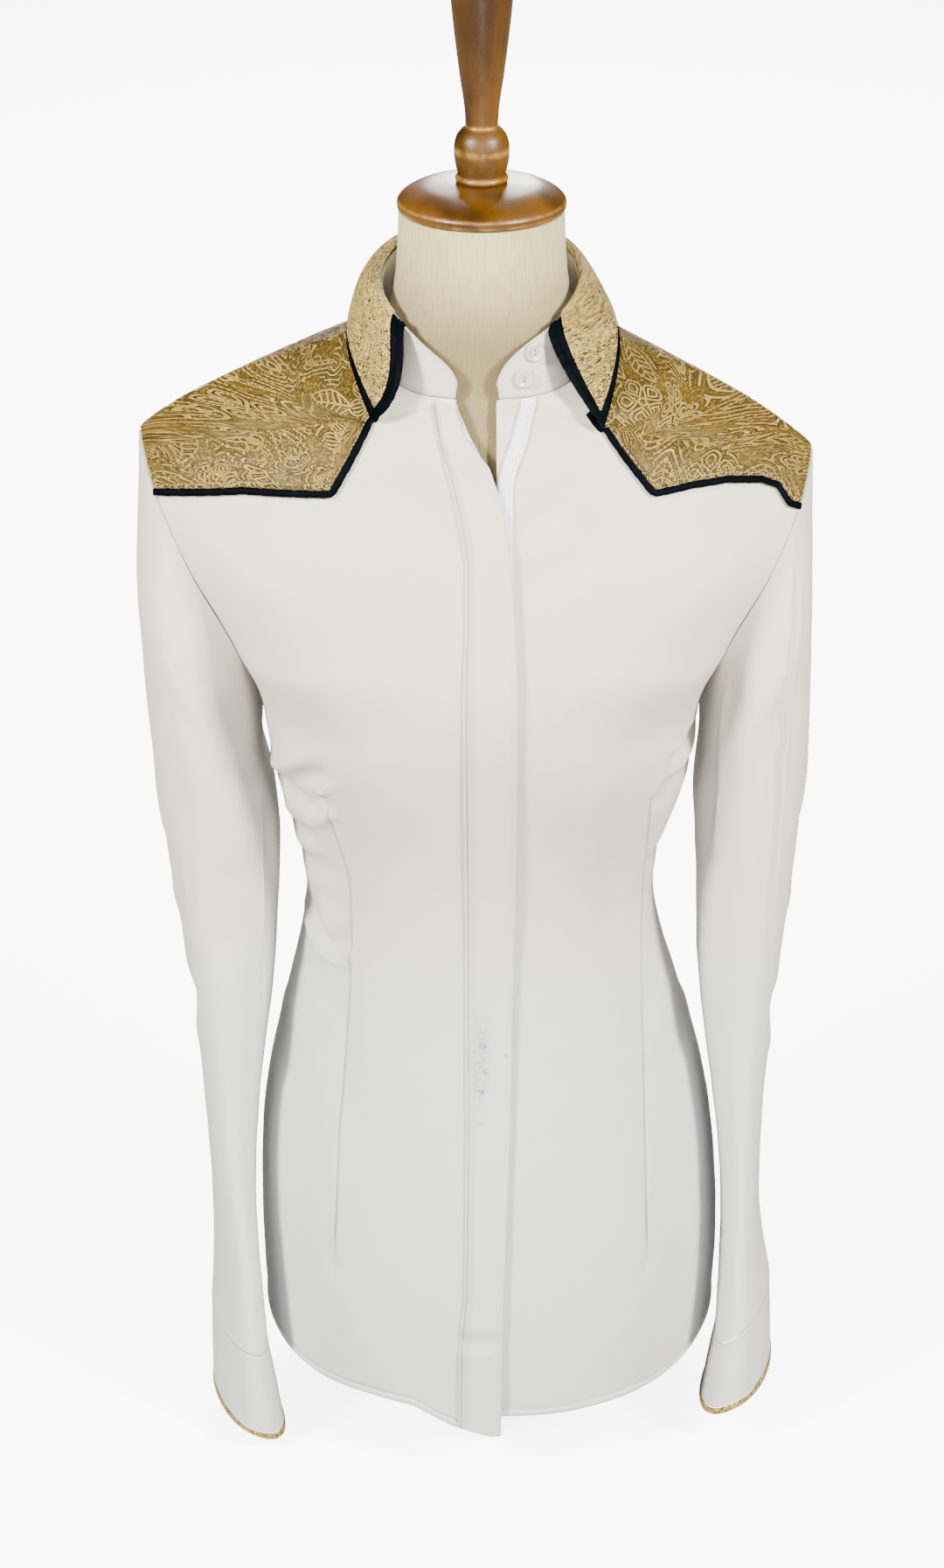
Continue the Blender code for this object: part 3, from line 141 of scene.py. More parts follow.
BACK_ROWS = Table(BODY_COLUMNS, (
    (0, 0.006, 0.108, 0.062, 0.149, 0.0, 0.05, 0.098, 0.0, 0.07, 0.0),
    (1, 0.006, 0.116, 0.13, 0.151, 0.0, 0.13, 0.098, 0.0, 0.074, 0.0),
    (2, 0.004, 0.112, 0.215, 0.146, 0.0, 0.215, 0.094, 0.0, 0.07, 0.0),
    (3, 0.002, 0.095, 0.295, 0.128, 0.0, 0.295, 0.084, 0.0, 0.062, 0.0),
    (4, -0.001, 0.082, 0.378, 0.111, 0.0, 0.378, 0.074, 0.0, 0.054, 0.0),
    (5, 0.0, 0.089, 0.452, 0.126, 0.0, 0.445, 0.084, 0.0, 0.056, 0.0),
    (6, 0.0, 0.101, 0.525, 0.136, 0.0, 0.505, 0.092, 0.0, 0.064, 0.0),
    (7, 0.0, 0.107, 0.58, 0.148, 0.04, 0.556, 0.098, -0.014, 0.044, 0.0),
    (8, 0.0, 0.106, 0.63, 0.168, 0.052, 0.598, 0.104, -0.028, 0.036, 0.0),
    (9, 0.0, 0.094, 0.685, 0.188, 0.045, 0.637, 0.1, -0.044, 0.03, 0.0),
    (10, 0.0, 0.055, 0.75, 0.1995, 0.024, 0.664, 0.066, -0.06, 0.024, -0.008),
    (11, 0.0, 0.004, 0.7435, 0.2035, 0.0, 0.674, 0.045, -0.045, 0.0, 0.018),
))
NECKLINE_COLUMNS = ("level", "x", "y", "z")
NECKLINE_FRONT = Table(NECKLINE_COLUMNS, (
    (10.0, 0.0, -0.063, 0.7217),
    (10.3, 0.034, -0.059, 0.7232),
    (10.6, 0.056, -0.041, 0.729),
    (11.0, 0.0665, 0.004, 0.7435),
))
NECKLINE_BACK = Table(NECKLINE_COLUMNS, (
    (10.0, 0.0, 0.055, 0.75),
    (10.35, 0.028, 0.051, 0.7495),
    (10.7, 0.053, 0.034, 0.7475),
    (11.0, 0.0665, 0.004, 0.7435),
))
HEM = Table(("across", "right_front", "left_front", "back"), (
    (0.0, -0.016, 0.0, 0.0),
    (0.025, -0.008, -0.0005, -0.001),
    (0.05, 0.005, 0.0, -0.001),
    (0.08, 0.008, 0.0025, 0.0),
    (0.11, 0.009, 0.006, 0.003),
    (0.135, 0.014, 0.013, 0.012),
    (0.16, 0.023, 0.023, 0.023),
))
V_EDGE = Table(("height", "edge", "placket_out", "placket_in"), (
    (0.03, 0.0082, 0.0131, -0.0147),
    (0.1, 0.0082, 0.0135, -0.014),
    (0.14, 0.0082, 0.0145, -0.0107),
    (0.25, 0.0082, 0.0179, -0.0095),
    (0.428, 0.0082, 0.021, -0.0103),
    (0.56, 0.0082, 0.0213, -0.0113),
    (0.6, 0.0082, 0.0195, -0.01),
    (0.635, 0.0065, 0.0168, -0.0096),
    (0.655, 0.0028, 0.0135, -0.0125),
    (0.673, -0.002, 0.0094, -0.0165),
    (0.687, -0.0065, 0.0045, -0.02),
    (0.705, -0.0135, -0.0095, -0.025),
    (0.716, -0.0172, -0.0146, -0.028),
    (0.7215, -0.0162, -0.015, -0.029),
))
TAPE = Table(("height", "left_tape", "right_tape", "width"), (
    (0.045, 0.0092, 0.004, 0.0034),
    (0.14, 0.0092, 0.0033, 0.0042),
    (0.25, 0.0094, 0.001, 0.0066),
    (0.45, 0.0094, -0.0008, 0.0084),
    (0.6, 0.0096, -0.0008, 0.0084),
    (0.64, 0.0093, -0.002, 0.0084),
    (0.674, 0.0095, -0.008, 0.0084),
    (0.684, 0.0102, -0.0113, 0.0084),
    (0.694, 0.013, -0.0096, 0.0084),
    (0.7, 0.0152, -0.0128, 0.0084),
    (0.71, 0.0192, -0.0188, 0.0084),
    (0.7185, 0.023, -0.0246, 0.0084),
))


def spline(knots: Iterable[float], values: Iterable[float], at: Array) -> Array:
    """Read a natural cubic spline.

    Args:
        knots: where the values stand.
        values: the values.
        at: the places to read.

    Returns:
        The curve at those places.
    """
    knots, values, at = (np.asarray(part, dtype=float) for part in (knots, values, at))
    steps = np.diff(knots)
    slopes = np.diff(values) / steps
    count = len(knots)
    matrix = np.eye(count)
    right = np.zeros(count)
    for row in range(1, count - 1):
        matrix[row, row - 1:row + 2] = (steps[row - 1], 2 * (steps[row - 1] + steps[row]), steps[row])
        right[row] = 6 * (slopes[row] - slopes[row - 1])
    bend = np.linalg.solve(matrix, right)
    piece = np.clip(np.searchsorted(knots, at, side="right") - 1, 0, count - 2)
    left = at - knots[piece]
    step = steps[piece]
    cubic = (bend[piece + 1] - bend[piece]) / (6 * step)
    linear = slopes[piece] - step * (2 * bend[piece] + bend[piece + 1]) / 6
    return values[piece] + left * (linear + left * (bend[piece] / 2 + left * cubic))


def level_curve(knots: Iterable[float], values: Iterable[float], at: Array) -> Array:
    """Read a smooth curve that never passes its neighbours, with spline's Args and Returns."""
    knots, values, at = (np.asarray(part, dtype=float) for part in (knots, values, at))
    steps = np.diff(knots)
    slopes = np.diff(values) / steps
    before, after = slopes[:-1], slopes[1:]
    same_way = before * after > 0
    total = np.where(same_way, before + after, 1.0)
    rates = np.concatenate([slopes[:1], np.where(same_way, 2 * before * after / total, 0.0), slopes[-1:]])
    piece = np.clip(np.searchsorted(knots, at, side="right") - 1, 0, len(steps) - 1)
    step = steps[piece]
    t = (at - knots[piece]) / step
    return (values[piece] * (1 + 2 * t) * (1 - t) ** 2 + values[piece + 1] * t ** 2 * (3 - 2 * t)
            + step * t * (1 - t) * (rates[piece] * (1 - t) - rates[piece + 1] * t))


def unit(vectors: Array) -> Array:
    """Vectors at length one."""
    return vectors / np.maximum(np.linalg.norm(vectors, axis=-1, keepdims=True), 1e-12)


def smooth_step(value: Array) -> Array:
    """0 below 0, 1 above 1 and an even S between."""
    value = np.clip(value, 0.0, 1.0)
    return value * value * (3 - 2 * value)


def bezier(ends: tuple[Array, ...], t: Array) -> Array:
    """A cubic Bezier curve with four control points, each an array of vectors."""
    first, second, third, last = ends
    t = t[..., None]
    return (first * (1 - t) ** 3 + 3 * second * t * (1 - t) ** 2
            + 3 * third * t ** 2 * (1 - t) + last * t ** 3)


def spread(*spans: tuple[float, float, int]) -> Array:
    """Even places over several spans on end, each (first, last, count).

    Returns:
        The places in order, each once.
    """
    return np.unique(np.round(np.concatenate([np.linspace(*span) for span in spans]), 6))


def straight(knots: Array, values: Array, at: Array) -> Array:
    """Read straight lines between values, as spline reads a curve."""
    return np.interp(at, knots, values)


def columns(curve: Curve, knots: Array, values: Array, at: Array) -> Array:
    """Every column of values, read by one curve at the same places."""
    return np.stack([curve(knots, values[:, col], at) for col in range(values.shape[1])], -1)


def hump(away: Array, width: float) -> Array:
    """A bell, 1 at 0 and fading over a width."""
    return np.exp(-(away / width) ** 2)


def run_length(points: Array, axis: int) -> Array:
    """The distance walked along a grid's rows (axis 0) or columns (axis 1)."""
    steps = np.linalg.norm(np.diff(points, axis=axis), axis=-1)
    pad = [(0, 0), (0, 0)]
    pad[axis] = (1, 0)
    return np.cumsum(np.pad(steps, pad), axis=axis)


def walk(line: Array) -> Array:
    """The distance walked along one line of points."""
    return run_length(line[None], 1)[0]


@dataclass(frozen=True)
class Fold:
    """A soft fold or a keen crease, given as a line of places.

    Attributes:
        seen: the way the places are looked at.
        places: across and height in turn along the fold, in millimetres.
        width: half of the fold's width, in millimetres.
        depth: how far the cloth sinks at its middle, in millimetres.
        shoulder: how high the cloth stands up beside it, as a share of depth.
        skew: from -1 to 1, which side of the fold is the steep one.
    """

    seen: Seen
    places: tuple[float, ...]
    width: float
    depth: float
    shoulder: float = 0.35
    skew: float = 0.0

    def line(self) -> Array:
        """The fold's line, smoothed."""
        places = np.array(self.places).reshape(-1, 2) * MM
        count = len(places)
        return columns(spline, np.arange(count), places, np.linspace(0, count - 1, 6 * count))

    def sink(self, points: Array, normals: Array) -> Array:
        """How far the fold sinks the cloth.

        Args:
            points: points of the cloth.
            normals: the cloth's outward directions there.

        Returns:
            The sinking at each point, in metres.
        """
        across_axis, facing_axis, sign = self.seen.value
        flat = np.stack([points[..., across_axis], points[..., 2]], -1)
        line, width = self.line(), self.width * MM
        reach = 3 * width
        near = ((flat > line.min(0) - reach) & (flat < line.max(0) + reach)).all(-1)
        near &= sign * normals[..., facing_axis] > -0.1
        sunk = np.zeros(flat.shape[:-1])
        if not near.any():
            return sunk
        spot = flat[near]
        start, step = line[:-1], np.diff(line, axis=0)
        along = np.clip(((spot[:, None] - start) * step).sum(-1) / (step ** 2).sum(-1), 0, 1)
        away = spot[:, None] - (start + step * along[..., None])
        far = np.linalg.norm(away, axis=-1)
        best = far.argmin(1)
        pick = np.arange(len(spot))
        turn = step[best, 0] * away[pick, best, 1] - step[best, 1] * away[pick, best, 0]
        t = far[pick, best] / (width * (1 + 0.6 * self.skew * np.sign(turn)))
        trough = hump(t, 1) - self.shoulder * hump(t - 1.7, 0.6)
        share = (best + along[pick, best]) / len(step)
        ends = smooth_step(share / 0.3) * smooth_step((1 - share) / 0.3)
        facing = smooth_step((sign * normals[near][:, facing_axis] + 0.1) / 0.4)
        sunk[near] = DEEPER * self.depth * MM * trough * ends * facing
        return sunk


@dataclass
class Drape:
    """The folds of one garment piece, and the faint unevenness of worn cloth."""

    folds: tuple[Fold, ...] = ()
    ripple: float = 0.00025

    def shaped(self, points: Array, normals: Array) -> Array:
        """Points with the folds worked in along the normals."""
        sunk = sum((fold.sink(points, normals) for fold in self.folds), np.zeros(points.shape[:-1]))
        x, y, z = points[..., 0], points[..., 1], points[..., 2]
        uneven = (np.sin(61 * x + 23 * z + 1.3) * np.sin(37 * z - 29 * y + 0.4)
                  + 0.6 * np.sin(113 * x - 71 * z + 2.1) * np.sin(89 * z + 67 * y))
        return points - (sunk + self.ripple * uneven)[..., None] * normals


BODY_DRAPE = Drape((
    Fold(Seen.FRONT, (-126, 456, -121.3, 460, -113, 473, -102.4, 486.8, -90, 499), 6.2, 5.2, 0.55, 0.3),
    Fold(Seen.FRONT, (-118, 456, -107.6, 464, -101, 471.5, -95.5, 476.8), 6, 5.2, 0.5, -0.3),
    Fold(Seen.FRONT, (-123, 427, -115, 430, -108.8, 434.5, -99, 435), 7, 2.4, 0.45),
    Fold(Seen.FRONT, (-119, 405, -110, 408.5, -100.4, 415, -90.6, 420.5), 7.5, 1.6, 0.45),
    Fold(Seen.FRONT, (-112.5, 393, -109.8, 374, -106, 364, -99.4, 356.8, -92, 357.2, -86, 365, -82.6, 376),
                      5.8, 3.6, 0.55, 0.45),
    Fold(Seen.FRONT, (-112, 338, -103, 330, -94, 331), 9, 1.2, 0.3),
    Fold(Seen.FRONT, (133, 503, 127.4, 495, 121.5, 491.5, 114, 493), 4.8, 3.4, 0.5, 0.3),
    Fold(Seen.FRONT, (124, 479, 115, 470, 108, 456), 7, 1.8, 0.4),
    Fold(Seen.FRONT, (119, 417, 112, 408, 105, 403), 8, 1.6, 0.4),
    Fold(Seen.FRONT, (22.5, 640, 31.2, 652, 42.5, 661, 59, 668), 11, 2.2, 0.4),
    Fold(Seen.FRONT, (25.1, 612, 37.9, 627, 56, 640, 78, 650), 13, 1.8, 0.4),
    Fold(Seen.FRONT, (-24, 633, -33, 660, -45, 686), 12, 1.6, 0.4),
    Fold(Seen.FRONT, (-17, 112, -8, 108.5, 4, 109.5, 16, 106), 6, 1, 0.4),
    Fold(Seen.FRONT, (143, 308, 132, 290, 122, 264), 13, 1.8, 0.3),
    Fold(Seen.FRONT, (-138, 300, -129, 275, -122, 245), 13, 1.8, 0.3),
    Fold(Seen.BACK, (-119, 460, -95, 453, -62, 464), 8.5, 3.4, 0.5),
    Fold(Seen.BACK, (-110, 416, -82, 408, -44, 416, -15, 413), 9, 4, 0.5, 0.3),
    Fold(Seen.BACK, (-108, 374, -78, 368, -48, 374), 8, 2.6, 0.5),
    Fold(Seen.BACK, (118, 450, 88, 443, 56, 450, 20, 447), 9, 3.6, 0.5, -0.3),
    Fold(Seen.BACK, (109, 403, 82, 393, 54, 396), 8.5, 4, 0.5),
    Fold(Seen.BACK, (106, 360, 76, 352, 36, 360, 6, 356), 9.5, 2.6, 0.5),
    Fold(Seen.BACK, (-125, 310, -100, 285, -82, 245), 13, 2.4, 0.4),
    Fold(Seen.BACK, (127, 308, 104, 276, 90, 230), 13, 2.6, 0.4),
    Fold(Seen.BACK, (-138, 550, -116, 582, -102, 620), 14, 2.6, 0.4),
    Fold(Seen.BACK, (138, 546, 118, 585, 106, 628), 13, 2.4, 0.4),
    Fold(Seen.BACK, (40, 220, 44, 150, 52, 80), 18, 3, 0.4),
    Fold(Seen.BACK, (-46, 200, -54, 140, -56, 80), 18, 2.6, 0.4),
))

SLEEVE_DRAPES = {
    Side.RIGHT: Drape((
        Fold(Seen.FRONT, (-133.5, 470, -133.8, 443, -134.5, 398, -136.6, 350, -138.5, 305, -140, 250), 2.2,
                          2.2, 0.5, 0.4),
        Fold(Seen.FRONT, (-177.1, 574.8, -165, 535, -151.7, 486.1, -141.6, 434.3), 15, 3.4, 0.4),
        Fold(Seen.FRONT, (-193.8, 435, -191.5, 396, -184.3, 325.8), 4, 0.9, 0.4),
        Fold(Seen.FRONT, (-148, 425, -156, 385, -160, 330), 12, 1.6, 0.4),
        Fold(Seen.RIGHT, (40, 530, 20, 470, -10, 425, -40, 400), 11, 3, 0.45),
        Fold(Seen.RIGHT, (35, 420, 5, 375, -30, 350), 10, 2.6, 0.45),
        Fold(Seen.RIGHT, (-55, 340, -25, 300, 15, 280), 11, 2, 0.4),
        Fold(Seen.BACK, (-160, 480, -175, 430, -185, 390), 10, 3, 0.45),
        Fold(Seen.BACK, (-145, 420, -160, 380, -180, 355), 8.5, 2.8, 0.45),
        Fold(Seen.BACK, (-148, 350, -162, 320, -176, 305), 8, 2.2, 0.45),
    )),
    Side.LEFT: Drape((
        Fold(Seen.FRONT, (191.5, 642, 189.3, 605, 188.5, 575, 186.2, 545, 184.2, 515, 182.7, 475, 181.5,
                          430, 180.9, 380.8, 183.3, 293.6), 1.8, 1.2, 0.7, 0.5),
        Fold(Seen.FRONT, (144.5, 550, 143.6, 524.3, 142, 485.4, 140.5, 439.7, 140, 390), 4, 3, 0.5, -0.4),
        Fold(Seen.FRONT, (156, 500, 150, 440, 147, 380), 11, 1.8, 0.4),
        Fold(Seen.LEFT, (42, 535, 18, 480, -12, 440, -35, 415), 11, 3, 0.45),
        Fold(Seen.LEFT, (35, 405, 2, 368, -32, 350), 10, 2.6, 0.45),
        Fold(Seen.LEFT, (-54, 325, -24, 290, 14, 275), 11, 2, 0.4),
        Fold(Seen.BACK, (162, 485, 176, 440, 188, 400), 10, 3, 0.45),
        Fold(Seen.BACK, (146, 420, 162, 385, 182, 360), 8.5, 2.8, 0.45),
        Fold(Seen.BACK, (148, 350, 162, 318, 179, 302), 8, 2.2, 0.45),
    )),
}


@dataclass
class BodyHalf:
    """One half of the front or the back as a patch over across (u) and level (v)."""

    side: Side
    rows: Table
    neckline: Table
    hem_column: str
    hem_blend: float = 1.5
    shoulder_rise: float = 0.006
    shoulder_out: float = 0.003
    dart_foot: float = 0.165
    dart_tip: float = 0.5
    dart_depth: float = 0.0022
    dart_half_width: float = 0.01
    dart_fade: float = 0.1

    @property
    def sign(self) -> int:
        """The sign of x on this half."""
        return self.side.value

    @property
    def outward(self) -> float:
        """The sign of y that points away from the form."""
        return 1.0 if self.rows.rows[0][2] > 0 else -1.0

    @property
    def dart_x(self) -> float:
        """How far from the middle the body dart runs."""
        return 0.087 if self.side is Side.RIGHT else 0.101

    def read(self, name: str, v: Array) -> Array:
        """A column of the body table at a level."""
        curve = level_curve if name in LEVEL_COLUMNS else spline
        return curve(self.rows.column("level"), self.rows.column(name), v)

    def middle(self, v: Array) -> Array:
        """The edge at the middle, up to the neckline and round it to the shoulder."""
        below = np.stack([np.zeros_like(v), self.read("mid_y", v), self.read("mid_z", v)], -1)
        knots = self.neckline.column("level")
        round_neck = columns(spline, knots, np.array(self.neckline.rows)[:, 1:], v)
        return np.where((v > NECK)[..., None], round_neck, below)

    def outer(self, v: Array) -> Array:
        """The side seam and, above it, the armhole."""
        edge = np.stack([self.read(name, v) for name in ("out_x", "out_y", "out_z")], -1)
        high = smooth_step((v - UNDERARM) / (TOP - UNDERARM))
        edge[..., 0] -= self.sign * self.shoulder_out * high
        edge[..., 2] -= self.sign * self.shoulder_rise * high
        return edge

    def point(self, u: Array, v: Array, plain: bool = False) -> Array:
        """Points of the patch.

        Args:
            u: the way across, 0 at the middle and 1 at the outer edge.
            v: the level.
            plain: leave out the hem's line and the dart, as for the form inside.

        Returns:
            Points in the part's frame.
        """
        u, v = np.broadcast_arrays(np.asarray(u, float), np.asarray(v, float))
        first, last = self.middle(v), self.outer(v)
        reach = self.read("reach", v)
        turn = np.stack([self.read("turn_x", v), self.read("turn_y", v), np.zeros_like(v)], -1)
        span = np.maximum(last[..., 0] - first[..., 0], 1e-6)
        lift = self.read("lift", v)
        second = first + np.stack(
            [reach, np.zeros_like(v), (last[..., 2] - first[..., 2]) * reach / span + 0.2 * lift], -1)
        third = last + turn
        third[..., 2] += (last[..., 2] - first[..., 2]) * turn[..., 0] / span + lift
        points = bezier((first, second, third, last), u)
        if not plain:
            drop = np.interp(points[..., 0], HEM.column("across"), HEM.column(self.hem_column))
            points[..., 2] += drop * np.clip(1 - v / self.hem_blend, 0, 1) ** 2
            if self.outward < 0:
                points[..., 1] += self.dart(points) * smooth_step((1 - u) / self.dart_fade)
        points[..., 0] = self.sign * points[..., 0] + self.read("shift", v)
        return points

    def dart(self, points: Array) -> Array:
        """The wide trough of the dart, deepest at the waist."""
        along = np.clip((points[..., 2] - self.dart_foot) / (self.dart_tip - self.dart_foot), 0, 1)
        away = points[..., 0] - self.dart_x
        return self.dart_depth * np.sin(math.pi * along) * hump(away, self.dart_half_width)

    def normal(self, u: Array, v: Array, plain: bool = False) -> Array:
        """Directions square to the patch, away from the form."""
        step = 1e-4
        u, v = np.broadcast_arrays(np.asarray(u, float), np.asarray(v, float))
        low = np.clip(v - step * 10, 0, np.where(v > NECK, TOP, NECK) - step * 20)
        across = self.point(u + step, v, plain) - self.point(u - step, v, plain)
        along = self.point(u, low + step * 20, plain) - self.point(u, low, plain)
        square = unit(np.cross(across, along))
        facing = self.outward * square[..., 1] + 0.3 * self.sign * square[..., 0] + 0.3 * square[..., 2]
        return square * np.where(facing < 0, -1.0, 1.0)[..., None]

    def kept_off(self, points: Array, normals: Array, u: Array, v: Array) -> Array:
        """Points of the folded cloth, held clear of the form inside."""
        depth = ((self.point(u, v, plain=True) - points) * normals).sum(-1)
        held = KEPT + SOFT * np.tanh((depth - KEPT) / SOFT)
        return points + (np.where(depth > KEPT, depth - held, 0.0))[..., None] * normals

    def seam_normal(self, u: Array) -> Array:
        """Directions square to the shoulder seam with no lean to front or back."""
        u = np.asarray(u, float)
        top = np.full_like(u, float(TOP))
        run = self.point(u + 1e-3, top) - self.point(u - 1e-3, top)
        square = np.stack([-run[..., 2], np.zeros_like(u), run[..., 0]], -1)
        return unit(square) * np.sign(square[..., 2:3])

    def across(self, x: Array, v: Array) -> Array:
        """The u at which a level of the patch reaches x, by Newton's steps."""
        step = 1e-4
        u = np.full_like(v, 0.05)
        for _ in range(8):
            here = self.point(u, v)[..., 0]
            u = u + (x - here) * step / (self.point(u + step, v)[..., 0] - here)
        return u

    def find(self, x: Array, z: Array) -> tuple[Array, Array]:
        """The patch's u and v at places seen from the front, by Newton's steps."""
        x, z = np.broadcast_arrays(np.asarray(x, float), np.asarray(z, float))
        u = (self.sign * x) / 0.2
        mid_z = self.rows.column("mid_z")[:NECK + 1]
        v = np.interp(z, mid_z, self.rows.column("level")[:NECK + 1]) + 0.01
        step = 1e-4
        for _ in range(14):
            here = self.point(u, v)
            miss = np.stack([x - here[..., 0], z - here[..., 2]], -1)
            by_u = (self.point(u + step, v) - here) / step
            by_v = (self.point(u, v + step) - here) / step
            fall = by_u[..., 0] * by_v[..., 2] - by_v[..., 0] * by_u[..., 2]
            u = u + np.clip((miss[..., 0] * by_v[..., 2] - miss[..., 1] * by_v[..., 0]) / fall, -0.2, 0.2)
            v = np.clip(v + np.clip((miss[..., 1] * by_u[..., 0] - miss[..., 0] * by_u[..., 2]) / fall,
                                    -0.5, 0.5), 0, TOP - 2 * step)
        return u, v

    def centre_u(self, v: Array) -> Array:
        """Where this front's centre edge lies on its patch, by level."""
        if self.side is Side.LEFT:
            target = np.full_like(v, 0.0088)
        else:
            target = np.interp(self.read("mid_z", v), V_EDGE.column("height"), V_EDGE.column("edge"))
        return np.maximum(self.across(target, v), 0.0)


FRONTS = {
    Side.RIGHT: BodyHalf(Side.RIGHT, FRONT_ROWS, NECKLINE_FRONT, "right_front"),
    Side.LEFT: BodyHalf(Side.LEFT, FRONT_ROWS, NECKLINE_FRONT, "left_front"),
}
BACKS = {side: BodyHalf(side, BACK_ROWS, NECKLINE_BACK, "back") for side in Side}


@dataclass
class Grid:
    """A sheet of points [row][column] with outward directions and named marks."""

    points: Array
    normals: Array
    marks: dict[str, Array] = field(default_factory=dict)
    closed: bool = False
    map_points: Array | None = None

    def surface_map(self) -> Array:
        """The cloth's own map in metres, across and along."""
        points = self.points if self.map_points is None else self.map_points
        across = run_length(points, 1)
        along = run_length(points, 0)
        return np.stack([across - across[:, :1] + points[0, 0, 0], along], -1)

    def cut(self) -> tuple[float, float, float]:
        """The width, length and area of the cloth before it was sewn."""
        points = self.points if self.map_points is None else self.map_points
        width = run_length(points, 1)[:, -1].max()
        length = run_length(points, 0)[-1].max()
        first = points[1:, :-1] - points[:-1, :-1]
        second = points[:-1, 1:] - points[:-1, :-1]
        third = points[1:, :-1] - points[1:, 1:]
        fourth = points[:-1, 1:] - points[1:, 1:]
        area = (np.linalg.norm(np.cross(first, second), axis=-1).sum()
                + np.linalg.norm(np.cross(third, fourth), axis=-1).sum()) / 2
        return float(width), float(length), float(area)


@contextmanager
def editing(choice: str = "SELECT") -> Iterator[None]:
    """Edit mode on the active object, with all of its mesh selected, or none."""
    bpy.ops.object.mode_set(mode="EDIT")
    bpy.ops.mesh.select_all(action=choice)
    yield
    bpy.ops.object.mode_set(mode="OBJECT")


def margin(values: Array) -> Array:
    """A grid of vectors with its edges repeated once all round."""
    return np.pad(values, ((1, 1), (1, 1), (0, 0)), mode="edge")


class Workbench:
    """Ways to make, join and finish meshes with Blender's own operators."""

    @staticmethod
    def clear_choice() -> None:
        """Leave nothing selected and nothing in edit mode."""
        if bpy.context.object and bpy.context.object.mode != "OBJECT":
            bpy.ops.object.mode_set(mode="OBJECT")
        bpy.ops.object.select_all(action="DESELECT")

    @staticmethod
    def linked(name: str, data: bpy.types.ID) -> Piece:
        """A new object in the scene."""
        made = bpy.data.objects.new(name, data)
        bpy.context.scene.collection.objects.link(made)
        return made

    @staticmethod
    def smooth(made: Piece, degrees: float) -> Piece:
        """Shade a piece smooth, with the edges past an angle kept sharp."""
        made.data.shade_smooth()
        made.data.set_sharp_from_angle(angle=math.radians(degrees))
        return made

    @staticmethod
    def mark(mesh: bpy.types.Mesh, name: str, values: Array) -> None:
        """Give each point of a mesh a named value."""
        made = mesh.attributes.new(name, "FLOAT", "POINT")
        made.data.foreach_set("value", values.astype(np.float32).ravel())

    @staticmethod
    def capped() -> None:
        """Close the open rims of the active piece."""
        bpy.ops.mesh.select_non_manifold()
        bpy.ops.mesh.fill_holes(sides=0)

    @classmethod
    def grid_object(cls, name: str, grid: Grid, chart: Array | None = None) -> Piece:
        """A mesh grid with the points, map and marks of a Grid.

        Args:
            name: the object's name.
            grid: what it is shaped to.
            chart: the cloth's map, where it isn't the grid's own.

        Returns:
            The new object, its faces turned along the grid's directions.
        """
        cls.clear_choice()
        points, normals, marks = grid.points, grid.normals, grid.marks
        chart = grid.surface_map() if chart is None else chart
        if grid.closed:
            closing = np.linalg.norm(points[:, 0] - points[:, -1], axis=-1)
            last = np.stack([chart[:, -1, 0] + closing, chart[:, 0, 1]], -1)
            chart = np.concatenate([chart, last[:, None]], 1)
            points, normals = (np.concatenate([part, part[:, :1]], 1) for part in (points, normals))
            marks = {key: np.concatenate([value, value[:, :1]], 1) for key, value in marks.items()}
        rows, cols = points.shape[:2]
        bpy.ops.mesh.primitive_grid_add(x_subdivisions=cols - 1, y_subdivisions=rows - 1, size=1.0)
        made = bpy.context.object
        made.name = made.data.name = name
        made.matrix_world.identity()
        mesh = made.data
        if len(mesh.vertices) != rows * cols:
            raise ValueError(f"{name}: the grid has {len(mesh.vertices)} points, not {rows * cols}")
        mesh.vertices.foreach_set("co", points.astype(np.float32).ravel())
        corners = np.zeros(len(mesh.loops), np.int32)
        mesh.loops.foreach_get("vertex_index", corners)
        mesh.uv_layers[0].data.foreach_set("uv", chart.reshape(-1, 2)[corners].astype(np.float32).ravel())
        mesh.uv_layers[0].name = "cloth"
        for key, value in marks.items():
            cls.mark(mesh, key, value)
        mesh.update()
        ways = normals.reshape(-1, 3)
        some = list(mesh.polygons)[::max(1, len(mesh.polygons) // 40)]
        if sum(face.normal.dot(Vector(ways[face.vertices[0]])) for face in some) < 0:
            mesh.flip_normals()
        return made

    @classmethod
    def joined(cls, parts: list[Piece], name: str, weld: float = 0.0) -> Piece:
        """Join objects into one and weld its doubles.

        Args:
            parts: the objects, the first of which stays.
            name: the name of the joined object.
            weld: how near doubles lie, or 0 to weld nothing.

        Returns:
            The joined object.
        """
        cls.clear_choice()
        for part in parts:
            part.select_set(True)
        made = parts[0]
        bpy.context.view_layer.objects.active = made
        if len(parts) > 1:
            bpy.ops.object.join()
        if weld:
            with editing():
                bpy.ops.mesh.remove_doubles(threshold=weld)
        made.name = made.data.name = name
        return made

    @staticmethod
    def apply(made: Piece, kind: str, **settings: object) -> None:
        """Add a modifier with its settings and apply it."""
        bpy.context.view_layer.objects.active = made
        modifier = made.modifiers.new(kind.lower(), kind)
        for key, value in settings.items():
            setattr(modifier, key, value)
        bpy.ops.object.modifier_apply(modifier=modifier.name)

    @classmethod
    def cloth(cls, name: str, grids: list[Grid], thickness: float) -> Piece:
        """A thin shell of cloth over one or more grids that share edges."""
        parts = [cls.grid_object(f"{name}_{step}", grid) for step, grid in enumerate(grids)]
        made = cls.joined(parts, name, 2e-6)
        cls.apply(made, "SOLIDIFY", thickness=thickness, offset=-1.0, use_quality_normals=True)
        return cls.smooth(made, 50)

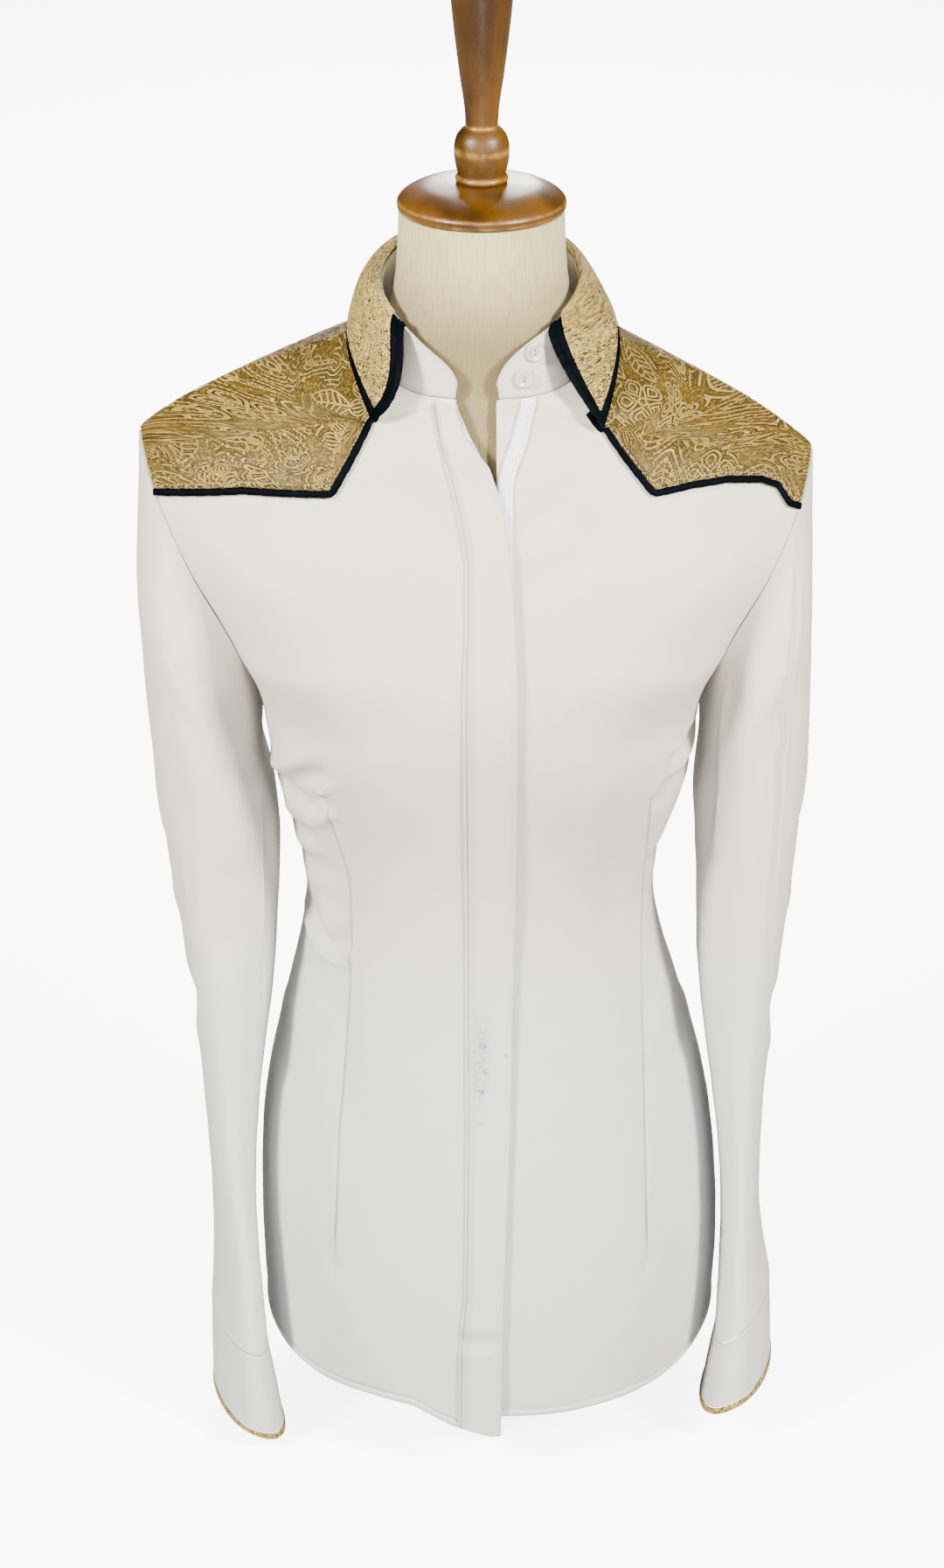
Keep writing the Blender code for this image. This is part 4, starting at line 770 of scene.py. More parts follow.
    @classmethod
    def skin(cls, name: str, grid: Grid, depth: float) -> Piece:
        """A sheet that lies on another piece: its face and a turned edge all round."""
        wide, sunk = margin(grid.points), margin(grid.points - depth * grid.normals)
        rim = np.ones(wide.shape[:2], bool)
        rim[1:-1, 1:-1] = False
        wide[rim] = sunk[rim]
        marks = {key: np.pad(value, 1, mode="edge") for key, value in grid.marks.items()}
        made = cls.grid_object(name, Grid(wide, margin(grid.normals), marks), margin(grid.surface_map()))
        return cls.smooth(cls.joined([made], name, 1e-6), 60)

    @classmethod
    def turned(cls, name: str, profile: Array, sides: int,
               oval: tuple[float, float] = (1.0, 1.0), y: float = 0.0) -> Piece:
        """A turned body: a circle drawn up through its profile by extrude and scale.

        Args:
            name: the object's name.
            profile: (height, radius) pairs from the bottom up.
            sides: how many sides a ring has.
            oval: how much wider each axis is than the radius.
            y: where the axis stands in y.

        Returns:
            The closed body.
        """
        cls.clear_choice()
        height, radius = profile[0]
        bpy.ops.mesh.primitive_circle_add(vertices=sides, radius=radius, fill_type="NGON",
                                          location=(0, 0, height))
        made = bpy.context.object
        bpy.ops.object.transform_apply(location=True, rotation=True, scale=True)
        with editing():
            for (low, was), (high, now) in zip(profile, profile[1:]):
                bpy.ops.mesh.extrude_region_move(TRANSFORM_OT_translate={"value": (0, 0, high - low)})
                bpy.ops.transform.resize(value=(now / was, now / was, 1), center_override=(0, 0, high))
            bpy.ops.mesh.select_all(action="SELECT")
            bpy.ops.transform.resize(value=(*oval, 1), center_override=(0, 0, 0))
            bpy.ops.transform.translate(value=(0, y, 0))
            bpy.ops.mesh.normals_make_consistent(inside=False)
        made.name = made.data.name = name
        return cls.smooth(made, 42)

    @classmethod
    def copies(cls, name: str, pattern: Piece, frames: Array) -> Piece:
        """One object that holds a copy of a small pattern at each frame.

        Args:
            name: the object's name.
            pattern: the modelled pattern, which is removed.
            frames: an array of 3 x 4 matrices, one for each copy.

        Returns:
            The object with all the copies.
        """
        source = pattern.data
        base = np.zeros(len(source.vertices) * 3)
        source.vertices.foreach_get("co", base)
        base = base.reshape(-1, 3)
        points = np.einsum("kij,nj->kni", frames[:, :, :3], base) + frames[:, None, :, 3]
        faces = [[corner + copy * len(base) for corner in face.vertices]
                 for copy in range(len(frames)) for face in source.polygons]
        mesh = bpy.data.meshes.new(name)
        mesh.from_pydata(points.reshape(-1, 3).tolist(), [], faces)
        mesh.shade_smooth()
        bpy.data.objects.remove(pattern)
        return cls.linked(name, mesh)


class Board:
    """A node tree with short ways to add nodes and join them."""

    def __init__(self, tree: Tree) -> None:
        """Work on a tree."""
        self.tree = tree

    def add(self, kind: str, inputs: dict[str | int, object] | None = None, **settings: object) -> Node:
        """Add a node.

        Args:
            kind: the node's type, without its first word.
            inputs: what goes into its sockets: another socket, or a plain value.
            settings: the node's own properties.

        Returns:
            The node.
        """
        node = self.tree.nodes.new(f"ShaderNode{kind}")
        for key, value in settings.items():
            setattr(node, key, value)
        for key, value in (inputs or {}).items():
            self.put(node.inputs[key], value)
        return node

    def put(self, socket: Socket, value: object) -> None:
        """Join a socket to another or give it a plain value."""
        if isinstance(value, Socket):
            self.tree.links.new(value, socket)
        else:
            socket.default_value = value

    def sum(self, operation: str, *values: object) -> Socket:
        """A Math node's result."""
        return self.add("Math", dict(enumerate(values)), operation=operation).outputs[0]

    def times(self, first: object, second: object) -> Socket:
        """Two values multiplied."""
        return self.sum("MULTIPLY", first, second)

    def noise(self, where: object, scale: float, detail: float = 3.0, rough: float = 0.5,
              distortion: float = 0.0) -> Socket:
        """A noise texture's value."""
        return self.add("TexNoise", {"Vector": where, "Scale": scale, "Detail": detail, "Roughness": rough,
                                     "Distortion": distortion}).outputs[0]

    def blend(self, factor: object, first: object, second: object) -> Socket:
        """Two colours blended by a factor."""
        return self.add("Mix", {0: factor, 6: first, 7: second}, data_type="RGBA").outputs[2]

    def span(self, value: object, low: float, high: float, to_low: float = 0.0,
             to_high: float = 1.0) -> Socket:
        """A value read from one span to another, smoothly and held at its ends."""
        ends = {0: value, 1: low, 2: high, 3: to_low, 4: to_high}
        return self.add("MapRange", ends, interpolation_type="SMOOTHSTEP").outputs[0]

    def mark(self, name: str) -> Socket:
        """A mark of the mesh, by name."""
        return self.add("Attribute", attribute_name=name).outputs["Fac"]

    def axes(self, vector: Socket) -> bpy.types.bpy_prop_collection:
        """The three parts of a vector."""
        return self.add("SeparateXYZ", {0: vector}).outputs

    def cloth_map(self, across: float = 1, along: float = 1) -> Socket:
        """The cloth's own map, scaled."""
        chart = self.add("UVMap", uv_map="cloth").outputs[0]
        return self.add("Mapping", {"Vector": chart, "Scale": (across, along, 1.0)}).outputs[0]

    def place(self, along: float = 1) -> Socket:
        """Object coordinates, with the height scaled."""
        spot = self.add("TexCoord").outputs["Object"]
        return self.add("Mapping", {"Vector": spot, "Scale": (1, 1, along)}).outputs[0]

    def camera_ray(self) -> Socket:
        """1 where the camera itself sees a surface."""
        return self.add("LightPath").outputs["Is Camera Ray"]

    def group(self, tree: Tree, inputs: dict[str, object]) -> bpy.types.bpy_prop_collection:
        """The outputs of a shared effect with its own values."""
        node = self.add("Group", node_tree=tree)
        for key, value in inputs.items():
            self.put(node.inputs[key], value)
        return node.outputs

    def dress(self, shader: Node, colour: Socket, rough: Socket, height: Socket | None = None,
              strength: float = 0.0, distance: float = 0.0002) -> None:
        """Join a finish to its shader.

        Args:
            shader: the Principled shader.
            colour: its colour.
            rough: its roughness.
            height: the height of its bump, if it has one.
            strength: the bump's strength.
            distance: the bump's height in metres.
        """
        self.put(shader.inputs["Base Color"], colour)
        self.put(shader.inputs["Roughness"], rough)
        if height is not None:
            bump = self.add("Bump", {"Height": height, "Strength": strength, "Distance": distance})
            self.put(shader.inputs["Normal"], bump.outputs[0])


class Effects:
    """The shader node groups that several finishes share."""

    @staticmethod
    def shared(name: str, inputs: dict[str, object], outputs: tuple[str, ...], draw: Callable) -> Tree:
        """A node group, made once.

        Args:
            name: the group's name.
            inputs: socket names with their values: a number, or None or three numbers for a vector.
            outputs: the names of the values that it puts out.
            draw: takes the group's board and its inputs, and returns those values.

        Returns:
            The group.
        """
        tree = bpy.data.node_groups.get(name)
        if tree:
            return tree
        tree = bpy.data.node_groups.new(name, "ShaderNodeTree")
        for key, value in inputs.items():
            kind = "NodeSocketFloat" if isinstance(value, float) else "NodeSocketVector"
            socket = tree.interface.new_socket(name=key, in_out="INPUT", socket_type=kind)
            if value is not None:
                socket.default_value = value
        for key in outputs:
            tree.interface.new_socket(name=key, in_out="OUTPUT", socket_type="NodeSocketFloat")
        board, given, out = Board(tree), tree.nodes.new("NodeGroupInput"), tree.nodes.new("NodeGroupOutput")
        for key, value in zip(outputs, draw(board, given.outputs)):
            board.put(out.inputs[key], value)
        return tree

    @classmethod
    def weave(cls) -> Tree:
        """A plain weave: the height of its threads and a faint tone."""
        def draw(board: Board, given: dict[str, Socket]) -> tuple[Socket, ...]:
            """Threads that cross, a little uneven."""
            scaled = board.add("VectorMath", {0: given["Map"], "Scale": given["Threads"]},
                               operation="SCALE").outputs[0]
            axes = board.axes(scaled)
            warp, weft = (board.sum("SINE", board.times(axes[axis], math.pi)) for axis in (0, 1))
            uneven = board.noise(scaled, 0.35, 2.0)
            height = board.sum("MULTIPLY_ADD", board.times(warp, weft), 0.5, board.times(uneven, 0.7))
            return height, board.span(uneven, 0.3, 0.7)
        return cls.shared("plain_weave", {"Map": None, "Threads": 2800.0}, ("Height", "Tone"), draw)

    @classmethod
    def glints(cls) -> Tree:
        """Small facets of metallic yarn: a mask of glints and their height."""
        def draw(board: Board, given: dict[str, Socket]) -> tuple[Socket, ...]:
            """Cells, some of which are lit."""
            cells = board.add("TexVoronoi", {"Vector": given["Map"], "Scale": given["Grains"],
                                             "Randomness": 0.9})
            chance = board.add("SeparateColor", {0: cells.outputs["Color"]}).outputs[0]
            lit = board.sum("LESS_THAN", chance, given["Share"])
            round_off = board.span(cells.outputs["Distance"], 0.5, 0.1)
            return board.times(lit, round_off), board.sum("ADD", round_off, board.times(chance, 0.5))
        return cls.shared("yarn_glints", {"Map": None, "Grains": 900.0, "Share": 0.3},
                          ("Glint", "Height"), draw)

    @classmethod
    def smudge(cls) -> Tree:
        """A soft uneven smudge round a centre."""
        def draw(board: Board, given: dict[str, Socket]) -> tuple[Socket, ...]:
            """A soft round, broken by the grain of the cloth."""
            far = given["Place"]
            for operation, key in (("SUBTRACT", "Centre"), ("MULTIPLY", "Spread")):
                far = board.add("VectorMath", {0: far, 1: given[key]}, operation=operation).outputs[0]
            far = board.add("VectorMath", {0: far}, operation="LENGTH").outputs["Value"]
            grain = board.noise(given["Place"], given["Streaks"], 2.0, 0.6)
            return (board.times(board.span(far, 1.0, 0.2), board.span(grain, 0.38, 0.56)),)
        return cls.shared("smudge", {"Place": None, "Centre": None, "Spread": (100.0, 1.0, 100.0),
                                     "Streaks": 520.0}, ("Mask",), draw)

    @classmethod
    def grain(cls) -> Tree:
        """Wood grain: rings seen along the stem, with pores."""
        def draw(board: Board, given: dict[str, Socket]) -> tuple[Socket, ...]:
            """Rings that sway, and long pores."""
            place = given["Place"]
            warp = board.noise(place, 9.0, 2.0)
            swayed = board.add("VectorMath", {0: place, 1: (0.05, 0.05, 0.0)}, operation="ADD").outputs[0]
            axes = board.axes(swayed)
            across = board.sum("ADD", *(board.times(axes[axis], given["Rings"]) for axis in (0, 1)))
            waved = board.sum("SINE", board.sum("ADD", across, board.times(warp, 9.0)))
            long_map = board.add("Mapping", {"Vector": place, "Scale": (1.0, 1.0, 0.06)}).outputs[0]
            pore = board.span(board.noise(long_map, 900.0, 3.0, 0.6), 0.55, 0.72)
            return board.span(waved, -1.0, 1.0), pore
        return cls.shared("wood_grain", {"Place": None, "Rings": 60.0}, ("Band", "Pore"), draw)


class Finish:
    """A finish: its paint joins nodes to the Principled shader of one material."""

    slot: ClassVar[str] = ""
    title: ClassVar[str] = ""
    constants: ClassVar[dict[str, float]] = {}

    def paint(self, board: Board, shader: Node) -> None:
        """Join the finish's own nodes to the shader."""

    def material(self) -> bpy.types.Material:
        """The finish's material, made once."""
        name = f"worn_{self.title}"
        made = bpy.data.materials.get(name)
        if made is None:
            made = bpy.data.materials.new(name)
            made.use_nodes = True
            shader = made.node_tree.nodes["Principled BSDF"]
            for key, value in self.constants.items():
                shader.inputs[key].default_value = value
            self.paint(Board(made.node_tree), shader)
        return made


@dataclass(frozen=True)
class ShirtCloth(Finish):
    """Smooth ivory stretch weave with a soft sheen, and a few grey smudges on the fly."""

    soiled: bool = False
    # lit and cool are painted light: a warm lit tone on the upper shirt and a cooler, darker tone towards the
    # hem, for warm light above and cool light below.
    lit: Colour = (0.55, 0.5, 0.415, 1.0)
    painted_cool_light: Colour = (0.45, 0.472, 0.5, 1.0)
    mottled: Colour = (0.44, 0.41, 0.36, 1.0)
    soil: Colour = (0.13, 0.13, 0.16, 1.0)
    # seam: a painted shade colour for the grooves of seams, darts and the hem.
    seam: Colour = (0.15, 0.12, 0.1, 1.0)
    threads: float = 2600.0
    smudges: tuple[tuple[float, ...], ...] = (
        (0.0, 0.2829, 170.0, 420.0, 0.95),
        (0.0014, 0.3132, 260.0, 420.0, 0.8),
        (0.0025, 0.2956, 260.0, 500.0, 0.75),
        (0.0156, 0.3065, 420.0, 600.0, 0.6),
        (-0.0002, 0.2615, 200.0, 380.0, 0.45),
        (-0.0002, 0.305, 130.0, 20.0, 0.42),
    )
    slot: ClassVar[str] = "shirt_cloth"
    constants: ClassVar[dict[str, float]] = {"Sheen Weight": 0.04, "Sheen Roughness": 0.4,
                                             "Specular IOR Level": 0.25}

    @property
    def title(self) -> str:
        """The material's name."""
        return "shirt_cloth_soiled" if self.soiled else "shirt_cloth"

    def paint(self, board: Board, shader: Node) -> None:
        """Weave, faint mottling, smudges, a painted light tint from warm above to cool below, and the seams'
        painted shade.
        """
        weave = board.group(Effects.weave(), {"Map": board.cloth_map(), "Threads": self.threads})
        place = board.place()
        # Painted light: the cloth turns from the warm lit tone to the cool tone towards the bottom.
        low = board.span(board.axes(place)[2], 0.62, 0.3)
        tone = board.blend(board.times(low, 0.8), self.lit, self.painted_cool_light)
        tone = board.blend(board.span(board.noise(place, 7.0), 0.3, 0.7, 0.0, 0.1), tone, self.mottled)
        for x, z, wide, tall, strength in self.smudges if self.soiled else ():
            spot = board.group(Effects.smudge(), {"Place": place, "Centre": (x, 0, z),
                                                  "Spread": (wide, 0, tall)})
            tone = board.blend(board.times(spot[0], strength), tone, self.soil)
        # Painted shade: the cloth darkens along the seam mark, where the grooves of seams, darts and the hem
        # lie.
        tone = board.blend(board.times(board.mark("seam"), 0.95), tone, self.seam)
        board.dress(shader, tone, board.span(weave["Tone"], 0.0, 1.0, 0.5, 0.6), weave["Height"], 0.1)


@dataclass(frozen=True)
class GoldBrocade(Finish):
    """Gold ground with beige cords and metallic yarn: cords from the mesh, or fine in the shader."""

    fine: bool = False
    ground: Colour = (0.068, 0.041, 0.0035, 1.0)
    # shade: a dark tone for the ground's random mottling, and painted shade in the creases beside the cords.
    shade: Colour = (0.015, 0.009, 0.0012, 1.0)
    cord: Colour = (0.44, 0.29, 0.075, 1.0)
    # spark: bright gold for the glint cells, partly the metal yarn's colour and partly a painted glint; the
    # fine threads also mix it in as their own tone.
    spark: Colour = (0.98, 0.74, 0.24, 1.0)
    cord_half: float = 0.00066
    twist: float = 0.0013
    slot: ClassVar[str] = "gold_brocade"
    constants: ClassVar[dict[str, float]] = {"Specular IOR Level": 0.15}

    @property
    def title(self) -> str:
        """The material's name."""
        return "gold_fine" if self.fine else "gold_brocade"

    def cords(self, board: Board) -> tuple[Socket, Socket, Socket]:
        """The raised cords' mask, the crease beside them where shade is painted, and the height of their
        twist.
        """
        away, run = board.mark("away"), board.mark("run")
        cord = board.span(away, self.cord_half * 1.3, self.cord_half * 0.75)
        crease = board.times(board.span(away, 0.0017, 0.0009), board.sum("SUBTRACT", 1.0, cord))
        slant = board.sum("MULTIPLY_ADD", away, 2600.0, board.times(run, 2 * math.pi / self.twist))
        return cord, crease, board.sum("MULTIPLY_ADD", board.sum("SINE", slant), 0.5, 0.5)

    def crinkle(self, board: Board) -> tuple[Socket, Socket, Socket]:
        """The same three for short wavy threads that are only in the finish."""
        chart = board.cloth_map()
        wave = board.noise(chart, 300.0, 1.2, 0.45, 2.6)
        far = board.sum("ABSOLUTE", board.sum("SUBTRACT", wave, 0.5))
        broken = board.noise(chart, 800.0, 1.0)
        return (board.times(board.span(far, 0.09, 0.03), board.span(broken, 0.3, 0.45)),
                board.span(far, 0.07, 0.14), board.span(broken, 0.35, 0.65))

    def paint(self, board: Board, shader: Node) -> None:
        """Ground, cords and glints."""
        chart = board.cloth_map()
        glints = board.group(Effects.glints(), {"Map": chart, "Grains": 1100.0 if self.fine else 900.0,
                                                "Share": 0.3 if self.fine else 0.22})
        cord, crease, twist = self.crinkle(board) if self.fine else self.cords(board)
        ground = board.blend(board.span(board.noise(chart, 60.0, 2.0), 0.35, 0.65, 0.0, 0.35),
                             self.ground, self.shade)
        flecks = board.span(board.noise(chart, 520.0, 2.0), 0.5, 0.66, 0.0, 0.25)
        ground = board.blend(flecks, ground, self.cord)
        if self.fine:
            ground = board.blend(0.32, ground, self.cord)
        # Painted shade: the ground darkens in the crease beside the cords, and between the fine wavy threads.
        ground = board.blend(board.times(crease, 0.95), ground, self.shade)
        # Painted shade: the cords turn towards the ground colour in their twist grooves; on the fine finish
        # this tone follows random noise.
        thread = board.blend(board.span(twist, 0.0, 0.8, 0.85, 0.0), self.cord, self.ground)
        if self.fine:
            thread = board.blend(0.6, thread, self.spark)
        colour = board.blend(cord, ground, thread)
        # Glint cells turn to the bright gold: partly the metal yarn's colour, partly a painted glint.
        colour = board.blend(board.times(glints["Glint"], 0.6), colour, self.spark)
        board.put(shader.inputs["Metallic"], board.span(glints["Glint"], 0.0, 1.0, 0.04, 0.55))
        height = board.sum("MULTIPLY_ADD", cord, board.sum("MULTIPLY_ADD", twist, 0.7, 0.5),
                           board.times(glints["Height"], 0.35))
        board.dress(shader, colour, board.span(glints["Glint"], 0.0, 1.0, 0.44, 0.22), height, 0.8,
                    0.0011 if self.fine else 0.0007)


@dataclass(frozen=True)
class BlackSatin(Finish):
    """Black satin with a blue sheen."""

    deep: Colour = (0.0002, 0.0005, 0.0011, 1.0)
    # blue: partly the satin's own navy tone and partly a painted sheen, laid in random clouds.
    blue: Colour = (0.0004, 0.0015, 0.0032, 1.0)
    slot: ClassVar[str] = "black_satin"
    title: ClassVar[str] = "black_satin"
    constants: ClassVar[dict[str, float]] = {"Specular IOR Level": 0.02}

    def paint(self, board: Board, shader: Node) -> None:
        """Satin floats along the cloth's map."""
        floats = board.noise(board.cloth_map(300.0, 2400.0), 1.0, 2.0)
        cloud = board.noise(board.cloth_map(), 90.0, 2.0)
        # The blue clouds are partly the satin's navy tone and partly a painted sheen.
        board.dress(shader, board.blend(board.span(cloud, 0.35, 0.65), self.deep, self.blue),
                    board.span(floats, 0.3, 0.7, 0.55, 0.66), floats, 0.15)


@dataclass(frozen=True)
class TapeWeave(Finish):
    """Bright white herringbone tape, for the zip."""

    white: Colour = (0.7, 0.72, 0.75, 1.0)
    grey: Colour = (0.56, 0.58, 0.61, 1.0)
    slot: ClassVar[str] = "zip_tape"
    title: ClassVar[str] = "zip_tape"
    constants: ClassVar[dict[str, float]] = {"Sheen Weight": 0.1}

    def paint(self, board: Board, shader: Node) -> None:
        """Ribs along the tape."""
        weave = board.group(Effects.weave(), {"Map": board.cloth_map(1, 0.6), "Threads": 2200.0})
        shade = board.blend(board.span(weave["Tone"], 0, 1, 0.0, 0.2), self.white, self.grey)
        board.dress(shader, shade, board.span(weave["Tone"], 0, 1, 0.45, 0.6), weave["Height"], 0.3)


@dataclass(frozen=True)
class Thread(Finish):
    """Sewing thread and zip coil, a little darker than its tint in places."""

    slot: str = "shirt_cloth"
    tint: Colour = (0.5, 0.465, 0.4, 1.0)
    darker: Colour = (0.43, 0.3999, 0.344, 1.0)
    title: str = "ivory_thread"

    def paint(self, board: Board, shader: Node) -> None:
        """A faint twist in tone."""
        twist = board.noise(board.place(), 1800.0, 2.0)
        board.dress(shader, board.blend(board.span(twist, 0.35, 0.65), self.tint, self.darker),
                    board.span(twist, 0.3, 0.7, 0.38, 0.5))


@dataclass(frozen=True)
class Pearl(Finish):
    """Translucent white button resin."""

    white: Colour = (0.56, 0.55, 0.53, 1.0)
    milky: Colour = (0.66, 0.655, 0.64, 1.0)
    slot: ClassVar[str] = "button"
    title: ClassVar[str] = "button_resin"
    constants: ClassVar[dict[str, float]] = {"Transmission Weight": 0.3, "IOR": 1.5, "Coat Weight": 0.4,
                                             "Coat Roughness": 0.08}

    def paint(self, board: Board, shader: Node) -> None:
        """Milky clouds."""
        cloud = board.noise(board.place(), 320.0)
        board.dress(shader, board.blend(board.span(cloud, 0.35, 0.65), self.white, self.milky),
                    board.span(cloud, 0.3, 0.7, 0.12, 0.2))


@dataclass(frozen=True)
class RibJersey(Finish):
    """Cream fine rib jersey of the form, with painted shade in its rib valleys and towards the foot of the
    neck.
    """

    cream: Colour = (0.52, 0.44, 0.215, 1.0)
    # valley: painted shade for the rib valleys, which the random broken tone also mixes in.
    valley: Colour = (0.29, 0.225, 0.088, 1.0)
    # worn: a painted shade colour, not wear: the neck darkens to it towards its foot, where the collar shades
    # it.
    worn: Colour = (0.115, 0.08, 0.027, 1.0)
    ribs: float = 294.0
    courses: float = 1500.0
    slot: ClassVar[str] = "form_jersey"
    title: ClassVar[str] = "form_jersey"
    constants: ClassVar[dict[str, float]] = {"Sheen Weight": 0.2}

    def paint(self, board: Board, shader: Node) -> None:
        """Ribs up the neck with small stitches in them, painted shade in the rib valleys and painted shade
        towards the neck's foot.
        """
        axes = board.axes(board.place())
        turn = board.sum("ARCTAN2", axes[0], board.times(axes[1], -1.0))
        rib = board.sum("SINE", board.times(turn, self.ribs))
        course = board.sum("SINE", board.times(axes[2], self.courses * 2 * math.pi))
        broken = board.noise(board.place(0.08), 800.0, 2.0)
        # Painted shade in the rib valleys, plus a random broken tone.
        tone = board.sum("ADD", board.span(rib, 0.6, -1.0, 0.0, 0.45), board.span(broken, 0.4, 0.7, 0.0, 0.4))
        # Painted shade: the neck darkens towards its foot, under the collar and in the V.
        low = board.span(axes[2], 0.808, 0.748, 0.0, 0.85)
        board.dress(shader, board.blend(low, board.blend(tone, self.cream, self.valley), self.worn),
                    board.span(broken, 0.3, 0.7, 0.72, 0.85),
                    board.sum("MULTIPLY_ADD", rib, 0.7, board.times(course, 0.2)), 0.35, 0.0003)


@dataclass(frozen=True)
class TurnedWood(Finish):
    """Brown stained and waxed wood, worn lighter on its edges."""

    dark: Colour = (0.012, 0.004, 0.0005, 1.0)
    brown: Colour = (0.085, 0.034, 0.0013, 1.0)
    worn: Colour = (0.24, 0.12, 0.018, 1.0)
    slot: ClassVar[str] = "turned_wood"
    title: ClassVar[str] = "turned_wood"
    constants: ClassVar[dict[str, float]] = {"Specular IOR Level": 0.35}

    def paint(self, board: Board, shader: Node) -> None:
        """Grain, pores and worn edges."""
        grain = board.group(Effects.grain(), {"Place": board.place(0.35), "Rings": 150.0})
        stain = board.noise(board.place(0.5), 28.0)
        mixed = board.sum("MULTIPLY_ADD", grain["Band"], 0.35, board.span(stain, 0.3, 0.7, 0.15, 0.75))
        colour = board.blend(mixed, self.dark, self.brown)
        colour = board.blend(board.times(grain["Pore"], 0.55), colour, self.dark)
        rubbed = board.span(board.noise(board.place(), 160.0), 0.35, 0.65, 0.25, 1.0)
        colour = board.blend(board.times(board.mark("worn"), rubbed), colour, self.worn)
        board.dress(shader, colour, board.span(stain, 0.3, 0.7, 0.3, 0.44),
                    board.times(grain["Pore"], -1.0), 0.2, 0.0003)


@dataclass(frozen=True)
class PaleFloor(Finish):
    """Plain pale paper, which sends little light back on the garment."""

    title: ClassVar[str] = "pale_floor"
    constants: ClassVar[dict[str, float]] = {"Roughness": 0.9, "Emission Strength": 6.0}

    def paint(self, board: Board, shader: Node) -> None:
        """White to the camera and dull to all else."""
        seen = board.camera_ray()
        for key, dull, bright in (("Base Color", (0.2, 0.19, 0.18, 1), (0.9, 0.9, 0.9, 1)),
                                  ("Emission Color", (0, 0, 0, 1), (1, 1, 1, 1))):
            board.put(shader.inputs[key], board.blend(seen, dull, bright))


def placed(piece: Piece, finish: Finish, *nodes: str) -> Piece:
    """Give a finished piece its material, its body and the nodes it stands for."""
    piece.data.materials.clear()
    piece.data.materials.append(finish.material())
    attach(piece, BODY)
    if nodes:
        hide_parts(*nodes)
    log.info("%s: %d faces", piece.name, len(piece.data.polygons))
    return piece


def sewn(node: str, grids: list[Grid], thickness: float, finish: Finish) -> Piece:
    """The cloth piece that stands for a node."""
    return placed(Workbench.cloth(f"shirt_{node}", grids, thickness), finish, node)


def declare(piece: Piece, grids: list[Grid],
            above: Iterable[Grid] = ()) -> None:
    """Work out the cut that the grids of a sheet of cloth unroll to; the cut is not kept.

    Args:
        piece: not used.
        grids: its grids, side by side.
        above: grids side by side that are cut in one with the others, above them.
    """
    rows = [[grid.cut() for grid in row] for row in (grids, list(above)) if row]


@dataclass
class Stitching:
    """Runs of small stitches that are modelled once and copied."""

    length: float = 0.0019
    pitch: float = 0.0027
    radius: float = 0.00022
    lines: list[tuple[Array, Array]] = field(default_factory=list)

    def add(self, points: Array, normals: Array) -> None:
        """Take a line of points with the cloth's directions there."""
        self.lines.append((points, normals))

    def frames(self) -> Array:
        """A matrix for each stitch."""
        made = []
        for points, normals in self.lines:
            run = walk(points)
            at = (np.arange(max(int(run[-1] / self.pitch), 1)) + 0.5) * self.pitch
            spot, ahead, behind = (columns(straight, run, points, at + more * self.length)
                                   for more in (0, 0.5, -0.5))
            way = columns(straight, run, normals, at)
            along = unit(ahead - behind)
            up = unit(way - (way * along).sum(-1, keepdims=True) * along)
            made.append(np.stack([along, np.cross(up, along), up, spot + up * self.radius * 0.35], -1))
        return np.concatenate(made)

    def build(self, name: str) -> Piece:
        """All the stitches as one piece."""
        Workbench.clear_choice()
        bpy.ops.mesh.primitive_uv_sphere_add(segments=5, ring_count=3, radius=self.radius)
        pattern = bpy.context.object
        with editing():
            bpy.ops.transform.resize(value=(self.length / (2 * self.radius), 1, 1))
        return Workbench.copies(name, pattern, self.frames())


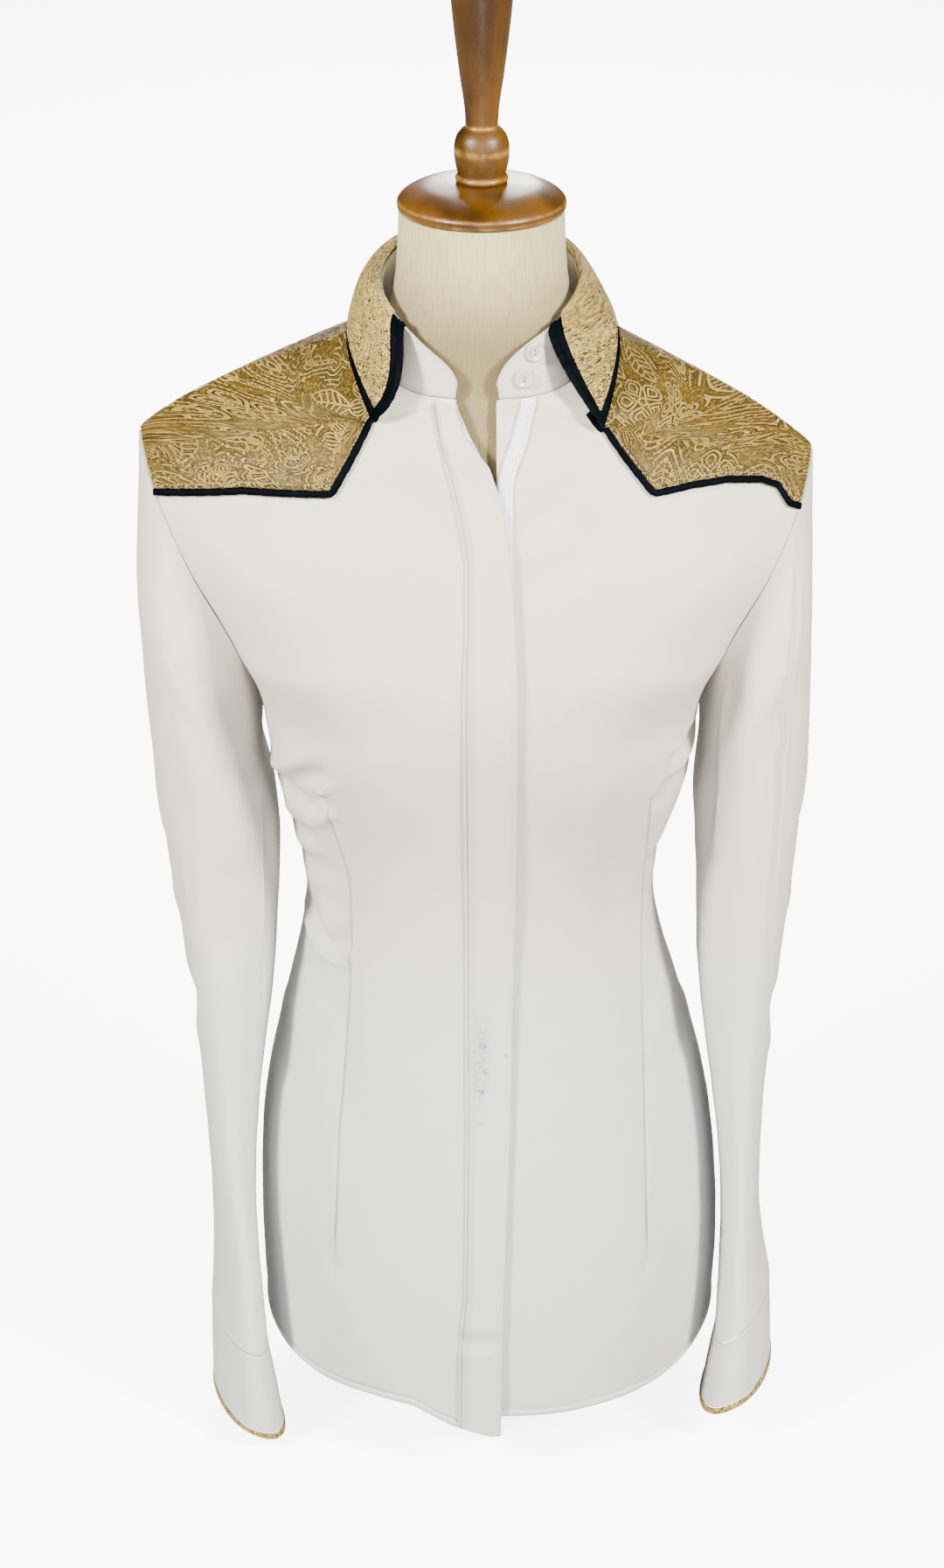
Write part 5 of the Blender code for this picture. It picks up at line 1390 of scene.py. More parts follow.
@dataclass
class ShirtBody:
    """The two fronts and the back."""

    hem_height: float = 0.0044
    hem_bulk: float = 0.0008
    dart_groove: float = 0.0009
    dart_step: float = 0.0002
    dart_keen: float = 0.0007
    dart_lines: dict[Side, tuple[tuple[float, float], ...]] = field(default_factory=lambda: {
        Side.RIGHT: ((0.12, -0.0952), (0.149, -0.0945), (0.2436, -0.09), (0.2843, -0.0863), (0.3311, -0.0825),
                     (0.3749, -0.0812), (0.4108, -0.0814), (0.4317, -0.0853), (0.4474, -0.09),
                     (0.476, -0.095), (0.51, -0.0975)),
        Side.LEFT: ((0.12, 0.108), (0.1484, 0.1073), (0.2351, 0.1044), (0.3172, 0.1022), (0.3586, 0.102),
                    (0.4028, 0.1026), (0.4418, 0.1033), (0.4786, 0.1036), (0.51, 0.1038)),
    })
    dart_ends: tuple[float, float] = (0.149, 0.48)
    levels: Array = field(default_factory=lambda: spread(
        (0.0, 0.052, 6), (0.058, 0.12, 5), (0.15, UNDERARM, 120), (UNDERARM, NECK, 84), (NECK, TOP, 22)))

    def top_levels(self) -> Array:
        """The levels, the last drawn back by half of the shoulder seam's gap."""
        levels = self.levels.copy()
        levels[-1] = TOP - SEAM / 0.03
        return levels

    def hem_roll(self, points: Array) -> Array:
        """How far the rolled hem stands out, by the distance from its edge."""
        walked = run_length(points, 0)
        round_edge = np.sqrt(np.clip(walked / 0.0012, 0, 1))
        roll = self.hem_bulk * smooth_step((self.hem_height + 0.0006 - walked) / 0.0012)
        return roll * round_edge - 0.0006 * hump(walked - self.hem_height - 0.0006, 0.0006)

    def front_places(self, side: Side) -> tuple[Array, Array]:
        """The u and v of a front's grid, with close columns along the dart."""
        half = FRONTS[side]
        levels = self.top_levels()
        start = half.centre_u(levels)
        heights = half.point(np.full_like(levels, 0.4), levels)[:, 2]
        dart = half.across(np.interp(heights, *np.array(self.dart_lines[side]).T), levels)
        dart = np.clip(dart, start + 0.3, 0.85)
        blend = smooth_step((levels - 5.6) / 1.2)
        dart = dart * (1 - blend) + (start + 0.5 * (1 - start)) * blend
        end = 1 - SEAM / 0.15
        inner = np.concatenate([np.linspace(0, 0.93, 26), [0.96, 0.98, 0.99, 0.996, 1.0]])
        outer = np.concatenate([[0.004, 0.01, 0.02, 0.04, 0.07], np.linspace(0.11, 1, 22)])
        u = np.concatenate([start[:, None] + (dart - start)[:, None] * inner,
                            dart[:, None] + (end - dart)[:, None] * outer], 1)
        return u, np.broadcast_to(levels[:, None], u.shape)

    def dart_seam(self, side: Side, points: Array) -> tuple[Array, Array]:
        """How far the dart's seam sinks and steps, seen from the front, and its shade."""
        x, z = points[..., 0], points[..., 2]
        away = x - np.interp(z, *np.array(self.dart_lines[side]).T)
        low, high = self.dart_ends
        along = smooth_step((z - low) / 0.03) * smooth_step((high - z) / 0.012)
        keen = hump(away, self.dart_keen)
        past = side.value * away
        step = self.dart_step * np.exp(-np.clip(past, 0, None) / 0.006) * (past > 0)
        pinch = 0.0012 * hump(away, 0.004) * hump(z - low, 0.006)
        foot = 0.45 + 0.55 * hump(z - low - 0.01, 0.03)
        return (self.dart_groove * keen - step) * along + pinch, keen * along * foot

    def hem_shade(self, points: Array) -> Array:
        """The seam's shade above the rolled hem."""
        return 0.5 * hump(run_length(points, 0) - self.hem_height - 0.0006, 0.0005)

    def front(self, side: Side) -> Grid:
        """A front with its folds, dart seam and rolled hem."""
        half = FRONTS[side]
        u, v = self.front_places(side)
        base = half.point(u, v)
        normals = half.normal(u, v)
        normals[-1] = half.seam_normal(u[-1])
        points = BODY_DRAPE.shaped(base, normals)
        sunk, shade = self.dart_seam(side, base)
        rise = self.hem_roll(base) - sunk
        points = half.kept_off(points + rise[..., None] * normals, normals, u, v)
        # The seam mark is painted shade along the dart's groove and above the hem.
        return Grid(points, normals, {"seam": np.maximum(shade, self.hem_shade(base))}, map_points=base)

    def back(self, side: Side) -> Grid:
        """Half of the back with its folds, dart seam and rolled hem."""
        half = BACKS[side]
        levels = self.top_levels()
        across = np.concatenate([np.linspace(0, 0.46, 22), [0.475, 0.485, 0.49, 0.493, 0.497],
                                 np.linspace(0.51, 1, 26)]) * (1 - SEAM / 0.15)
        u, v = np.meshgrid(across, levels)
        base = half.point(u, v)
        normals = half.normal(u, v)
        middle = levels <= NECK + 1e-6
        normals[middle, 0, 0] = 0
        normals[-1] = half.seam_normal(u[-1])
        normals = unit(normals)
        base[middle, 0, 0] = half.read("shift", levels[middle])
        points = BODY_DRAPE.shaped(base, normals)
        seam_x = 0.49 * (1 - SEAM / 0.15)
        away = (u - seam_x) * 0.19
        along = smooth_step((v - 1.2) / 0.5) * smooth_step((6.3 - v) / 0.6)
        soft = 0.0018 * hump(away, 0.01) * np.sin(np.clip((v - 1.2) / 5.1, 0, 1) * math.pi)
        keen = hump(away, self.dart_keen) * along
        rise = self.hem_roll(base) - soft - self.dart_groove * keen
        points = half.kept_off(points + rise[..., None] * normals, normals, u, v)
        # The seam mark is painted shade along the back dart's groove and above the hem.
        return Grid(points, normals, {"seam": np.maximum(0.6 * keen, self.hem_shade(base))}, map_points=base)

    def hem_stitches(self, grid: Grid, stitching: Stitching) -> None:
        """Add the hem's row of stitches above its roll."""
        walked = run_length(grid.map_points, 0)
        target = self.hem_height + 0.0002
        points = np.stack([[np.interp(target, walked[:, col], grid.points[:, col, axis])
                            for axis in range(3)] for col in range(walked.shape[1])])
        row = int(np.abs(walked[:, 0] - target).argmin())
        stitching.add(points, grid.normals[row])

    def build(self, stitching: Stitching, trims: dict[Side, list[Piece]]) -> None:
        """Make the fronts and the back."""
        for side in Side:
            grid = self.front(side)
            piece = sewn(f"front_{side.word}", [grid], CLOTH, ShirtCloth(soiled=side is Side.LEFT))
            declare(piece, [grid])
            self.hem_stitches(grid, stitching)
        grids = [self.back(side) for side in Side]
        declare(sewn("back", grids, CLOTH, ShirtCloth()), grids)
        for grid in grids:
            self.hem_stitches(grid, stitching)


def power(value: Array, sharpness: float) -> Array:
    """A sine or cosine squared off into a superellipse."""
    return np.sign(value) * np.abs(value) ** (2 / sharpness)


def tube_normals(grid: Array) -> Array:
    """Directions of a grid of rings, away from the inside of the tube."""
    around = np.roll(grid, -1, axis=1) - np.roll(grid, 1, axis=1)
    along = np.gradient(grid, axis=0)
    square = unit(np.cross(around, along))
    away = grid - grid.mean(axis=1, keepdims=True)
    return -square if (square * away).sum(-1).mean() < 0 else square


SLEEVE_COLUMNS = ("in_x", "in_z", "out_x", "out_z", "mid_y", "depth", "lean")
SLEEVES = {
    Side.RIGHT: Table(SLEEVE_COLUMNS, (
        (0.137, 0.474, 0.211, 0.6, -0.004, 0.064, 0.0),
        (0.13, 0.438, 0.21, 0.538, -0.003, 0.0635, 0.0),
        (0.128, 0.399, 0.206, 0.476, -0.003, 0.061, 0.0),
        (0.1305, 0.35, 0.199, 0.41, -0.008, 0.056, 0.0),
        (0.135, 0.299, 0.1895, 0.34, -0.015, 0.052, 0.02),
        (0.1425, 0.245, 0.182, 0.27, -0.024, 0.049, 0.06),
        (0.1475, 0.185, 0.1775, 0.198, -0.034, 0.047, 0.12),
        (0.147, 0.125, 0.174, 0.135, -0.044, 0.046, 0.2),
        (0.144, 0.07, 0.1755, 0.08, -0.052, 0.045, 0.24),
    )),
    Side.LEFT: Table(SLEEVE_COLUMNS, (
        (0.137, 0.474, 0.203, 0.596, -0.004, 0.064, 0.0),
        (0.1345, 0.438, 0.205, 0.533, -0.003, 0.0635, 0.0),
        (0.137, 0.399, 0.204, 0.47, -0.004, 0.061, 0.0),
        (0.1385, 0.35, 0.1985, 0.398, -0.009, 0.056, 0.0),
        (0.1415, 0.299, 0.1915, 0.33, -0.015, 0.052, 0.0),
        (0.149, 0.245, 0.1855, 0.265, -0.023, 0.049, 0.02),
        (0.156, 0.185, 0.1825, 0.2, -0.032, 0.047, 0.04),
        (0.1575, 0.125, 0.1835, 0.148, -0.042, 0.046, 0.08),
        (0.156, 0.072, 0.19, 0.104, -0.05, 0.045, 0.14),
    )),
}
CUFF_FEET = {
    Side.RIGHT: (0.1335, 0.006, 0.176, 0.018, -0.058, 0.043, 0.26),
    Side.LEFT: (0.147, 0.022, 0.1925, 0.044, -0.056, 0.044, 0.14),
}


@dataclass
class Sleeve:
    """A set-in sleeve with its cuff and the cuff's gold binding."""

    side: Side
    sharpness: float = 2.3
    ring_points: int = 108
    rings: int = 130
    cuff_cloth: float = 0.0015
    cuff_lift: float = 0.003
    binding: float = 0.0046
    lap: float = 18.0
    cuff_start: float = -54.0
    armhole_levels: tuple[float, ...] = (6, 6.5, 7, 7.5, 8, 8.5, 9, 9.5, 10, 10.55, 11)

    def ring(self, row: Array, angles: Array) -> Array:
        """A ring of the sleeve. Angle 0 is next to the body and a quarter turn is the front."""
        size = dict(zip(SLEEVE_COLUMNS, row))
        over = 0.5 - 0.5 * power(np.cos(angles), self.sharpness)
        forward = power(np.sin(angles), self.sharpness) * size["depth"]
        x = size["in_x"] + (size["out_x"] - size["in_x"]) * over - size["lean"] * forward
        z = size["in_z"] + (size["out_z"] - size["in_z"]) * over
        return np.stack([self.side.value * x, size["mid_y"] - forward, z], -1)

    def armhole(self) -> list[Array]:
        """The armhole's ring: its points, the panels' directions and the way past them."""
        half_way = self.ring_points // 2
        knots = np.arange(len(self.armhole_levels))
        levels = np.interp(np.linspace(0, knots[-1], half_way + 1), knots, self.armhole_levels)
        ones = np.ones_like(levels)
        parts = []
        for half, order in ((FRONTS[self.side], slice(None)), (BACKS[self.side], slice(-2, 0, -1))):
            points = half.point(ones, levels)
            normals = half.normal(ones, levels)
            normals[-1] = half.seam_normal(ones[-1:])[0]
            past = unit(points - half.point(ones - 1e-3, levels))
            parts.append([values[order] for values in (points, normals, past)])
        return [np.concatenate(pair) for pair in zip(*parts)]

    def rows(self) -> Array:
        """The sleeve's table at fourteen rings."""
        table = np.array(SLEEVES[self.side].rows)
        at = np.linspace(0, len(table) - 1, 14)
        return columns(spline, np.arange(len(table)), table, at)

    def plain_rings(self) -> tuple[Array, Array]:
        """Smooth rings from the armhole to the cuff's seam, with their directions."""
        angles = np.arange(self.ring_points) * 2 * math.pi / self.ring_points
        seam, panel_normals, past = self.armhole()
        few = np.stack([seam] + [self.ring(row, angles) for row in self.rows()])
        lean = np.maximum((tube_normals(few)[0] * past).sum(-1, keepdims=True), 0)
        few[0] += past * (GAP + CLOTH * lean) + panel_normals * GAP
        few[-1, :, 2] += GAP
        knots = np.concatenate([[0.0], np.arange(1, len(few))])
        at = np.linspace(0, len(few) - 1, self.rings)
        flat = few.reshape(len(few), -1)
        smooth, linear = (columns(curve, knots, flat, at) for curve in (spline, straight))
        head = smooth_step(at)[:, None]
        grid = (linear * (1 - head) + smooth * head).reshape(self.rings, self.ring_points, 3)
        return grid, tube_normals(grid)

    def grid(self) -> Grid:
        """The sleeve with its folds."""
        base, normals = self.plain_rings()
        shaped = SLEEVE_DRAPES[self.side].shaped(base, normals)
        hold = smooth_step(np.arange(self.rings) / 6)[:, None, None]
        hold = hold * smooth_step((self.rings - 1 - np.arange(self.rings)) / 5)[:, None, None]
        return Grid(base + (shaped - base) * hold, normals, closed=True, map_points=base)

    @property
    def cuff_height(self) -> float:
        """The cuff's height at its seam."""
        return SLEEVES[self.side].rows[-1][1] - CUFF_FEET[self.side][1]

    def cuff_ring(self, angles: Array, share: float, grow: Array) -> Array:
        """Points of the cuff, share of the way down from its seam and grown outwards."""
        top, low = np.array(SLEEVES[self.side].rows[-1]), np.array(CUFF_FEET[self.side])
        row = top + (low - top) * share
        points = self.ring(row, angles)
        centre = np.array([self.side.value * (row[0] + row[2]) / 2, row[4], 0.0])
        away = unit((points - centre) * np.array([1.0, 1.0, 0.0]))
        return points + away * np.broadcast_to(grow, angles.shape)[..., None]

    def cuff_grid(self, shares: Array, bulge: Array) -> Grid:
        """A band of the cuff that laps over itself behind."""
        degrees = np.linspace(0, 360 + self.lap, 132)
        angles = np.radians(degrees + self.cuff_start)
        lift = self.cuff_lift * smooth_step((degrees / 360 - 0.86) / 0.09)
        points = np.stack([self.cuff_ring(angles, share, lift + more) for share, more in zip(shares, bulge)])
        normals = unit(np.cross(np.gradient(points, axis=1), np.gradient(points, axis=0)))
        away = points - points.mean(axis=1, keepdims=True)
        normals = normals * np.sign((normals * away).sum(-1).mean())
        # Painted shade along the seam between sleeve and cuff, kept in the seam mark.
        shade = 0.7 * hump(shares * self.cuff_height, 0.0008)
        return Grid(points, normals, {"seam": np.broadcast_to(shade[:, None], points.shape[:-1])})

    def build(self, stitching: Stitching) -> None:
        """Make the sleeve, the cuff and the binding."""
        word = self.side.word
        sleeve = self.grid()
        piece = sewn(f"sleeve_{word}", [sleeve], CLOTH, ShirtCloth())
        declare(piece, [sleeve])
        height = self.cuff_height
        bound = 1 - self.binding / height
        shares = np.concatenate([[GAP / height, 0.02, 0.05], np.linspace(0.1, bound - GAP / height, 34)])
        rounding = np.array([-0.0004, 0.0001, 0.0002])
        bulge = np.concatenate([rounding, 0.0004 * np.sin(np.linspace(0, math.pi, 34))])
        cuff = self.cuff_grid(shares, bulge)
        piece = sewn(f"cuff_{word}", [cuff], self.cuff_cloth, ShirtCloth())
        turn = np.linspace(0, 1, 12)
        round_over = np.sqrt(np.clip(1 - (2 * turn - 1) ** 4, 0, 1))
        band = self.cuff_grid(bound + (1 - bound) * turn, 0.0009 * round_over - 0.0001)
        trim = sewn(f"cuff_binding_{word}", [band], self.cuff_cloth, GoldBrocade(fine=True))
        declare(piece, [cuff])
        for row in (2, -2):
            stitching.add(cuff.points[row], cuff.normals[row])


@dataclass
class Motifs:
    """Raised floral cording of the brocade, in the builder's own layout.

    Flowers, paisleys, leaves and ladders stand on a jittered net of places, and echo
    lines run where the ground between them is wide.
    """

    pitch: float = 0.034
    half_width: float = 0.00072
    echo_away: float = 0.0042
    echo_pitch: float = 0.0036
    step: float = 0.0004
    seed: int = 7

    def petal(self, length: float, width: float, base: float = 0.0) -> Array:
        """A closed petal from its base along +x, widest past its middle."""
        t = np.linspace(0, 1, 40)
        wave = width * np.sin(math.pi * t ** 1.4) ** 0.75
        return np.concatenate([np.stack([base + length * t, wave], -1),
                               np.stack([base + length * t, -wave], -1)[::-1]])

    def flower(self, size: float, chance: np.random.Generator) -> list[Array]:
        """Petals round a ring, each with its veins or a doubled edge."""
        count = int(chance.integers(5, 7))
        width = 0.66 * size * math.tan(math.pi / count) * 0.8
        doubled = chance.random() < 0.4
        turn = np.linspace(0, 2 * math.pi, 24)
        lines = [0.15 * size * np.stack([np.cos(turn), np.sin(turn)], -1)]
        for step in range(count):
            parts = [self.petal(0.78 * size, width, 0.22 * size)]
            if doubled:
                parts.append(self.petal(0.46 * size, width * 0.5, 0.4 * size))
            else:
                t = np.linspace(0.28, 0.8, 14)
                wave = np.sin(math.pi * t ** 1.4) ** 0.75
                parts += [np.stack([size * (0.22 + 0.78 * t), lean * width * wave], -1)
                          for lean in (-0.5, 0, 0.5)]
            lines += [self.turned(part, 2 * math.pi * step / count) for part in parts]
        return lines

    def paisley(self, size: float, chance: np.random.Generator) -> list[Array]:
        """A curled drop with a doubled edge and rungs between its lines."""
        turn = np.linspace(0, 2 * math.pi, 90)
        drop = np.stack([np.cos(turn), 0.75 * np.sin(turn) * np.abs(np.sin(turn / 2)) ** 1.2], -1)
        inner = 0.56 * (drop - np.array([-0.3, 0])) + np.array([-0.3, 0])
        bend = float(chance.choice([-1.0, 1.0]))
        lines = [drop, inner, 0.2 * drop * np.array([1, 1.4]) + np.array([-0.4, 0])]
        lines += [np.linspace(inner[step], drop[step], 8) for step in range(14, 78, 8)]
        for line in lines:
            line[:, 1] += bend * 0.16 * (line[:, 0] + 1) ** 2
        return [size * line for line in lines]

    def leaf(self, size: float, chance: np.random.Generator) -> list[Array]:
        """A pointed leaf with a midrib and slanting veins."""
        t = np.linspace(0, 1, 40)
        bow = chance.uniform(-0.25, 0.25) * size
        mid = np.stack([size * (2 * t - 1), bow * np.sin(math.pi * t)], -1)
        wide = 0.52 * size * np.sin(math.pi * t) ** 0.9
        lines = [mid + np.stack([0 * t, sign * wide], -1) for sign in (-1, 1)] + [mid]
        for place in range(7, 32, 5):
            for sign in (-1, 1):
                tip = mid[place + 5] + np.array([0, sign * wide[place + 5] * 0.85])
                lines.append(np.linspace(mid[place], tip, 8))
        return lines

    def ladder(self, size: float, chance: np.random.Generator) -> list[Array]:
        """A winding ribbon of two lines with rungs, and a bud at its end."""
        t = np.linspace(0, 1, 60)
        sway = chance.uniform(0.3, 0.45) * size
        mid = np.stack([size * (2.1 * t - 1.2), sway * np.sin(5.2 * t)], -1)
        across = unit(np.gradient(mid, axis=0))[:, ::-1] * np.array([-1, 1])
        wide = (0.0017 * np.sin(math.pi * np.clip(t * 1.2, 0.05, 1.0)) ** 0.4)[:, None]
        sides = [mid + across * wide, mid - across * wide]
        rungs = [np.linspace(sides[0][step], sides[1][step], 6) for step in range(6, 54, 5)]
        bud = self.petal(0.55 * size, 0.2 * size)
        return [*sides, *rungs, self.turned(bud, 2.2) + mid[30], self.turned(bud, -0.9) + mid[18]]

    def turned(self, line: Array, angle: float) -> Array:
        """A line turned about the origin."""
        c, s = math.cos(angle), math.sin(angle)
        return line @ np.array([[c, s], [-s, c]])

    def lines(self, low: Array, high: Array, salt: int) -> list[Array]:
        """All the lines over a rectangle of the cloth's map."""
        chance = np.random.default_rng(self.seed + salt)
        kinds = ((self.flower, 0.5), (self.paisley, 0.47), (self.ladder, 0.5), (self.leaf, 0.5))
        made: list[Array] = []
        counts = (high - low)[::-1] / (self.pitch * np.array([0.88, 1]))
        rows, cols = (int(math.ceil(count)) + 1 for count in counts)
        for row in range(rows):
            for col in range(cols):
                place = low + self.pitch * np.array([col + 0.5 * (row % 2), row * 0.88])
                place = place + chance.uniform(-0.06, 0.06, 2) * self.pitch
                draw, share = kinds[(3 * row + col + salt) % 4]
                turn = chance.uniform(0, 2 * math.pi)
                made += [self.turned(line, turn) + place for line in draw(self.pitch * share, chance)]
        return made

    def nearest(self, chart: Array, salt: int) -> tuple[Array, Array]:
        """How far each place of a map is from its nearest cord, and how far along that runs."""
        flat = chart.reshape(-1, 2)
        spots = []
        for line in self.lines(flat.min(0), flat.max(0), salt):
            run = walk(line)
            at = np.arange(0, run[-1], self.step)
            spots.append(np.column_stack([columns(straight, run, line, at), at]))
        spots = np.concatenate(spots)
        tree = KDTree(len(spots))
        for index, spot in enumerate(spots):
            tree.insert((spot[0], spot[1], 0.0), index)
        tree.balance()
        found = [tree.find((x, y, 0.0)) for x, y in flat]
        away = np.array([hit[2] for hit in found])
        run = spots[[hit[1] for hit in found], 2]
        return away.reshape(chart.shape[:-1]), run.reshape(chart.shape[:-1])

    def relief(self, chart: Array, salt: int) -> tuple[dict[str, Array], Array]:
        """The cords' marks and the cloth's height.

        Args:
            chart: the cloth's map.
            salt: tells one piece's layout from another's.

        Returns:
            The marks for the finish, and the height in metres.
        """
        away, run = self.nearest(chart, salt)
        wander = np.sin(170 * chart[..., 0] + 4) * np.sin(140 * chart[..., 1] + salt)
        beyond = away - self.echo_away + self.echo_pitch / 2
        echo = np.abs(np.mod(beyond, self.echo_pitch) - self.echo_pitch / 2)
        echo = np.where(beyond > 0, echo, 1.0) + 0.0015 * smooth_step((-0.1 - wander) / 0.3)
        away = np.minimum(away, echo)
        cord = np.sqrt(np.clip(1 - (away / (self.half_width * 1.15)) ** 2, 0, 1))
        pillow = 0.0003 * (1 - hump(away, 0.002))
        return {"away": away, "run": run}, 0.0005 * cord + pillow


YOKE_LOW = {
    Side.RIGHT: ((-0.0622, 0.7154), (-0.089, 0.6709), (-0.1404, 0.6671), (-0.1945, 0.6563)),
    Side.LEFT: ((0.065, 0.7125), (0.1016, 0.6694), (0.1237, 0.6708), (0.1451, 0.67), (0.1668, 0.6657),
                (0.1777, 0.6602), (0.1848, 0.6495)),
}


@dataclass
class Yokes:
    """The gold yokes over the fronts and the back, with their satin piping."""

    cloth: float = 0.0014
    front_gap: float = 0.0007
    edge: float = 0.008
    neck_level: float = 10.75
    shoulder_inset: float = 0.008
    back_point: float = 8.45
    back_side: float = 9.15
    back_corner: float = 0.48
    piping_half_width: float = 0.0022
    piping_half_depth: float = 0.0011
    piping_gap: float = 0.0011
    lead: tuple[float, float] = (0.007, 0.0015)
    line_steps: int = 40
    motifs: Motifs = field(default_factory=Motifs)

    def raised(self, grid: Grid, salt: int) -> Grid:
        """A yoke's grid with its cords raised and its edge turned under."""
        chart = grid.surface_map()
        marks, height = self.motifs.relief(chart, salt)
        walked = [run_length(grid.points, axis) for axis in (0, 1)]
        edge = np.minimum.reduce([walked[0], walked[1], walked[1][:, -1:] - walked[1]])
        hold = smooth_step(edge / 0.0022)
        rise = height * hold - 0.0003 * (1 - hold)
        return Grid(grid.points + rise[..., None] * grid.normals, grid.normals, marks, map_points=grid.points)

    def front_grid(self, side: Side) -> tuple[Grid, Array, Array]:
        """A front yoke, and the line and directions of its lower edge."""
        half = FRONTS[side]
        places = np.array(YOKE_LOW[side])
        spans = len(places) - 1
        at = np.linspace(0, spans, spans * self.line_steps + 1)
        u, v = half.find(*columns(straight, np.arange(spans + 1), places, at).T)
        u = np.minimum(np.maximum.accumulate(u), 1.0)
        shares = np.concatenate([[0.0], u])
        corners = np.concatenate([[self.neck_level], v])
        places_u = np.unique(np.concatenate([np.linspace(0, 1, 220), u[::self.line_steps]]))
        low = np.interp(places_u, shares, corners)
        rise = np.concatenate([[0, 0.006, 0.012], np.linspace(0.02, 1, 170)])
        v = low[None] + (TOP - self.shoulder_inset - low[None]) * rise[:, None]
        v = np.where(np.abs(v - NECK) < 1e-3, NECK - 1e-3, v)
        u = np.clip(np.broadcast_to(places_u[None], v.shape), self.edge, 1 - self.edge)
        base = half.point(u, v)
        normals = half.normal(u, v)
        normals[-1] = half.seam_normal(u[-1])
        base = BODY_DRAPE.shaped(base, normals)
        first = int(np.argmin(np.abs(places_u - shares[1])))
        grid = Grid(base + (self.front_gap + self.cloth) * normals, normals)
        path, ways = base[0, first:], normals[0, first:]
        back = np.linspace(self.lead[side is Side.LEFT], 0.0004, 8)[:, None]
        lead = path[0] - unit(path[6] - path[0]) * back
        return grid, np.concatenate([lead, path]), np.concatenate([np.tile(ways[0], (8, 1)), ways])

    def back_grid(self) -> tuple[Grid, Array, Array]:
        """The back yoke from side to side, and the line of its lower edge."""
        parts = []
        for side in Side:
            half = BACKS[side]
            u = np.linspace(0, 1 - self.edge, 160)
            corner = np.clip(u / self.back_corner, 0, 1)
            low = self.back_point + (self.back_side - self.back_point) * corner
            rise = np.concatenate([[0, 0.008, 0.016], np.linspace(0.03, 1, 106)])
            below = NECK - 0.004
            v = low[None] + (below - low[None]) * rise[:, None]
            u = np.broadcast_to(u[None], v.shape).copy()
            points, normals = half.point(u, v), half.normal(u, v)
            points[:, 0, 0] = half.read("shift", v[:, 0])
            normals[:, 0, 0] = 0
            parts.append((points, unit(normals)))
        points, normals = (np.concatenate([right[:, ::-1], left[:, 1:]], 1) for right, left in zip(*parts))
        points = BODY_DRAPE.shaped(points, normals)
        return Grid(points + (LAID_GAP + self.cloth) * normals, normals), points[0], normals[0]

    def shoulder_grid(self, side: Side) -> Grid:
        """The part of the back yoke between the neckline and the shoulder seam."""
        half = BACKS[side]
        levels = np.linspace(NECK - 0.004, TOP - self.shoulder_inset, 52)
        u, v = np.meshgrid(np.linspace(0, 1 - self.edge, 160), levels)
        u = np.maximum(u, np.where(v > NECK, self.edge, 0.0))
        normals = half.normal(u, v)
        normals[-1] = half.seam_normal(u[-1])
        points = BODY_DRAPE.shaped(half.point(u, v), normals)
        return Grid(points + (LAID_GAP + self.cloth) * normals, normals)

    def piping(self, node: str, path: Array, ways: Array) -> Piece:
        """The piping along a lower edge: a flat cord in satin, a little uneven."""
        run = walk(path)
        at = np.linspace(0, run[-1], int(run[-1] / 0.0012))
        path, ways = (columns(straight, run, part, at) for part in (path, ways))
        ways = unit(ways)
        tangent = unit(np.gradient(path, axis=0))
        across = unit(np.cross(tangent, ways))
        across = across * (-1.0 if across[:, 2].mean() > 0 else 1.0)
        uneven = 1 + 0.08 * np.sin(at * 900) * np.sin(at * 337 + 1)
        centre = (path + across * (self.piping_half_width + GAP)
                  + ways * (self.piping_half_depth + self.piping_gap))
        angles = np.linspace(0, 2 * math.pi, 16, endpoint=False)
        uneven = uneven[:, None, None]
        wide = self.piping_half_width * uneven * np.cos(angles)[None, :, None]
        deep = self.piping_half_depth * uneven * np.sin(angles)[None, :, None] * 1.15
        points = centre[:, None] + across[:, None] * wide + ways[:, None] * deep
        name = f"shirt_{node}"
        grid = Grid(points, tube_normals(points), closed=True)
        made = Workbench.joined([Workbench.grid_object(name, grid)], name, 1e-7)
        with editing("DESELECT"):
            Workbench.capped()
        made.data.shade_smooth()
        return placed(made, BlackSatin(), node)

    def build(self, stitching: Stitching) -> None:
        """Make the three yokes."""
        for salt, side in enumerate(Side):
            node = f"yoke_front_{side.word}"
            plain, path, ways = self.front_grid(side)
            piece = Workbench.skin(f"shirt_{node}", self.raised(plain, 11 + salt), self.cloth)
            placed(piece, GoldBrocade(), node)
            trim = self.piping(f"yoke_piping_{side.word}", path, ways)
            declare(piece, [plain])
            stitching.add(plain.points[5] + 0.0002 * plain.normals[5], plain.normals[5])
        plain, path, ways = self.back_grid()
        sides = [self.shoulder_grid(side) for side in Side]
        parts = [Workbench.skin(f"yoke_{salt}", self.raised(part, salt), self.cloth)
                 for salt, part in zip((23, 31, 32), (plain, *sides))]
        piece = placed(Workbench.joined(parts, "shirt_yoke_back"), GoldBrocade(), "yoke_back")
        trim = self.piping("yoke_piping_back", path, ways)
        declare(piece, [plain], sides)


def square_to(surface: Callable[[Array, Array], Array], first: Array, second: Array) -> Array:
    """Directions square to a surface of two places."""
    step = 1e-3
    run = surface(first + step, second) - surface(first - step, second)
    rise = surface(first, second + step) - surface(first, second - step)
    return unit(np.cross(run, rise))


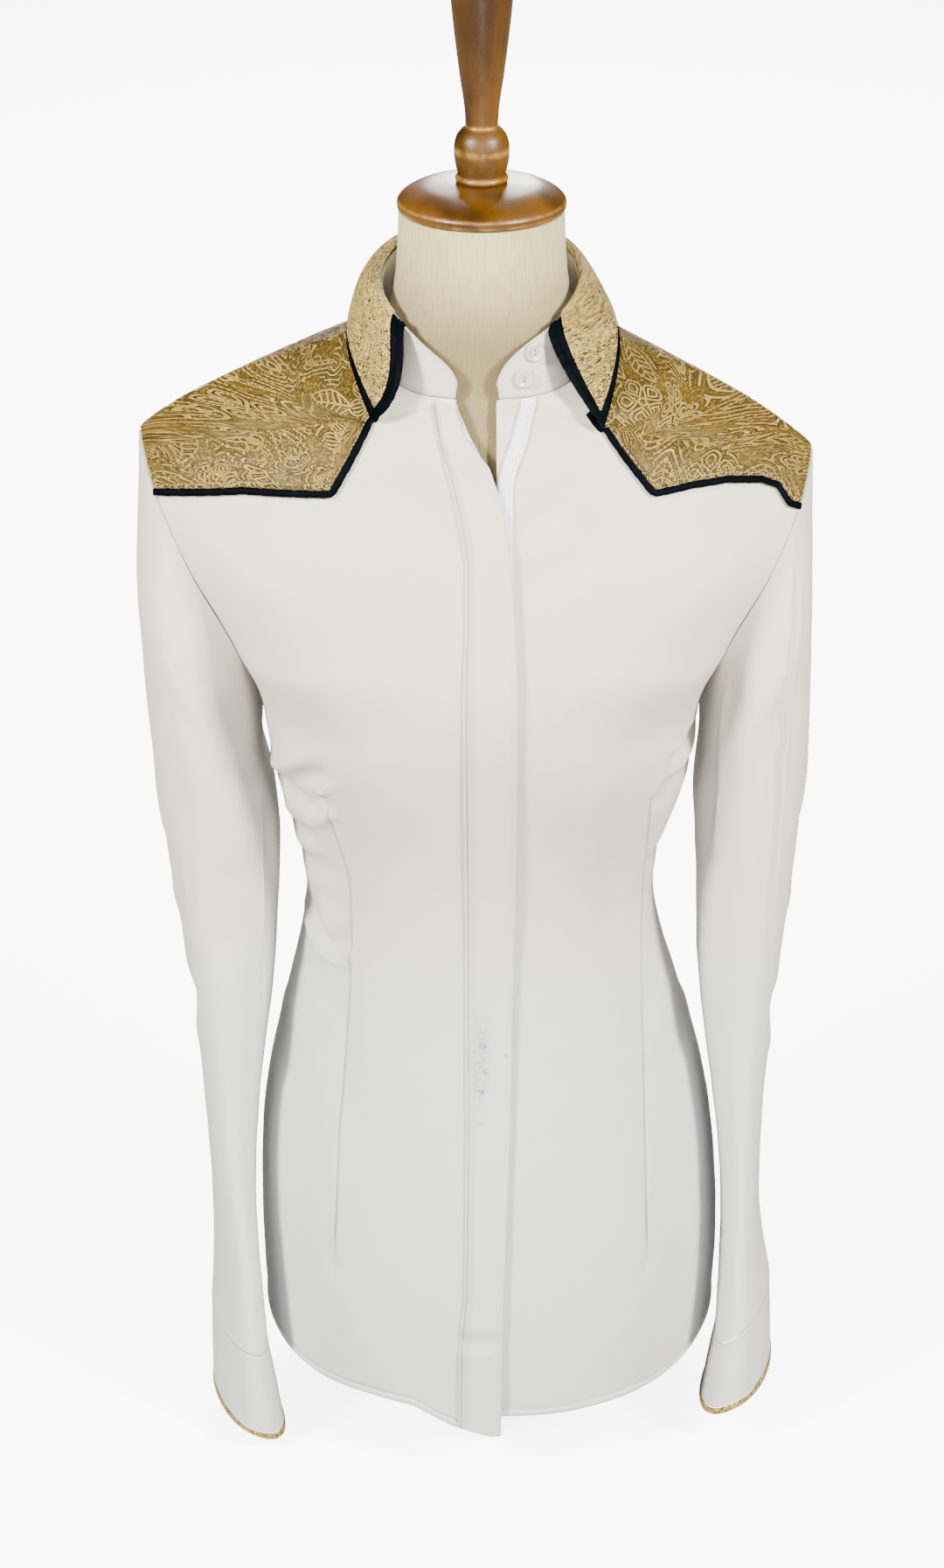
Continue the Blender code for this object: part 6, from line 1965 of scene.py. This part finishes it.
@dataclass
class Collar:
    """The white stand with its buttons, and the fall in black satin and gold."""

    stand_cloth: float = 0.0016
    under_cloth: float = 0.0011
    top_cloth: float = 0.0013
    stand_shift: float = -0.0025
    seam_lift: float = 0.0004
    fall_end: float = 0.82
    fold_lift: float = 0.0011
    fall_shift: float = 0.0024
    bulge: tuple[float, float] = (0.062, 0.035)
    bulge_low: tuple[float, float] = (1.25, 0.8)
    gold_inset: float = 0.06
    gold_inset_less: float = 0.7
    gold_share: float = 0.87
    tip_longer: tuple[float, float] = (0.02, 0.12)
    tip_start: float = 0.6
    end_levels: tuple[float, float] = (10.13, 10.085)
    round_ends: tuple[float, float] = (0.24, 0.15)
    swell: tuple[float, float] = (0.013, 0.003)
    stand: Table = Table(("along", "top_x", "top_y", "top_z"), (
        (0.0, 0.0, 0.056, 0.79),
        (0.25, 0.039, 0.043, 0.7885),
        (0.5, 0.0585, 0.007, 0.779),
        (0.75, 0.0505, -0.037, 0.766),
        (0.88, 0.033, -0.056, 0.757),
        (1.0, 0.011, -0.0625, 0.751),
    ))
    fall: Table = Table(("along", "rise", "under_x", "under_y", "under_z"), (
        (0.0, 0.007, 0.0, 0.085, 0.7465),
        (0.25, 0.007, 0.052, 0.066, 0.7485),
        (0.5, 0.006, 0.078, 0.008, 0.75),
        (0.66, 0.0045, 0.08, -0.032, 0.739),
        (0.82, 0.003, 0.067, -0.066, 0.712),
    ))

    def halves(self, table: Table, along: Array, prefix: str, shift: float) -> Array:
        """A collar curve read over both halves, from -1 to 1."""
        away = np.abs(along)
        places = np.stack([table.column(f"{prefix}_{axis}") for axis in "xyz"], -1)
        line = columns(spline, table.column("along"), places, away)
        line[..., 0] = line[..., 0] * np.sign(along) + shift * smooth_step((away - 0.3) / 0.7)
        return line

    def neckline(self, along: Array) -> Array:
        """The neckline that the stand is sewn to."""
        end = np.where(along < 0, *self.end_levels)
        away = np.abs(along)
        level = np.where(away > 0.5, TOP - (away - 0.5) * 2 * (TOP - end), NECK + away * 2 * (TOP - NECK))
        level = np.maximum(level, NECK + 1e-6)
        behind = (away <= 0.5)[..., None]
        line = np.where(behind, BACKS[Side.LEFT].middle(level), FRONTS[Side.LEFT].middle(level))
        line[..., 0] *= np.where(along < 0, -1.0, 1.0)
        return line

    def stand_point(self, along: Array, height: Array) -> Array:
        """The outer face of the stand."""
        along, height = np.broadcast_arrays(np.asarray(along, float), np.asarray(height, float))
        base = self.neckline(along)
        top = self.halves(self.stand, along, "top", self.stand_shift)
        base = base + unit(top - base) * self.seam_lift
        return base + (top - base) * height[..., None]

    def stand_normal(self, along: Array, height: Array) -> Array:
        """Directions square to the stand, away from the neck."""
        return -square_to(self.stand_point, along, height)

    def stand_grid(self) -> Grid:
        """The stand, with a rounded end at each side of the opening."""
        along = np.concatenate([-1 + 0.03 * np.linspace(0, 1, 8)[:-1] ** 2, np.linspace(-0.97, 0.97, 190),
                                1 - 0.03 * np.linspace(1, 0, 8)[1:] ** 2])
        corner = np.where(along < 0, *self.round_ends)
        over = np.clip((np.abs(along) - (1 - corner)) / corner, 0, 1)
        tall = 0.3 + 0.7 * np.sqrt(np.clip(1 - over ** 2, 0, 1))
        heights = np.linspace(0, 1, 26)[:, None] * tall[None]
        along = np.broadcast_to(along[None], heights.shape)
        points, normals = self.stand_point(along, heights), self.stand_normal(along, heights)
        # The seam mark is painted shade along the stitched groove and at the foot of the stand.
        groove = hump(self.from_edges(points) - 0.002, 0.0005)
        foot = hump(run_length(points, 0), 0.0012)
        return Grid(points - 0.0003 * groove[..., None] * normals, normals,
                    {"seam": np.maximum(0.22 * groove, 0.55 * foot)}, map_points=points)

    def fall_point(self, along: Array, down: Array) -> Array:
        """The fall from its fold line (0) to its edge (1)."""
        along, down = np.broadcast_arrays(np.asarray(along, float), np.asarray(down, float))
        fold = self.stand_point(along, np.ones_like(along))
        fold[..., 2] += self.fold_lift
        out = self.stand_normal(along, np.ones_like(along))
        out[..., 2] = 0
        out = unit(out)
        last = self.halves(self.fall, along, "under", self.fall_shift)
        rise = spline(self.fall.column("along"), self.fall.column("rise"), np.abs(along))
        swell = np.interp(along, (-0.5, 0.5), self.swell)
        second = fold + out * swell[..., None]
        second[..., 2] += rise
        third = last + (fold - last) * 0.42 + out * 0.005
        return bezier((fold, second, third, last), down)

    def fall_normal(self, along: Array, down: Array) -> Array:
        """Directions square to the fall, away from the neck and up."""
        return square_to(self.fall_point, along, down)

    def reach(self, along: Array, down: Array) -> Array:
        """How far forward the fall reaches by the place down it, on each side."""
        bulge = np.where(along < 0, *self.bulge)
        return self.fall_end + bulge * np.sin(math.pi * down ** np.where(along < 0, *self.bulge_low))

    def fall_length(self, along: Array) -> Array:
        """The fall's length by the place along it, as a share of its length behind."""
        longer = np.where(along < 0, *self.tip_longer)
        return 1 + longer * smooth_step((np.abs(along) - self.tip_start) / (self.fall_end - self.tip_start))

    def from_edges(self, points: Array) -> Array:
        """How far points lie from the front edges and the last one."""
        walked = [run_length(points, axis) for axis in (0, 1)]
        return np.minimum.reduce([walked[0][-1] - walked[0], walked[1], walked[1][:, -1:] - walked[1]])

    def fall_grids(self) -> tuple[Grid, Grid]:
        """The black layer under, and the gold one on top and a little smaller."""
        across = np.concatenate([-1 + 0.02 * np.linspace(0, 1, 5)[:-1], np.linspace(-0.98, 0.98, 210),
                                 1 - 0.02 * np.linspace(1, 0, 5)[1:]])
        down_places = np.concatenate([np.linspace(0, 0.96, 40), [0.975, 0.988, 1.0]])
        along, down = np.meshgrid(across, down_places)
        along = along * self.reach(along, down)
        down = down * self.fall_length(along)
        normals = self.fall_normal(along, down)
        points = self.fall_point(along, down)
        edge = self.from_edges(points)
        puff = 0.0009 * np.sqrt(np.clip(edge / 0.0022, 0, 1)) - 0.0007 * smooth_step((edge - 0.003) / 0.004)
        wavy = 0.0003 * np.sin(420 * along + 300 * down) * smooth_step((0.012 - edge) / 0.006)
        under = Grid(points + (puff + wavy)[..., None] * normals, normals, map_points=points)
        along, down = np.meshgrid(across, np.linspace(0, self.gold_share, 56))
        reach = self.reach(along, down)
        down = down * self.fall_length(along * reach)
        along = along * (reach - self.gold_inset * (1 - self.gold_inset_less * down))
        normals = self.fall_normal(along, down)
        points = self.fall_point(along, down) + (LAID_GAP + self.top_cloth) * normals
        edge = self.from_edges(points)
        roll = -0.0005 * (1 - np.sqrt(np.clip(edge / 0.0012, 0, 1))) - 0.0002 * hump(edge - 0.002, 0.0006)
        top = Grid(points + roll[..., None] * normals, normals, map_points=points)
        return under, top

    def build(self, stitching: Stitching) -> None:
        """Make the stand and the two layers of the fall."""
        stand = self.stand_grid()
        piece = sewn("collar_stand", [stand], self.stand_cloth, ShirtCloth())
        declare(piece, [stand])
        stitching.add(stand.points[3], stand.normals[3])
        under, top = self.fall_grids()
        piece = sewn("collar_under", [under], self.under_cloth, BlackSatin())
        declare(piece, [under])
        piece = sewn("collar_top", [top], self.top_cloth, GoldBrocade(fine=True))
        declare(piece, [top])


@dataclass
class Fastening:
    """The fly, the zip's tapes and teeth, and the two buttons of the stand."""

    fly_foot: float = 0.03
    fly_top: float = 9.992
    short: float = 0.012
    stretch: float = 0.5
    fly_cloth: float = 0.0014
    fly_lift: float = 0.0022
    fly_sink: float = 0.12
    fly_tuck: float = 0.09
    tape_foot: float = 0.2
    tape_top: float = 9.985
    tape_cloth: float = 0.001
    tooth_pitch: float = 0.0013
    tooth_width: float = 0.0019
    button_radius: float = 0.0058
    button_depth: float = 0.0022
    buttons: tuple[tuple[str, float, float], ...] = (
        ("button_top", 0.885, 0.78), ("button_lower", 0.925, 0.36))
    coil: Thread = Thread("zip_tape", (0.62, 0.62, 0.6, 1.0), (0.5332, 0.5332, 0.516, 1.0), "zip_coil")
    outline: tuple[tuple[float, float], ...] = (
        (0.0, 0.86), (0.08, 0.93), (0.25, 0.985), (0.5, 1.0), (0.74, 0.985), (0.9, 0.93), (0.98, 0.86),
        (1.0, 0.8), (0.97, 0.74), (0.86, 0.68), (0.74, 0.6), (0.68, 0.48), (0.66, 0.3), (0.66, 0.06))

    def strip(self, side: Side, levels: Array, left: Array, right: Array, share: Array,
              lift: Array) -> Grid:
        """A strip of cloth laid on a front between two edges, its top following the neckline."""
        half = FRONTS[side]
        x = left[:, None] + (right - left)[:, None] * share[None]
        steps = NECK + np.linspace(0, 0.6, 61)
        over = np.interp(np.abs(x[-1]), half.middle(steps)[:, 0], steps) - levels[-1] - self.short
        v = levels[:, None] + over[None] * smooth_step((levels[:, None] - levels[-1]) / self.stretch + 1)
        u = half.across(x, v)
        normals = half.normal(u, v)
        base = BODY_DRAPE.shaped(half.point(u, v), normals)
        return Grid(base + lift[..., None] * normals, normals)

    def edges(self, levels: Array, side: Side, table: Table, first: str, second: str
              ) -> tuple[Array, Array]:
        """Two columns of a table at the heights of levels."""
        heights = FRONTS[side].point(np.zeros_like(levels), levels)[:, 2]
        known = table.column("height")
        return tuple(np.interp(heights, known, table.column(name)) for name in (first, second))

    def fly(self) -> Grid:
        """The fly over the zip, sewn down along its left edge in the picture."""
        levels = np.linspace(self.fly_foot, self.fly_top, 300)
        left, right = self.edges(levels, Side.RIGHT, V_EDGE, "placket_in", "placket_out")
        share = np.concatenate([[0, 0.02, 0.04, 0.052, 0.065, 0.078, 0.092], np.linspace(0.11, 0.94, 34),
                                [0.965, 0.985, 1.0]])
        shape = self.fly_lift * smooth_step((share - 0.07) / 0.2)
        rounding = -0.0008 * (1 - np.sqrt(np.clip((1 - share) / 0.05, 0, 1)))
        seam = -0.0009 * hump(share - 0.065, 0.022) - 0.0009 * np.exp(-share / 0.02)
        sunk = 1 - 0.75 * smooth_step((levels - self.fly_top + self.fly_sink) / self.fly_sink)
        lift = (shape + rounding + seam)[None] * sunk[:, None]
        tucked = 1 - 0.85 * smooth_step((levels - self.fly_top + self.fly_tuck) / self.fly_tuck)[:, None]
        lift -= 0.0002 * hump(levels - levels[0] - 0.06, 0.01)[:, None]
        made = self.strip(Side.RIGHT, levels, left, right, share, (lift + LAID_GAP + self.fly_cloth) * tucked)
        # Painted shade along the fly's stitched groove and near its folded edge, kept in the seam mark.
        shade = 0.55 * hump(share - 0.065, 0.016) + 0.12 * hump(share - 0.9, 0.015)
        made.marks["seam"] = np.broadcast_to(shade[None], made.points.shape[:-1])
        return made

    def tape(self, side: Side) -> Grid:
        """One of the zip's tapes."""
        levels = np.linspace(self.tape_foot, self.tape_top, 240)
        start, width = self.edges(levels, side, TAPE, f"{side.word}_tape", "width")
        share = np.linspace(0, 1, 9)
        lift = np.full((len(levels), len(share)), LAID_GAP + self.tape_cloth)
        return self.strip(side, levels, start, start + width, share, lift)

    def teeth(self, side: Side, tape: Grid) -> Piece:
        """The coil along the inner edge of a tape, one loop copied."""
        column = 0 if side is Side.LEFT else tape.points.shape[1] - 1
        line, ways = tape.points[:, column], tape.normals[:, column]
        inward = unit(tape.points[:, 0] - tape.points[:, -1]) * side.value
        run = walk(line)
        at = np.arange(self.tooth_pitch, run[-1] - self.tooth_pitch, self.tooth_pitch)
        spot, up, over = (columns(straight, run, part, at) for part in (line, ways, inward))
        over = unit(over - (over * up).sum(-1, keepdims=True) * up)
        frames = np.stack([over, np.cross(up, over), up, spot - up * 0.0003 - over * 0.0002], -1)
        Workbench.clear_choice()
        bpy.ops.mesh.primitive_cube_add(size=1.0)
        pattern = bpy.context.object
        with editing():
            bpy.ops.transform.resize(value=(self.tooth_width, self.tooth_pitch * 0.62, 0.0009))
            bpy.ops.mesh.bevel(offset=0.00018, segments=1, affect="EDGES")
        return Workbench.copies(f"zip_teeth_{side.word}", pattern, frames)

    def button(self, name: str, along: float, height: float, collar: Collar) -> None:
        """A dished button with a round rim, two holes and its thread."""
        place = np.array([along]), np.array([height])
        spot, normal = (Vector(read(*place)[0].tolist())
                        for read in (collar.stand_point, collar.stand_normal))
        turn = normal.to_track_quat("Z", "Y").to_matrix().to_4x4()
        turn.translation = spot + normal * 1.4 * GAP
        profile = np.array(self.outline) * (self.button_depth, self.button_radius)
        made = Workbench.turned(f"stand_{name}", profile, 48)
        for sign in (-1, 1):
            Workbench.clear_choice()
            bpy.ops.mesh.primitive_cylinder_add(vertices=20, radius=0.00062, depth=0.006,
                                                location=(0, sign * 0.00125, 0.001))
            drill = bpy.context.object
            Workbench.apply(made, "BOOLEAN", operation="DIFFERENCE", solver="EXACT", object=drill)
            bpy.data.objects.remove(drill)
        made.data.transform(turn)
        placed(Workbench.smooth(made, 40), Pearl(), name)
        stitch = Stitching(length=0.0026, pitch=0.0026, radius=0.00034)
        line = np.array([list(turn @ Vector((0.0, end, 0.0015))) for end in (-0.0013, 0.0013)])
        stitch.add(line, np.array([list(normal)] * 2))
        placed(stitch.build(f"{name}_thread"), Thread("button"))

    def zip_parts(self, stitching: Stitching) -> dict[Side, list[Piece]]:
        """Make the tapes and their teeth, which are trims of the fronts."""
        made = {}
        for side in Side:
            tape = self.tape(side)
            piece = sewn(f"zip_tape_{side.word}", [tape], self.tape_cloth, TapeWeave())
            teeth = placed(self.teeth(side, tape), self.coil)
            column = 6 if side is Side.LEFT else 2
            stitching.add(tape.points[:, column], tape.normals[:, column])
            made[side] = [piece, teeth]
        return made

    def build(self, collar: Collar) -> None:
        """Make the fly and the buttons."""
        fly = self.fly()
        piece = sewn("placket", [fly], self.fly_cloth, ShirtCloth(soiled=True))
        declare(piece, [fly])
        for name, along, height in self.buttons:
            self.button(name, along, height, collar)


@dataclass
class DressForm:
    """The padded torso and neck, the turned cap and finial, and the plinth."""

    clearance: float = 0.005
    shoulder_clearance: float = 0.0007
    shoulder_start: float = 9.4
    foot: float = 0.085
    neckline: float = 0.945
    neckline_reach: float = 0.18
    smoothed: tuple[float, float, float] = (0.705, 0.785, 0.085)
    neck_rings: Table = Table(("height", "radius", "y", "blend"), (
        (0.764, 0.0525, 0.0, 0.55),
        (0.776, 0.0513, 0.0, 0.88),
        (0.792, 0.0503, 0.0, 1.0),
        (0.8185, 0.0492, 0.0, 1.0),
    ))
    cap: tuple[tuple[float, float], ...] = (
        (0.819, 0.0485), (0.8205, 0.05), (0.8235, 0.0502), (0.8258, 0.049),
        (0.83, 0.043), (0.8335, 0.033), (0.8352, 0.02),
    )
    finial: tuple[tuple[float, float], ...] = (
        (0.8356, 0.015), (0.8375, 0.0158), (0.8392, 0.015), (0.84, 0.0142),
        (0.844, 0.0152), (0.85, 0.0162), (0.856, 0.0164), (0.862, 0.0152),
        (0.8665, 0.0122), (0.869, 0.0097), (0.876, 0.01), (0.9, 0.0132),
        (0.925, 0.0163), (0.945, 0.0183), (0.96, 0.0194), (0.97, 0.019),
        (0.978, 0.0163), (0.983, 0.011),
    )
    base_half: tuple[float, float] = (0.09, 0.056)
    base_y: float = 0.014

    def quarter(self, half: BodyHalf, across: Array, levels: Array) -> Grid:
        """A quarter of the torso: the shirt's own shape drawn in by the clearance."""
        u, v = np.meshgrid(across, levels)
        normals = half.normal(u, v, plain=True)
        middle = levels <= NECK + 1e-6
        normals[middle, 0, 0] = 0
        normals[-1] = half.seam_normal(u[-1])
        normals[levels <= UNDERARM + 1e-6, -1] = np.array([half.sign, 0.0, 0.0])
        normals = unit(normals)
        near = smooth_step((v - self.shoulder_start) / (TOP - self.shoulder_start))
        clear = self.clearance + (self.shoulder_clearance - self.clearance) * near
        points = half.point(u, v, plain=True) - (CLOTH + clear)[..., None] * normals
        points[middle, 0, 0] = half.read("shift", levels[middle])
        drawn = 1 - (1 - self.neckline) * np.clip(1 - u / self.neckline_reach, 0, 1) * (v > NECK - 1e-6)
        points[..., :2] *= drawn[..., None]
        points[0, :, 2] = self.foot
        return Grid(points, normals)

    def neck_grid(self, ring: Array) -> Grid:
        """The neck from the torso's neckline to the cap, ring on ring."""
        angles = np.arctan2(ring[:, 0], -ring[:, 1])
        rings = [ring]
        for height, radius, y, blend in self.neck_rings.rows:
            circle = np.stack([radius * np.sin(angles), y - radius * np.cos(angles),
                               np.full_like(angles, height)], -1)
            above = ring + (circle - ring) * blend
            above[:, 2] = ring[:, 2] + (height - ring[:, 2]) * (0.5 + 0.5 * blend)
            rings.append(above)
        rings[-1][:, 2] = self.neck_rings.rows[-1][0]
        few = np.stack(rings)
        at = np.linspace(0, len(few) - 1, 40)
        flat = few.reshape(len(few), -1)
        grid = columns(level_curve, np.arange(len(few)), flat, at).reshape(len(at), len(ring), 3)
        return Grid(grid, tube_normals(grid), closed=True)

    def torso(self) -> Piece:
        """The torso and the neck in one closed body, its neckline smoothed over."""
        across = np.concatenate([np.linspace(0, 0.9, 26), [0.94, 0.97, 1.0]])
        levels = np.concatenate([np.linspace(0.5, UNDERARM, 40), np.linspace(UNDERARM, NECK, 30)[1:],
                                 NECK + np.linspace(0, 1, 26)[1:]])
        first = int(np.argmin(np.abs(levels - NECK)))
        grids = [self.quarter(group[side], across, levels) for group in (FRONTS, BACKS) for side in Side]
        front_right, front_left, back_right, back_left = (grid.points[first:, 0] for grid in grids)
        ring = np.concatenate([front_left, back_left[::-1][1:], back_right[1:], front_right[::-1][1:-1]])
        grids.append(self.neck_grid(ring))
        parts = [Workbench.grid_object(f"torso_{step}", grid) for step, grid in enumerate(grids)]
        made = Workbench.joined(parts, "form_body", 1e-4)
        with editing("DESELECT"):
            Workbench.capped()
            bpy.ops.mesh.select_all(action="SELECT")
            bpy.ops.mesh.normals_make_consistent(inside=False)
            bpy.ops.mesh.select_all(action="DESELECT")
        low, high, reach = self.smoothed
        for vertex in made.data.vertices:
            x, y, z = vertex.co
            vertex.select = low < z < high and math.hypot(x, y) < reach
        bpy.ops.object.mode_set(mode="EDIT")
        bpy.ops.mesh.vertices_smooth(factor=0.5, repeat=10)
        bpy.ops.object.mode_set(mode="OBJECT")
        return Workbench.smooth(made, 60)

    def turned(self, name: str, profile: Array, sides: int, edges: tuple[tuple[float, float], ...],
               node: str, *oval: object) -> None:
        """A turned piece of wood, marked at the heights where its finish is rubbed.

        Args:
            name: the piece's name.
            profile: its (height, radius) pairs.
            sides: how many sides it has.
            edges: the rubbed heights, each (height, half width).
            node: the node it stands for.
            oval: how it is drawn wide, and where it stands.
        """
        made = Workbench.turned(name, profile, sides, *oval)
        points = np.zeros(len(made.data.vertices) * 3)
        made.data.vertices.foreach_get("co", points)
        worn = sum(hump(points[2::3] - middle, wide) for middle, wide in edges)
        Workbench.mark(made.data, "worn", np.clip(worn, 0, 1))
        placed(made, TurnedWood(), node)

    def smooth_profile(self, corners: tuple[tuple[float, float], ...], count: int) -> Array:
        """A profile with more places, along a smooth curve through its corners."""
        profile = np.array(corners)
        run = walk(profile)
        return columns(level_curve, run, profile, np.linspace(0, run[-1], count))

    def build(self) -> None:
        """Make the form."""
        placed(self.torso(), RibJersey(), "form_torso")
        self.turned("wood_neck_cap", self.smooth_profile(self.cap, 40), 128,
                    ((0.8205, 0.0009), (0.8245, 0.0007)), "form_neck_cap")
        self.turned("wood_finial", self.smooth_profile(self.finial, 120), 72,
                    ((0.8385, 0.001), (0.8545, 0.0018), (0.869, 0.0009), (0.96, 0.003)), "form_finial")
        step = 0.78
        corners = ((0.0, 0.985), (0.002, 1.0), (0.008, 1.0), (0.0145, 0.985), (0.018, 0.93), (0.0195, 0.86),
                   (0.022, step), (0.04, step * 0.93), (self.foot - 0.02, step * 0.9),
                   (self.foot - 0.01, step), (self.foot - GAP, step))
        self.turned("wood_base", self.smooth_profile(corners, 60), 96, ((0.0145, 0.0012), (0.001, 0.001)),
                    "form_base", self.base_half, self.base_y)


@dataclass
class Studio:
    """The floor, the soft lights and the camera at the photograph's angle."""

    camera_place: Spot = (-0.0057, -2.16, 1.4834)
    tilt: float = 25.75
    lens: float = 86.96
    lamps: tuple[tuple[str, Spot, float, float, Spot], ...] = (
        ("key_right", (-2.2, -1.8, 2.2), 0.6, 370.0, (1.0, 0.985, 0.95)),
        ("key_left", (2.2, -1.8, 2.2), 0.6, 370.0, (1.0, 0.985, 0.95)),
        ("fill", (0.0, -2.9, 1.9), 0.5, 45.0, (1.0, 0.99, 0.97)),
        ("low", (0.0, -2.8, 0.3), 0.7, 34.0, (0.9, 0.95, 1.0)),
        ("rear", (0.1, 3.4, 1.7), 0.8, 90.0, (1.0, 0.99, 0.97)),
    )
    aim: Spot = (0.0, 0.0, 0.45)
    wash: tuple[Spot, Spot, float, float] = ((0.0, 3.2, 4.2), (0.0, 2.3, 0.0), 72.0, 1500.0)
    sky: Colour = (1.0, 0.72, 0.48, 1.0)
    sky_strength: float = 0.11

    def hang(self, lamp: bpy.types.Light, place: Spot, aim: Spot) -> None:
        """Put a lamp at its place, turned to what it lights."""
        made = Workbench.linked(lamp.name, lamp)
        made.location = place
        made.rotation_euler = (Vector(aim) - Vector(place)).to_track_quat("-Z", "Y").to_euler()

    def build(self) -> None:
        """Set the stage."""
        Workbench.clear_choice()
        bpy.ops.mesh.primitive_grid_add(x_subdivisions=8, y_subdivisions=8, size=40.0,
                                        location=(0, 6, -0.0002))
        floor = bpy.context.object
        floor.name = "studio_floor"
        floor.data.materials.append(PaleFloor().material())
        for name, place, width, power_of, colour in self.lamps:
            lamp = bpy.data.lights.new(name, "AREA")
            lamp.energy, lamp.color, lamp.size = power_of, colour, width
            self.hang(lamp, place, self.aim)
        place, aim, cone, power_of = self.wash
        lamp = bpy.data.lights.new("floor_wash", "SPOT")
        lamp.energy, lamp.spot_size = power_of, math.radians(cone)
        lamp.spot_blend, lamp.shadow_soft_size = 1.0, 0.5
        self.hang(lamp, place, aim)
        world = bpy.data.worlds.new("soft_room")
        bpy.context.scene.world = world
        world.use_nodes = True
        board, sky = Board(world.node_tree), world.node_tree.nodes["Background"]
        seen = board.camera_ray()
        board.put(sky.inputs[0], board.blend(seen, self.sky, (1, 1, 1, 1)))
        board.put(sky.inputs[1], board.sum("MULTIPLY_ADD", seen, 4.0, self.sky_strength))
        camera = bpy.data.cameras.new("photo_camera")
        camera.lens, camera.sensor_width, camera.sensor_fit = self.lens, 36.0, "AUTO"
        made = Workbench.linked("photo_camera", camera)
        made.location = self.camera_place
        made.rotation_euler = (math.radians(90 - self.tilt), 0, 0)
        bpy.context.scene.camera = made


def main() -> None:
    """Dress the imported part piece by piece."""
    logging.basicConfig(level=logging.INFO, format="%(message)s")
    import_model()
    Studio().build()
    DressForm().build()
    stitching, collar, fastening = Stitching(), Collar(), Fastening()
    ShirtBody().build(stitching, fastening.zip_parts(stitching))
    for side in Side:
        Sleeve(side).build(stitching)
    collar.build(stitching)
    Yokes().build(stitching)
    fastening.build(collar)
    placed(stitching.build("edge_stitches"), Thread())


if __name__ == "__main__":
    main()
